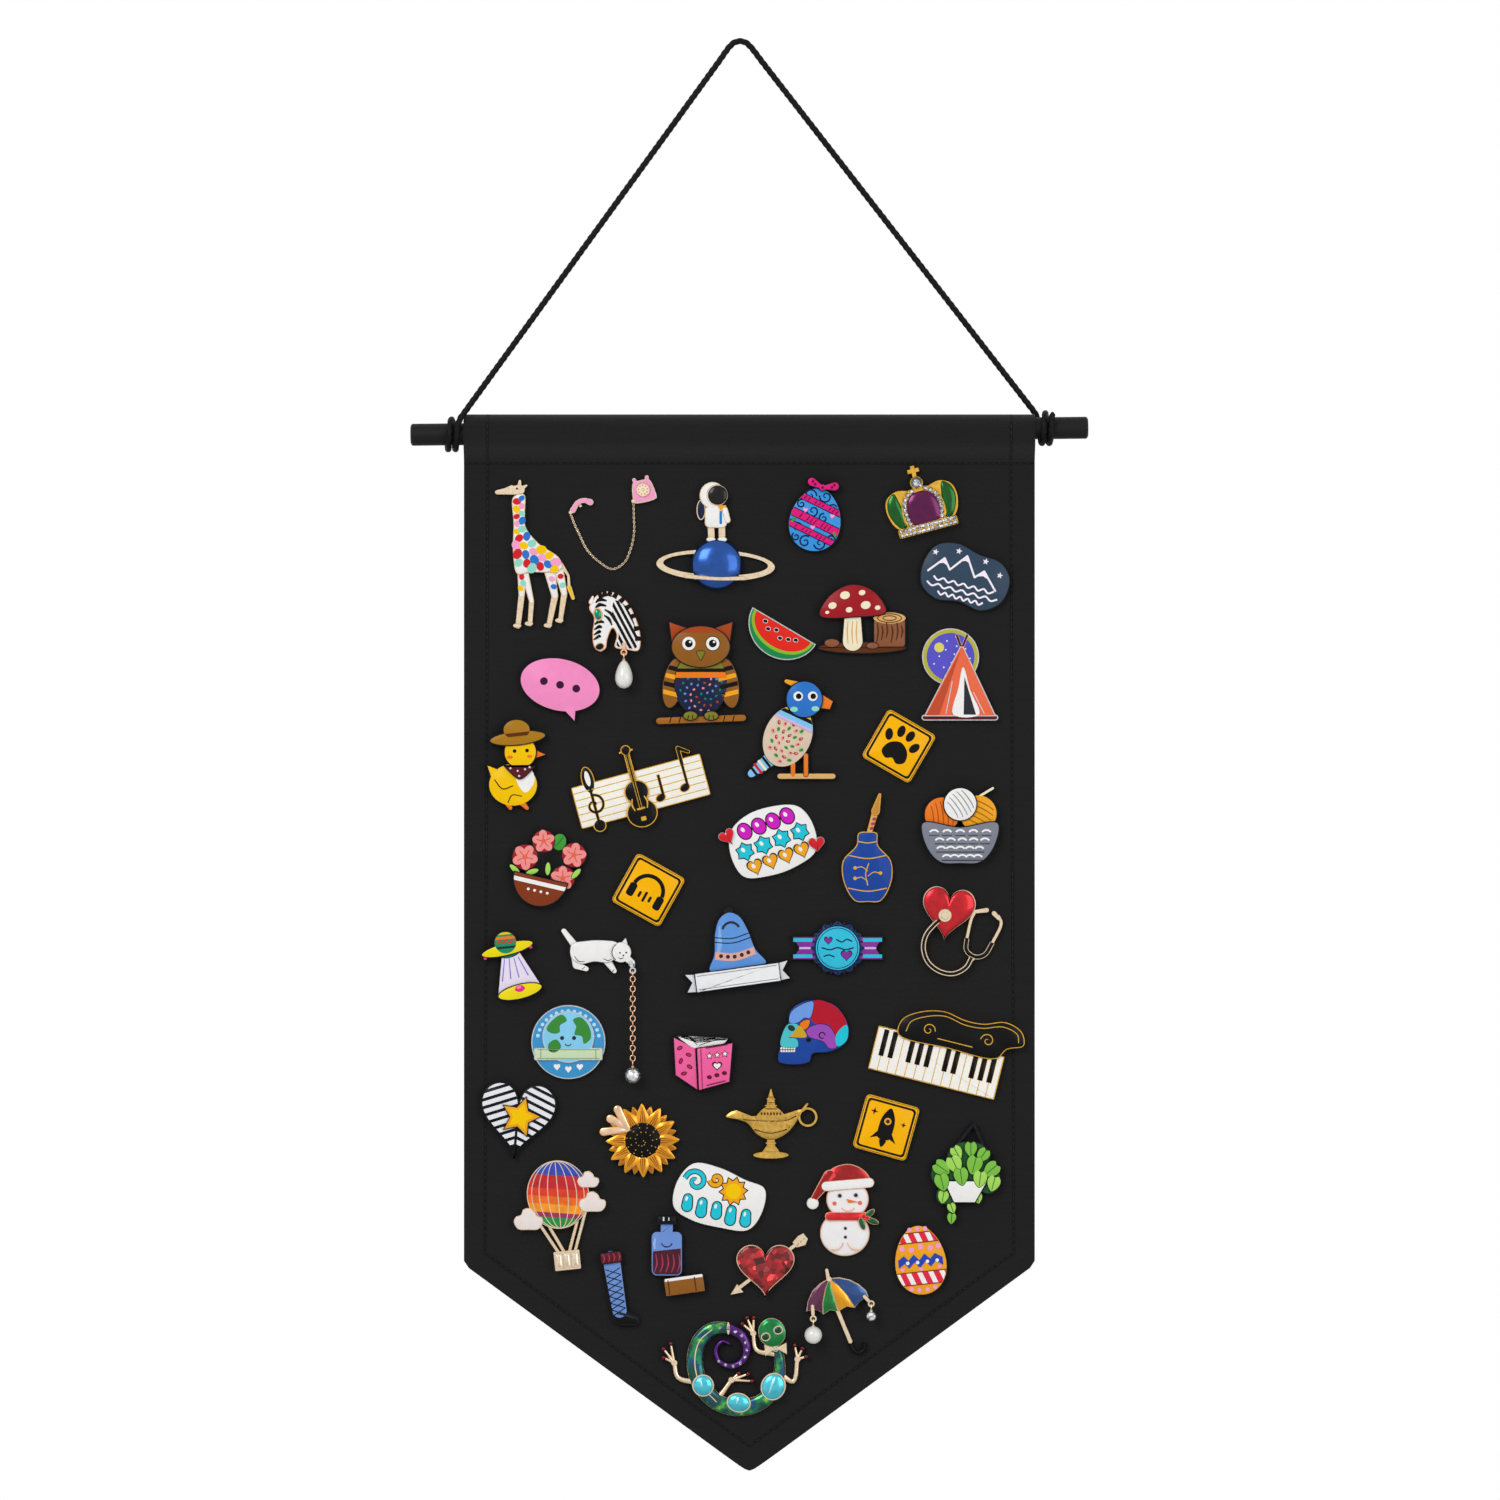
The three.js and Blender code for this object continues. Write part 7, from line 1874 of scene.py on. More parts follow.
# %% [markdown]
# The skull is a coloured anatomy figure: each bone is a pool of its own. The piano's lid stands over a row
# of keys that are made in one loop. The heart's stripes are cut from each of its halves at a slant of its
# own.

# %% Skull, piano and striped heart
bones = {0xB3182C: [(0.7, 11.7), (8.2, 9.8), (12.8, 3), (9, -1.4), (6.4, 2.8), (1.4, 3.4), (-0.6, 5)],
    0x6F9BE4: [(0.3, 11.7), (-4, 10.8), (-8.6, 7.4), (-9, 3.4), (-5.6, 3.4), (-3, 5.2), (-1, 5)],
    0x9A4BB5: [(6, 2.4), (1.6, 3), (-2.6, 0.6), (-1.6, -2), (4, -4), (6.4, -6.6), (9.4, -6), (8.8, -1.4)],
    TURQUOISE: [(13, 2.4), (13, -3), (9.8, -5.4), (9.2, -1.4)],
    ORANGE: [(-1, 4.6), (-3.2, 4.6), (-5.2, 2.8), (-3.2, 0.6), (-1.6, 1.8)],
    0xC9A227: [(-5.4, 2.2), (-3.4, 0.2), (-2.6, -1.8), (-6, -2), (-9.2, -1.6), (-7, 0)],
    0x4CBFC6: [(-9.4, 2.6), (-6, 2.6), (-7.4, 0), (-9.4, -2.4), (-6.4, -3), (-6, -5.6), (-12, -5.4),
        (-11.4, -0.8)]}
pin = Badge("skull_pin", 24.4, 237.8, 0, BLACK_NICKEL, "red_enamel", (2, 3))
pin.fill(COBALT, blob((0.5, 12.3), (8.5, 10.3), (13.6, 3), (13.5, -3), (10, -6.4), (5.5, -8), (0, -8.6),
    (-1.4, -11.8), (-13, -11.8), (-13.4, -8.6), (-12.2, -5), (-11.9, -0.8), (-9.7, 3), (-9, 7.6),
    (-4.4, 11.4)), rim=0.2)
for tint, pairs in bones.items():
    ring = blob(*pairs)
    pin.ink(BLACK, ring)
    pin.ink(tint, inset(ring, 0.22))
pin.ink(CHARCOAL, oval(-8.2, 1.4, 1.5, 1.1, -30))
pin.fill(WHITE, box(-9.6, -6.9, 6, 2.2, 0.6), rim=0.15)
pin.ink(BLACK, *[box(-11.6 + i, -6.9, 0.2, 2) for i in range(5)])
pin.ink(BLACK, box(-9.6, -6.9, 5.8, 0.25), arc(3.6, -1.4, 1.1, 0, 300, 0.4), oval(-1.6, -3.2, 1, 0.8))
pin.done()

pin = Badge("piano_pin", 76.7, 243.7, -14, RICH_GOLD, "white_enamel", (-14, -6), (10, -6))
pin.fill(0xF5F3EC, box(-3.1, -7, 50, 17.2, 0.4))
key_lines = {i: -28.1 + 50 * i / 14 for i in range(1, 14)}
pin.wall(*[box(x, -7.2, 0.3, 16.4) for x in key_lines.values()])
pin.fill(BLACK, *[box(x, -4.4, 2.2, 10.6, 0.2) for i, x in key_lines.items() if i % 7 not in (0, 3)],
    rim=0.15)
pin.fill(BLACK, HIGH, blob((-20, 0), (-20, 6), (-14, 10.6), (-5, 13), (4, 11.6), (11, 12), (19, 14.6),
    (26, 12.4), (28, 7.4), (22, 4.4), (19, 0), (0, -0.6)), rim=0.35)
pin.wall(HIGH, strip(0.3, (-17.4, 2), (-16.4, 6), (-11, 9.4), (-4, 11.2), (4, 9.8), (11, 10.2),
    (18.6, 12.6), (24.6, 11), (25.8, 8)), curl(-9, 4.6, 2.6, 0, 0.35), curl(14, 6, 2.8, 180, 0.35, -1),
    box(2, 2.2, 14, 0.35))
pin.done()

SMALLEST_STRIPE = 0.6
pin = Badge("striped_heart_pin", -89.4, 272.1, -5, BLACK_NICKEL, "white_enamel")
big_heart = heart(0, 0, 29.4, 29.4)
pin.fill(BLACK, big_heart, rim=0.3)
for side, lean in ((-1, 22), (1, -22)):
    half = clip(inset(big_heart, 0.7), Vector((-side, 0)), -0.5)
    stripes = [between(half, lean, -14 + 2.9 * i, -14 + 2.9 * i + 1.7) for i in range(12)]
    pin.ink(0xE9EAF0, *[stripe for stripe in stripes if len(stripe) > 2
        and area_of(stripe) > SMALLEST_STRIPE])
pin.fill(AMBER, HIGH, star(1, 1.6, 5, 8.4, 4.2, 78))
pin.ink(YELLOW, HIGH, star(1, 1.6, 5, 5.4, 2.8, 78))
pin.done()
print("Badges so far:", len(made_badges))

# %% [markdown]
# The sunflower's petals are leaves of gold under a warm glaze, in two rings. Its middle is a dome of tiny
# beads, set by the stone group on seed places. The oil lamp is cast metal whose hollows are darkened.

# %% Sunflower and oil lamp
pin = Badge("sunflower_pin", -41.1, 279.7, 0, RICH_GOLD, "rich_gold")
for height, far, turn, tint in ((LOW - 0.3, 13.4, 15, 0xB8700C), (LOW, 14.2, 0, 0xE0941A)):
    petal = [(6, 1.3), (9, 2.6), (far - 2.4, 1.7), (far, 0.3), (far - 2.8, -1.5), (9, -2.5), (6, -1.3)]
    for lean in range(turn, turn + 360, 30):
        pin.fill(tint, height, blob(*turned(petal, 0, 0, lean)), rim=0.2, finish=GLAZE)
        for side in (-0.9, 0, 0.9):
            vein = turned([(7, side), (far - 1.8 - abs(side), side * 0.5)], 0, 0, lean)
            pin.ink(0x8E5208, height, strip([0.5, 0.15], *vein))
DOME_RADIUS, DOME_RISE, DOME_SPREAD, BEAD = 7.1, 2, 50.4, 0.34
pin.pillow(BLACK, oval(0, 0, DOME_RADIUS), LOW, DOME_RISE, finish=ENAMEL)
beads = []
for x, y in seeds(170, 0, 0, 6.7):
    rise = DOME_RISE * math.sqrt(max(0, 1 - (x * x + y * y) / DOME_SPREAD))
    beads.append((x, y, LOW + rise + 0.05, BEAD))
stones(pin, beads[0::5], RICH_GOLD)
stones(pin, [place for i, place in enumerate(beads) if i % 5], BLACK_NICKEL)
pin.fill(0xEBC4A2, HIGH, bar(-6, 4.4, -15, 3.4, 1.2, 1.6), bar(-6, 5, -12.4, 8.4, 1.2, 1.6),
    bar(-6, 5, -9.6, 12, 1.2, 1.6), rim=0.2, finish=GLAZE)
pin.done()

pin = Badge("oil_lamp_pin", 9.1, 273.1, 0, ANTIQUE_GOLD, "rich_gold", (-0.8, -1.4))
pin.hoop(oval(13.4, 2.4, 3.7, count=60), oval(13.4, 2.4, 2.9, count=60), 0.1, LOW)
pin.bare(bar(11.4, 5, 13.2, 7.4, 0.6, 0.4), polygon((-2.2, -5), (0.6, -5), (0.8, -8.6), (3.4, -12),
    (-5, -12), (-2.4, -8.6)))
pin.bare(HIGH, oval(-0.8, -12.2, 6.8, 1.4), oval(-0.8, -7.6, 2, 0.6))
pin.pillow(None, blob((-18.2, 2.6), (-14.4, 5.2), (-12, 3.2), (-6, 3), (0, 2.6), (6, 3.2), (10.8, 5.4),
    (9.4, 1.4), (5, -4), (-0.8, -6.4), (-6, -4.4), (-10, 0), (-14, 1.4)), LOW, 1, finish=ANTIQUE_GOLD)
pin.bare(TOP, blob((-6.6, 2), (-4.4, 5.2), (-2.6, 6.6), (-2.2, 9), (-1.6, 11), (-0.8, 13.4), (0, 11),
    (0.6, 9), (1, 6.6), (2.8, 5.2), (5, 2)))
pin.bare(TOP + 0.2, *[oval(-0.8, y, rx, ry) for y, rx, ry in ((2.6, 6, 0.5), (5, 3.8, 0.45),
    (6.9, 2.4, 0.4), (9.4, 1.7, 0.4))])
pin.ink(UMBER, TOP, *[oval(-4.4 + 1.2 * i, 3.8, 0.4, 0.6) for i in range(7)])
pin.bare(HIGH + 0.35, *[curl(x, 0.2 - 0.03 * (x + 0.8) ** 2, 1.1, 200, 0.4)
    for x in (-7, -4.4, -1.8, 0.8, 3.4, 6)])
pin.bare(HIGH + 0.2, strip([0.5, 0.6, 0.5], (-12, 2.2), (-6, 1.9), (0, 1.6), (6, 2.2), (9.8, 4)))
pin.ink(UMBER, HIGH + 0.15, strip([0.25, 0.3, 0.25], (-11.6, 1.4), (-6, 1.1), (0, 0.8), (6, 1.4), (9, 2.8)),
    strip([0.2, 0.3, 0.2], (-7.4, -2.4), (-0.8, -3.8), (5.6, -2.4)))
pin.ink(UMBER, TOP + 0.1, *[oval(-0.8, y, reach, 0.16) for y, reach in ((5.7, 2.6), (8, 1.5), (10.2, 1))])
pin.done()
print("Badges so far:", len(made_badges))

# %% [markdown]
# The plant's leaves are one outline in many sizes, each with its vein. The balloon's colours are bands cut
# from its oval under a clear glaze, and its gold ribs are arcs from pole to pole. The basket holds three
# long-cut stones.

# %% Leafy pot and balloon
LEAF_SHAPE = ((0, -1), (0.62, -0.35), (0.7, 0.3), (0.35, 0.75), (0, 0.6), (-0.35, 0.75), (-0.7, 0.3),
    (-0.62, -0.35))
CLOUD_SHAPE = ((-1, 0), (-0.85, 0.35), (-0.5, 0.5), (-0.35, 0.85), (0.1, 0.95), (0.45, 0.7), (0.6, 0.42),
    (0.95, 0.3), (1, -0.1), (0.7, -0.5), (0, -0.55), (-0.7, -0.5))


def scaled(shape, size):
    return [(size * x, size * y) for x, y in shape]


pin = Badge("leafy_pot_pin", 83.1, 295, 0, BLACK_NICKEL, "green_enamel", (0, 2))
pin.bare(bar(3.4, 21.6, -3.6, 13.2, 0.6), bar(3.4, 21.6, 7.4, 12.6, 0.6))
pin.fill(DARK_LEAF, oval(0, 3.4, 13.2, 5.6), oval(1.4, 9.2, 8.4, 6), oval(-8, 2, 5.4, 5),
    oval(9, 0, 5, 5.4), oval(-8.4, -6, 3, 3.6), bar(-6.6, -4, -5.4, -14.6, 1.4, 1.2))
pin.fill(WHITE, HIGH, polygon((-8.6, 0), (-4.5, -8.8), (4, -8.8), (9, 0)))
for x, y, size, lean in ((-3.4, 11, 3.4, 30), (2.2, 12.4, 3.6, 0), (7, 10, 3.6, -35), (-9.4, 5, 4.2, 55),
        (-4.2, 6.6, 4.4, 25), (10.4, 4.4, 4.2, -50), (3.6, 6.4, 4.5, -15), (11, -0.8, 3.8, -15),
        (-9, -0.2, 4.2, 15), (5.8, 1, 4, -8), (-1.6, 2, 4.2, 8), (-8.4, -6, 3.2, -10),
        (-5.2, -10.4, 2.6, 20), (-5.2, -14.4, 2.7, -5), (4.8, -6.4, 2.8, 8)):
    tint = (LIME, 0x7CC046)[int(size * 10) % 3 == 0]
    height = HIGH if y > -1 else LOW
    pin.fill(tint, height, blob(*turned(scaled(LEAF_SHAPE, size), x, y, lean)), rim=0.25)
    pin.ink(DARK_LEAF, height,
        strip([0.25, 0.3], *turned([(0, -0.8 * size), (0, 0.55 * size)], x, y, lean)))
pin.done()

pin = Badge("balloon_pin", -72.9, 308.8, 0, PALE_GOLD, "pale_gold", (-0.8, 8))
for x, y, far_x in ((-8.4, -2.4, -0.9), (-4.8, -3, 1.4), (6.6, -2, 3.6), (9.8, 2, 5.8)):
    top, foot = polygon((x, y), (far_x, -13.6))
    pin.bare(bar(*top, *foot, 0.6))
    pin.bare(LOW + 0.15, *[oval(*top.lerp(foot, (i + 0.5) / 9), 0.62, 0.42, 40) for i in range(9)])
envelope = oval(-0.8, 8.3, 12, 13.2, 5)
pin.bare(HIGH, envelope)
pin.bands(inset(envelope, 0.35), -4, (0x3049B0, 15.6, 22), (0xC8202A, 10.4, 15.6), (0xDC3B1C, 7.4, 10.4),
    (0xEC6A1A, 4.4, 7.4), (0xF2971E, 1.2, 4.4), (0x9A2C5C, -0.6, 1.2), (0x1E8A3C, -5.4, -0.6), height=HIGH,
    finish=GLAZE)
rises = [math.pi * (i / 12 - 0.5) for i in range(13)]
for share in (-0.84, -0.6, -0.32, 0, 0.32, 0.6, 0.84):
    rib = [(12 * share * math.cos(rise), 13 * math.sin(rise)) for rise in rises]
    pin.wall(HIGH + 0.1, strip(0.3, *turned(rib, -0.8, 8.3, 5)))
for x, y, size in ((10.8, 13.4, 4.2), (12.4, 4.6, 5.2), (-12.2, -2.2, 5.6)):
    pin.fill(0xEDE0DC, HIGH + 0.25, blob(*turned(scaled(CLOUD_SHAPE, size), x, y, 0)), rim=0.35)
pin.bare(HIGH, box(2.8, -17, 10, 7.4, 0.4, 6))
for i in range(3):
    x, y = -0.3 + 3.1 * i, -17.3 + 0.33 * i
    pin.bare(HIGH + 0.5, box(x, y, 2.9, 6, 0.2, 6))
    girdle, table = box(x, y, 2.3, 5.3, 0.1, 6), box(x, y, 1.1, 3.8, 0.1, 6)
    pin.stack([(girdle, HIGH), (girdle, HIGH + 0.7), (table, HIGH + 1.1)], GLAZE, 0xD9CBB8)
pin.done()
print("Badges so far:", len(made_badges))

# %% [markdown]
# The sun plaque is a white field with bright figures that have dark edges: a sun, two curls and a row of
# drops. The snowman is two cushions of white enamel, with a glazed cap, scarf and holly that lie over them.

# %% Sun plaque and snowman
pin = Badge("sun_plaque_pin", -11.6, 301.9, -15, SILVER, "white_enamel")
pin.fill(WHITE, blob((-16, -8), (-17.4, 2), (-13, 10.4), (-3, 11.4), (8, 9.4), (16, 8), (17.4, -1),
    (14, -9), (3, -11), (-8, -11)), rim=0.15)
pin.ink(BLACK, star(4.6, 4, 10, 5.9, 4.3))
pin.ink(AMBER, star(4.6, 4, 10, 5.3, 3.8))
pin.ink(YELLOW, oval(4.6, 4, 3))
for tint, x, y, r, start, way in ((TURQUOISE, -10.4, 4, 4.4, 180, -1), (AMBER, -3, 6.6, 2.6, 200, 1)):
    pin.ink(BLACK, curl(x, y, r, start, 2.2, way))
    pin.ink(tint, curl(x, y, r, start, 1.5, way))
for i in range(5):
    x, deep = -11.6 + 5.8 * i, 3 + 0.9 * (i % 2)
    for tint, shrink in ((BLACK, 0), (TURQUOISE, 0.4)):
        pin.ink(tint, bar(x, -3.2, x + 0.4, -3.2 - deep, 2 - shrink, 2.3 - shrink))
    pin.ink(WHITE, oval(x - 0.5, -3.4, 0.5, 0.9))
pin.done()

CAP, HOLLY = 0x9E1218, 0x12532F
pin = Badge("snowman_pin", 36.4, 306.5, 0, ROSE_GOLD, "white_enamel", (0, -5))
pin.pillow(SNOW, oval(0.4, -9, 9.2, 8.4), LOW - 0.5, 1, finish=ENAMEL)
pin.bare(LOW - 0.6, oval(0.4, -9, 9.6, 8.8))
pin.bare(HIGH - 0.6, oval(1.4, 4.2, 8.2, 7.6))
pin.pillow(SNOW, oval(1.4, 4.2, 7.8, 7.2), HIGH - 0.6, 0.9, finish=ENAMEL)
pin.fill(CAP, HIGH, blob((-7.4, 9.4), (-5.4, 15.4), (2, 17.8), (8.6, 14.6), (10.4, 9.8), (1, 9)),
    bar(-5.4, 13, -11.4, 4.6, 2.6, 1.3), rim=0.3, finish=GLAZE)
pin.pillow(WHITE, oval(-12, 2.6, 2.3), HIGH - 0.5, 1, finish=ENAMEL)
pin.fill(WHITE, TOP, bar(-6.8, 9.2, 9.8, 10.6, 1.9), rim=0.25)
pin.dots(CHARCOAL, TOP + 0.05, 0.75, (-1.6, 5.6), (4.6, 5.8))
pin.fill(ORANGE, TOP + 0.1, polygon((1, 4.4), (1.6, 2.8), (5.6, 3.2)), rim=0.1)
pin.wall(HIGH + 0.3, arc(1.6, 2.6, 3, 215, 325, 0.35))
pin.dots(CORAL, HIGH + 0.15, 0.8, (-3.6, 2.6), (6.2, 2.8))
pin.fill(RED, HIGH, bar(-5.6, -2.4, 8, -2.4, 1.7), rim=0.25, finish=GLAZE)
pin.fill(HOLLY, HIGH + 0.1, oval(9.8, -1.4, 2.6, 1.2, 40), oval(7, -5.2, 2.6, 1.2, -70),
    oval(11, -4.2, 2.6, 1.2, -20), rim=0.2, finish=GLAZE)
pin.fill(RED, HIGH + 0.4, oval(7.6, -2.4, 1), oval(9, -3, 0.9), rim=0.12)
pin.dots(CHARCOAL, LOW + 0.5, 0.6, (0.6, -7), (0.6, -10.4))
pin.wall(LOW + 0.35, arc(-3.6, -12, 3.4, 250, 350, 0.35), arc(4.8, -12, 3.4, 190, 290, 0.35))
pin.done()
print("Badges so far:", len(made_badges))

# %% [markdown]
# Ink stands in the bottle as a slanted cut of its outline, and a band of crosses laces the boot. The heart
# shows crumpled foil under red resin, so its finish has flat flakes that tilt in many ways, each painted
# lighter or darker as if lit at its own angle. A gold arrow passes behind it.

# %% Ink bottle, boot and arrow heart
BERRY, RESIN_RED = 0xA83C58, 0xB4101A
pin = Badge("ink_bottle_pin", -28.4, 323.9, 0, BLACK_NICKEL, "blue_enamel")
glass = box(-3.4, 0.6, 12.4, 17.6, 2.4)
pin.fill(PERIWINKLE, box(-3.4, 10.4, 5.4, 5), glass)
pin.bands(inset(glass, 0.8), 6, (0x4B1F2B, -8, 2.4))
for x in [-8.2 + 2.2 * i for i in range(5)]:
    pin.ink(BERRY, strip([0.3, 0.6, 0.3], (x, -6.6), (x + 1, -3.4), (x + 0.6, 0.4)))
pin.ink(0x9DB8EA, strip([0.5, 1, 0.5], (-7.8, 6.6), (-8.2, 4.4), (-8, 2.4)))
pin.ink(BLACK, arc(-3.4, 5.4, 2.2, 200, 340, 0.4))
pin.fill(BLACK, HIGH, box(-3.4, 13.6, 7.4, 3.4, 0.6))
pin.ink(PALE, HIGH, box(-4.6, 14, 0.6, 1.6), box(-2.6, 14, 0.4, 1.2))
pin.fill(BROWN, HIGH, box(3.4, -11.4, 15.6, 7.2, 0.6, 8), rim=0.3)
pin.ink(WHITE, HIGH, box(3.1, -8.7, 14.6, 1.1, 0.2, 8))
pin.ink(UMBER, HIGH, box(-2.6, -12.4, 0.5, 5.6, 0.1, 8), box(7.6, -11, 0.5, 5.6, 0.1, 8))
pin.done()

pin = Badge("boot_pin", -49.9, 337.2, 8, BLACK_NICKEL, "blue_enamel")
pin.fill(BLACK, bar(-1.2, -10.4, 4, -12.4, 3.2, 2))
pin.ink(CHARCOAL, strip([0.5, 0.9, 0.4], (-2.4, -9), (1, -10), (4, -11.6)))
pin.fill(PERIWINKLE, bar(-1.6, 12, -1.2, -8, 3.7, 3.1))
for y in [8.4 - 2.6 * i for i in range(7)]:
    pin.ink(BLACK, strip(0.35, (-4.4, y), (1.2, y - 2.6)), strip(0.35, (-4.4, y - 2.6), (1.2, y)))
pin.fill(MAROON, HIGH, box(-1.6, 12.8, 8.6, 4.6, 1))
for x in [-4.8 + 2 * i for i in range(4)]:
    pin.ink(BERRY, HIGH, strip([0.25, 0.55, 0.25], (x, 11.2), (x + 0.6, 12.8), (x + 0.2, 14.4)))
pin.done()

pin = Badge("arrow_heart_pin", 6.2, 330, 0, PALE_GOLD, "red_enamel")
pin.bare(bar(-11.6, -7.6, 14.4, 12.2, 0.7))
pin.bare(LOW + 0.1, polygon((-13.6, -9.2), (-8.4, -8.2), (-10.9, -4.9)),
    polygon((12, 9), (15.4, 10), (16.4, 12.4), (14.6, 14.6), (12.4, 13.4), (10.4, 11)))
for shift in (0, 1.3, 2.6):
    pin.ink(BROWN, LOW + 0.1, strip(0.25, (12.1 + shift, 9.6 + shift),
        (12.9 + shift * 0.8, 10.7 + shift * 0.8)))
pin.fill(RESIN_RED, HIGH, heart(0, 0, 22.4, 20.4), rim=0.3, finish=FOIL)
pin.pillow(RESIN_RED, heart(0, 0.2, 21.2, 19.2), HIGH, 1, finish=FOIL)
pin.done()
print("Badges so far:", len(made_badges))

# %% [markdown]
# The umbrella's panels are glazed between gold ribs: each panel is drawn corner by corner, and the gold
# plate under them shows as the ribs. The egg's bands are cut from its shell, with slanted strokes cut from
# each band in turn.

# %% Umbrella and banded egg
panels = {0x5E2C4C: [(-4.8, 13), (-8.4, 11), (-11.2, 8.2), (-13, 4.4), (-13.4, 0.5), (-10.6, 1.3),
        (-8.8, 0.7), (-7.2, -0.6), (-7.2, 4), (-6.2, 9)],
    GREEN: [(-4.8, 13), (-6.2, 9), (-7.2, 4), (-7.1, -0.7), (-4.4, 1), (-1.4, 0.5), (-2.6, 5), (-3.9, 9.6)],
    AMBER: [(-4.7, 13), (-3.9, 9.6), (-2.6, 5), (-1.2, 0.5), (2, 2.4), (4.8, 1.9), (2.2, 6.6),
        (-1.4, 10.6)],
    0x2B4C84: [(-4.6, 13.1), (-1.4, 10.6), (2.2, 6.6), (5, 2), (7.2, 4.4), (10.2, 6.2), (9.3, 8.5),
        (6.5, 10.8), (3, 12.6), (-1, 13.4)]}
pin = Badge("umbrella_pin", 35.5, 346, 0, PALE_GOLD, "pale_gold", (-3.4, 7.4))
pin.bare(bar(-5, 12.6, -5.7, 16.4, 0.8, 0.6), bar(-1.6, 1, 3.4, -11.2, 0.8))
pin.ridge(BLACK, LOW, [1.7, 1.4], (3.2, -10.8), (4.4, -14), (6.4, -15.6), (8.6, -14.2), (8.8, -11.6),
    finish=ENAMEL)
pin.bare(polygon((-4.8, 13.2), (-8.4, 11.2), (-11.2, 8.4), (-13, 4.4), (-13.6, 0.4), (-10.6, 1.2),
    (-8.8, 0.6), (-7, -0.8), (-4.4, 1), (-1.2, 0.4), (2, 2.4), (5, 1.8), (7.2, 4.4), (10.4, 6.2),
    (9.4, 8.6), (6.6, 11), (3, 12.8), (-1, 13.6)))
for tint, corners in panels.items():
    pin.fill(tint, HIGH, polygon(*corners), rim=0.16, finish=GLAZE)
pin.bare(HIGH + 0.3, oval(-4.8, 13, 1))
pin.eyelet(-10.9, -2.2, -11.2, 2.6)
pin.eyelet(11.4, 3.6, 8.8, 6.4)
pin.done()

pin = Badge("banded_egg_pin", 65.9, 325.8, 6, BLACK_NICKEL, "yellow_enamel")
shell = egg(0, 0, 20, 27)
pin.fill(AMBER, shell, rim=0.25)
inside_shell = inset(shell, 0.4)
stroke_side = Vector((0.94, 0.34))
for low, high in ((7, 10.6), (-9.2, -4.6)):
    pin.bands(inside_shell, 0, (0xE32B46, low, high))
    band = between(inside_shell, 0, low + 0.1, high - 0.1)
    for x in (-8, -4, 0, 4, 8):
        middle = x + 0.34 * (low + high) / 2
        pin.ink(WHITE, clip(clip(band, stroke_side, middle + 0.9), -stroke_side, 0.9 - middle))
pin.bands(inside_shell, 0, *[(UMBER, low, low + 0.3) for low in (6.7, 10.6, -4.6, -9.5)])
pin.dots(PINK, LOW, 1.1, (-6.6, 5), (-3, 4.2), (0.6, 5.2), (4.2, 4.4), (7.4, 4.8))
pin.dots(PINK, LOW, 0.9, (-3, 12), (0, 12.2), (3, 12), (-4.6, -10.8), (-1.6, -11.4), (1.6, -11.4),
    (4.6, -10.8))
zigzag = [(-8.6, 0.6), (-6.2, 2.2), (-4.6, 0.2), (-2.4, 2.4), (-0.4, 0), (1.8, 2.4), (3.8, 0.2), (5.8, 2.2),
    (8.6, 0.4)]
pin.ink(0x2446B4, polygon(*zigzag, *[(x, y - 3) for x, y in zigzag[::-1]]))
pin.dots(WHITE, LOW, 0.7, (-5, -0.7), (-1.2, -0.8), (2.6, -0.7), (6.4, -0.6))
pin.ink(PINK, heart(-7.2, -3.2, 1.9, 1.8), heart(0, -3.5, 1.9, 1.8), heart(7, -3.2, 1.9, 1.8))
pin.done()
print("Badges so far:", len(made_badges))

# %% [markdown]
# The gecko is a rounded body bent into a ring under blue-green glaze, with a purple tail that winds
# inwards. Three oval stones sit in gold rims on its back, each with a pale painted highlight on its upper
# left. Its legs are bare gold, and every toe ends in a dark-red bead.

# %% Gecko
LEGS = {((17, -3), (22.8, -6.6), (24.4, 2)): ((23.4, 7.4), (26.4, 6.2), (27.8, 3)),
    ((16, 4), (8.6, 5.6), (7.4, 12)): ((3.2, 15.6), (5, 18), (7.6, 18)),
    ((-14, -7), (-21.6, -5), (-23, 0.6)): ((-27.2, 2.6), (-27.2, 6), (-24.4, 8)),
    ((-6, -13), (-3.4, -9.4), (-1, -6)): ((1.8, -3.4), (5.4, -3.6), (7, -6.4))}
GECKO_GREEN = 0x0D7A3C
pin = Badge("gecko_pin", -5.9, 366, 0, PALE_GOLD, "green_enamel", (-13.4, -6), (11.4, -13))
for leg, toes in LEGS.items():
    pin.ridge(None, LOW, [2.4, 1.9, 1.8], *leg, finish=PALE_GOLD)
    pin.bare(oval(*leg[-1], 1.2))
    for toe in toes:
        pin.ridge(None, LOW, [1.3, 1.1], leg[-1], toe, finish=PALE_GOLD)
        pin.pillow(0x5E0A12, oval(*toe, 0.95), LOW - 0.3, 0.8)
spine = ((15.8, 10), (17.6, 1), (16.6, -7), (11, -14), (2.2, -16.8), (-6.7, -14.4), (-13.3, -7), (-15.1, 2),
    (-13.2, 9.2), (-8.4, 13.6), (-2.2, 14))
tail = ((-2.2, 14), (2.9, 11), (4.9, 6), (3.1, 1.2), (-1.4, -0.6), (-5.8, 1.4), (-7, 6), (-4.5, 9),
    (-1.6, 8))
pin.bare(LOW - 0.4, strip([3.1, 4.7, 6.1, 6.3, 6.3, 5.7, 4.5], *spine))
pin.ridge(TEAL, HIGH, [2.9, 4.5, 5.9, 6.1, 6.1, 5.5, 4.3], *spine, finish=STREAKED)
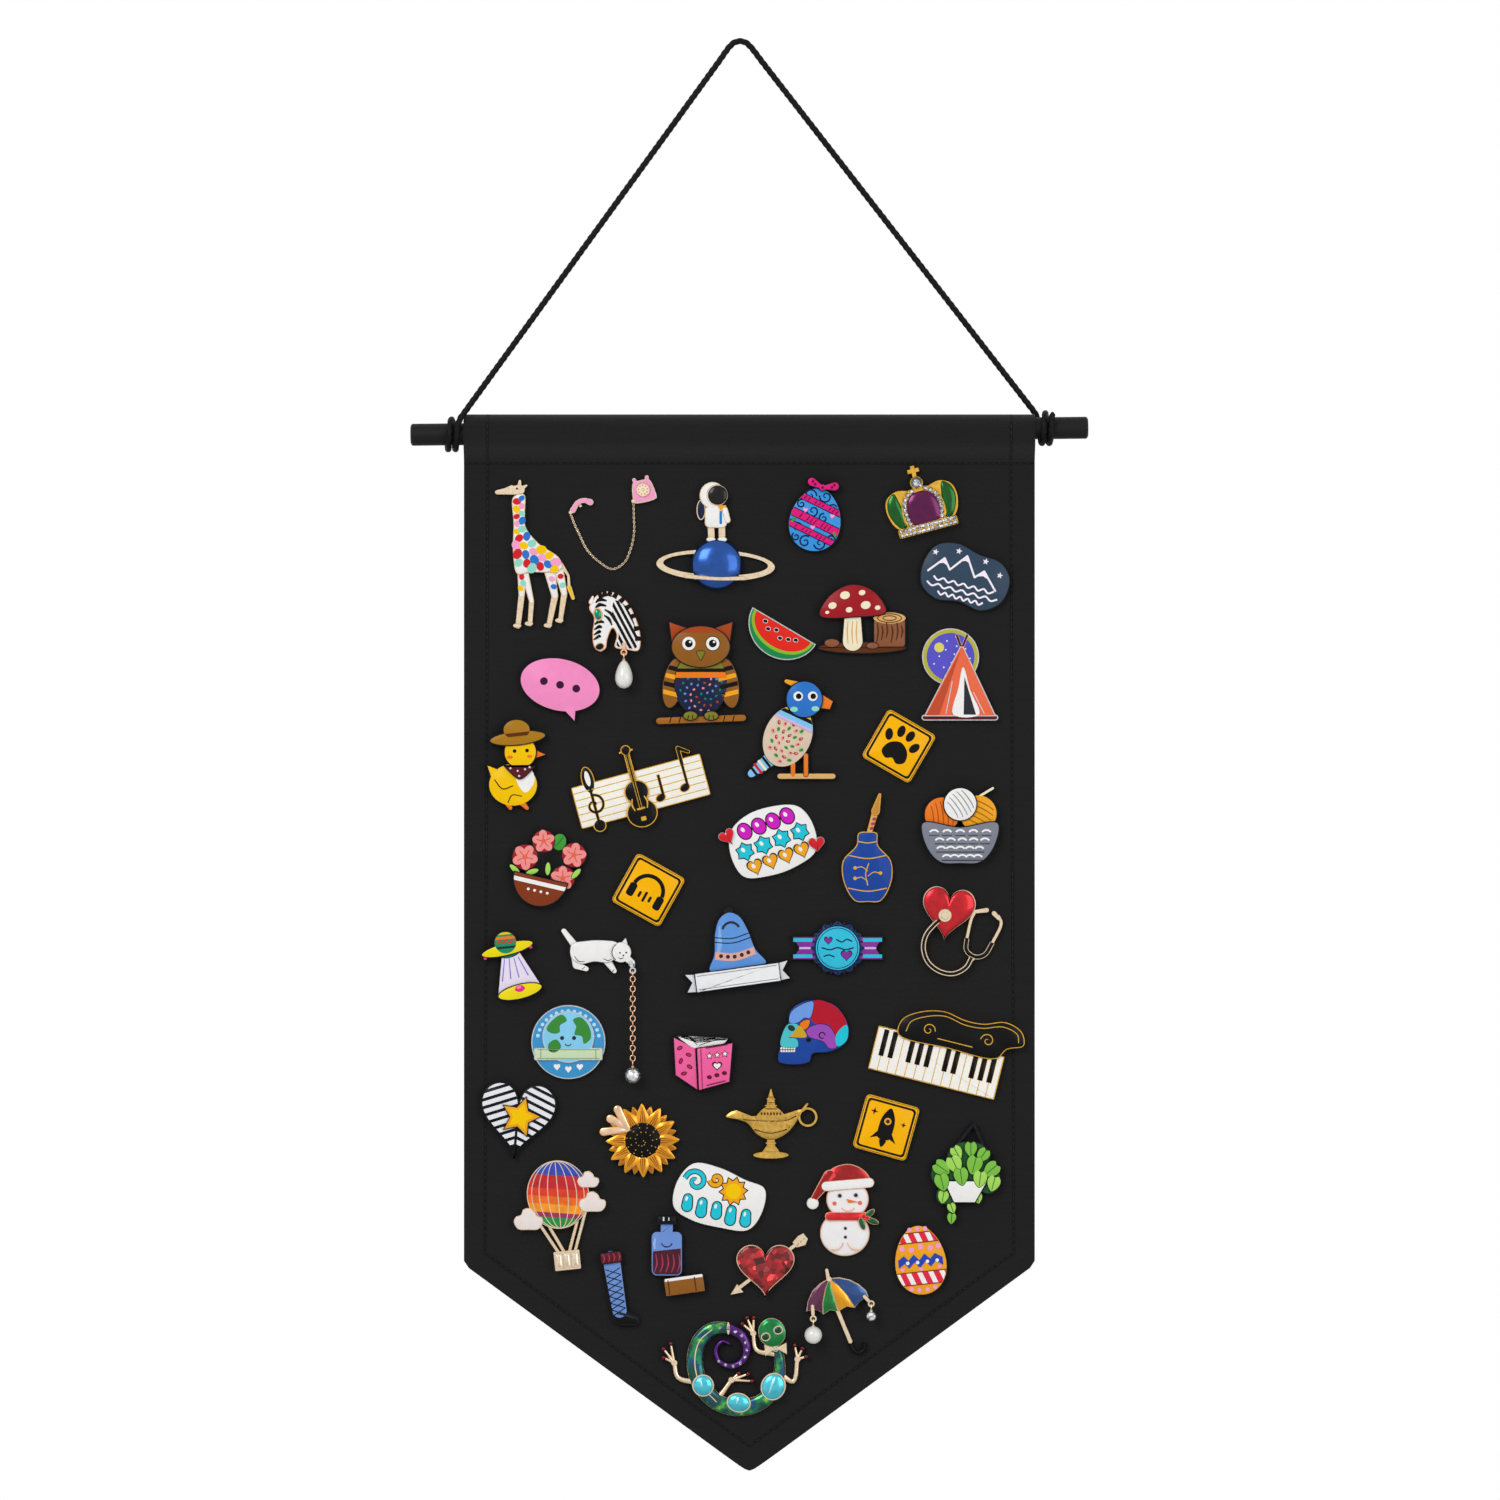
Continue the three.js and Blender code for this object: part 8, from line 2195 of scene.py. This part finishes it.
pin.ridge(0x4A0E6E, HIGH, [4.3, 3.5, 2.7, 2.2, 1.7, 1.3], *tail)
pin.bare(HIGH + 0.15, strip([0.35, 0.5, 0.35], *spine[5:10]))
pin.bare(HIGH, oval(-2.2, 14, 0.6, 2.4))
pin.fill(GECKO_GREEN, TOP, oval(14.6, 12.4, 5.2, 5.6, 20), rim=0.15, finish=GLAZE)
pin.pillow(GECKO_GREEN, oval(14.6, 12.4, 4.7, 5.1, 20), TOP - 0.2, 0.9)
for x, y in ((12.2, 10.8), (17, 13.4)):
    pin.bare(TOP + 0.7, oval(x, y, 1.9, 1.7, 20))
    pin.pillow(0x0A3E2A, oval(x, y, 1.5, 1.3, 20), TOP + 0.7, 0.4)
pin.bare(TOP, polygon((16, 6.4), (11.6, 7.8), (12, 3.2)), polygon((16, 6.4), (20.2, 8.6), (20.4, 4)),
    oval(16, 6.2, 1.2))
for x, y, rx, ry, lean in ((-11.9, -8, 4.2, 4.3, 20), (1.8, -14.6, 4.7, 3.8, -10),
        (15.1, -8.4, 4.8, 5.4, -20)):
    pin.bare(HIGH + 0.4, oval(x, y, rx, ry, lean))
    pin.pillow(0x4CC6DA, oval(x, y, rx - 0.4, ry - 0.4, lean), HIGH + 0.3, 1.4)
    # painted highlight: a pale narrow cushion on the upper left of each stone stands in for a reflection
    pin.pillow(0xA8E8F0, oval(x - 0.6, y + 0.4, 0.9, ry - 1.6, lean), HIGH + 1, 0.72)
tail_line = evenly(smooth_line([Vector((x, y, 0)) for x, y in tail[:6]], 10), 2.9)[0]
tail_stones = [(point.x, point.y, HIGH + 0.15, 0.75) for point in tail_line]
stones(pin, tail_stones + [(16, 6.2, TOP + 0.3, 0.8), (-5.4, 14.2, HIGH + 0.2, 0.8)])
pin.done()
print("Badges:", len(made_badges))

# %% [markdown]
# Four pieces hang from eyelets and swing: a pearl drop, a chain with a crystal ball, and a pearl and a
# crystal on the umbrella. Each hangs by a small wire ring that stands edge-on in the eyelet. They are wire
# loops and round stones.

# %% Hanging pieces
RING_RADIUS, WIRE = 1.3, 0.28
RING_FOOT = -2 * RING_RADIUS
LOOP_STEPS, LOOP_SIDES = 28, 8
STEM_SIDES, STEM_CHAMFER = 10, 0.1
POLE_CUT = 0.12
HANGING_CREASE = 32


class Hanging:
    def __init__(self, node, at, slot, metal):
        self.node, self.at, self.slot, self.metal = node, at, slot, metal
        self.points, self.faces, self.finishes = [], [], []

    def add(self, points, faces, finish):
        base = len(self.points)
        self.points += [self.at + point for point in points]
        self.faces += [tuple(base + corner for corner in face) for face in faces]
        self.finishes += [finish] * len(faces)

    def loop(self, top, half_length, half_width, edge_on, gauge=WIRE):
        """A closed wire loop that hangs down from its top."""
        points, faces = [], []
        for angle in around(LOOP_STEPS):
            outward = Vector((math.cos(angle), math.sin(angle), 0))
            middle = Vector((half_width * math.cos(angle),
                top - half_length + half_length * math.sin(angle), 0))
            for turn in around(LOOP_SIDES):
                point = middle + outward * gauge * math.cos(turn) + Vector((0, 0, gauge * math.sin(turn)))
                points.append(point.zyx if edge_on else point)
        for i in range(LOOP_STEPS):
            for j in range(LOOP_SIDES):
                a, b, k = i * LOOP_SIDES, (i + 1) % LOOP_STEPS * LOOP_SIDES, (j + 1) % LOOP_SIDES
                face = (a + j, b + j, b + k, a + k)
                faces.append(face if edge_on else face[::-1])
        self.add(points, faces, self.metal)

    def turned_piece(self, profile, sides, finish):
        """A lathe piece round the hanging line, from its top down. The profile holds radius and height."""
        points, faces = [], []
        for radius, height in profile:
            points += [Vector((radius * math.cos(a), height, radius * math.sin(a))) for a in around(sides)]
        for ring in range(len(profile) - 1):
            for i in range(sides):
                a, b, j = ring * sides, (ring + 1) * sides, (i + 1) % sides
                faces.append((a + i, a + j, b + j, b + i))
        faces.append(tuple(range(sides))[::-1])
        faces.append(tuple(range((len(profile) - 1) * sides, len(profile) * sides)))
        self.add(points, faces, finish)

    def ball(self, middle, radius, sides, rings, finish):
        angles = [math.pi * (i + POLE_CUT) / (rings + 2 * POLE_CUT) for i in range(rings + 1)]
        self.turned_piece([(radius * math.sin(a), middle + radius * math.cos(a)) for a in angles], sides,
            finish)

    def stem(self, high, low, radius):
        ends = [(radius / 2, high), (radius, high - STEM_CHAMFER), (radius, low + STEM_CHAMFER),
            (radius / 2, low)]
        self.turned_piece(ends, STEM_SIDES, self.metal)

    def done(self):
        finishes = [self.metal, PEARL, CRYSTAL]
        numbers = [finishes.index(finish) for finish in self.finishes]
        made = mesh_object(self.node + "_look", self.points, self.faces, finishes, numbers, HANGING_CREASE)
        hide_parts(self.node)
        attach(made, self.node)


print("Eyelets to hang from:", len(eyelets))

# %% [markdown]
# The zebra's drop is a pear-shaped pearl, the cat's chain ends in a ball of crystal, and the umbrella has
# one of each kind. Every piece is built downwards from its ring, so it turns about the eyelet.

# %% Pearls, chain and crystals
PEAR_RADIUS, PEAR_HALF, PEAR_LEAN, PEAR_SIDES = 3.4 * 0.96, 5.45, 0.28, 32
PEAR_STEPS, PEAR_CUT = 24, 0.15
zebra_eyelet, cat_eyelet, pearl_eyelet, crystal_eyelet = eyelets
piece = Hanging("pearl_drop", zebra_eyelet, "pearl", ROSE_GOLD)
piece.loop(0, RING_RADIUS, RING_RADIUS, True)
piece.stem(RING_FOOT + WIRE, RING_FOOT - 1.2, 2 * WIRE)
pear = []
for t in [math.pi * (i + PEAR_CUT) / (PEAR_STEPS + 2 * PEAR_CUT) for i in range(PEAR_STEPS + 1)]:
    pear.append((PEAR_RADIUS * math.sin(t) * (1 - PEAR_LEAN * math.cos(t)),
        RING_FOOT - 0.4 - PEAR_HALF + PEAR_HALF * math.cos(t)))
piece.turned_piece(pear, PEAR_SIDES, PEARL)
piece.done()

LINK_LENGTH, LINK_WIDTH, LINK_WIRE, LINK_PITCH, LINK_COUNT = 1.15, 0.95, 0.2, 1.905, 18
CRYSTAL_RADIUS = 3.2
piece = Hanging("crystal_chain", cat_eyelet, "pale_gold", ROSE_GOLD)
piece.loop(0, RING_RADIUS, RING_RADIUS, True)
first_top = RING_FOOT + 2 * WIRE - 0.08
for number in range(LINK_COUNT):
    piece.loop(first_top - LINK_PITCH * number, LINK_LENGTH, LINK_WIDTH, number % 2 == 1, LINK_WIRE)
chain_foot = first_top - LINK_PITCH * (LINK_COUNT - 1) - 2 * LINK_LENGTH
piece.stem(chain_foot + WIRE / 2, chain_foot - 4 * WIRE, 2 * WIRE)
piece.ball(chain_foot - CRYSTAL_RADIUS - WIRE, CRYSTAL_RADIUS, 12, 7, CRYSTAL)
piece.done()

pearl_ball = ("umbrella_pearl", pearl_eyelet, "pearl", 3.4, 28, 16, PEARL)
crystal_ball = ("umbrella_crystal", crystal_eyelet, "crystal", 2, 10, 6, CRYSTAL)
for node, at, slot, radius, sides, rings, finish in (pearl_ball, crystal_ball):
    piece = Hanging(node, at, slot, PALE_GOLD)
    piece.loop(0, RING_RADIUS, RING_RADIUS, True)
    piece.stem(RING_FOOT + WIRE, RING_FOOT - WIRE - 0.6, 2 * WIRE)
    piece.ball(RING_FOOT - WIRE - radius, radius, sides, rings, finish)
    piece.done()
print("Chain links:", LINK_COUNT)

# %% [markdown]
# Behind the cloth every post wears a butterfly clutch: a stamped brass disc with two sprung wings. One
# clutch is made from simple solids in a node group and set on every post. They stay with the cloth, as the
# posts pull out of them.

# %% Clutches
DISC_RADIUS, DISC_THICKNESS, DISC_BACK = 3.9, 0.7, 0.45
COLLAR_SHARE, COLLAR_LENGTH, COLLAR_BACK = 0.36, 2.2, 1.7
WING_RADIUS, WING_LENGTH, WING_OUT, WING_BACK = 1.6, 5, 2.7, 1.8
WING_SHAPE, WING_LEAN = (0.75, 1.0, 0.65), math.radians(35)
CANVAS_BACK, CLUTCH_GAP = -1.75, 0.3
clutch_tree, clutch = node_group("clutches_on_posts", {"Disc radius": LENGTH, "Wing radius": LENGTH,
    "Material": MATERIAL})
spots = clutch["Geometry"].make("GeometryNodeMeshToPoints", {}, {"Mesh": clutch["Geometry"]})
disc = spots.make("GeometryNodeMeshCylinder", {}, {"Vertices": 28, "Radius": clutch["Disc radius"],
    "Depth": DISC_THICKNESS * MM})
disc_back = disc.make("GeometryNodeTransform", {},
    {"Geometry": disc, "Translation": (0, 0, -DISC_BACK * MM)})
collar = spots.make("GeometryNodeMeshCylinder", {},
    {"Vertices": 20, "Radius": clutch["Disc radius"] * COLLAR_SHARE, "Depth": COLLAR_LENGTH * MM})
collar_back = collar.make("GeometryNodeTransform", {},
    {"Geometry": collar, "Translation": (0, 0, -COLLAR_BACK * MM)})
wing = spots.make("GeometryNodeMeshCylinder", {}, {"Vertices": 20, "Radius": clutch["Wing radius"],
    "Depth": WING_LENGTH * MM})
wing_across = wing.make("GeometryNodeTransform", {}, {"Geometry": wing, "Rotation": (QUARTER, 0, 0),
    "Scale": WING_SHAPE})
wings = []
for side in (-1, 1):
    place = {"Translation": (side * WING_OUT * MM, 0, -WING_BACK * MM),
        "Rotation": (0, side * WING_LEAN, 0)}
    wings.append(wing_across.make("GeometryNodeTransform", {}, {"Geometry": wing_across, **place}))
whole = spots.make("GeometryNodeJoinGeometry", {}, {"Geometry": [disc_back, collar_back, *wings]})
set_clutches = spots.make("GeometryNodeInstanceOnPoints", {},
    {"Points": spots, "Instance": whole, "Rotation": (QUARTER, 0, 0)})
finish_group(set_clutches, clutch["Material"])
clutch_points = [Vector((place.x, place.y, CANVAS_BACK - CLUTCH_GAP)) for place in post_places]
clutch_values = {"Disc radius": DISC_RADIUS * MM, "Wing radius": WING_RADIUS * MM, "Material": BRASS}
clutches = grown("butterfly_clutches", clutch_points, [], clutch_tree, clutch_values)
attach(clutches, "banner")
print("Clutches:", len(post_places))

# %% [markdown]
# The new looks should stay as large as the CAD model says. The box round the visible objects is printed,
# in metres.

# %% Size and finish
low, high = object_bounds()
print("Visual box in metres:", [round(size, 4) for size in high - low])
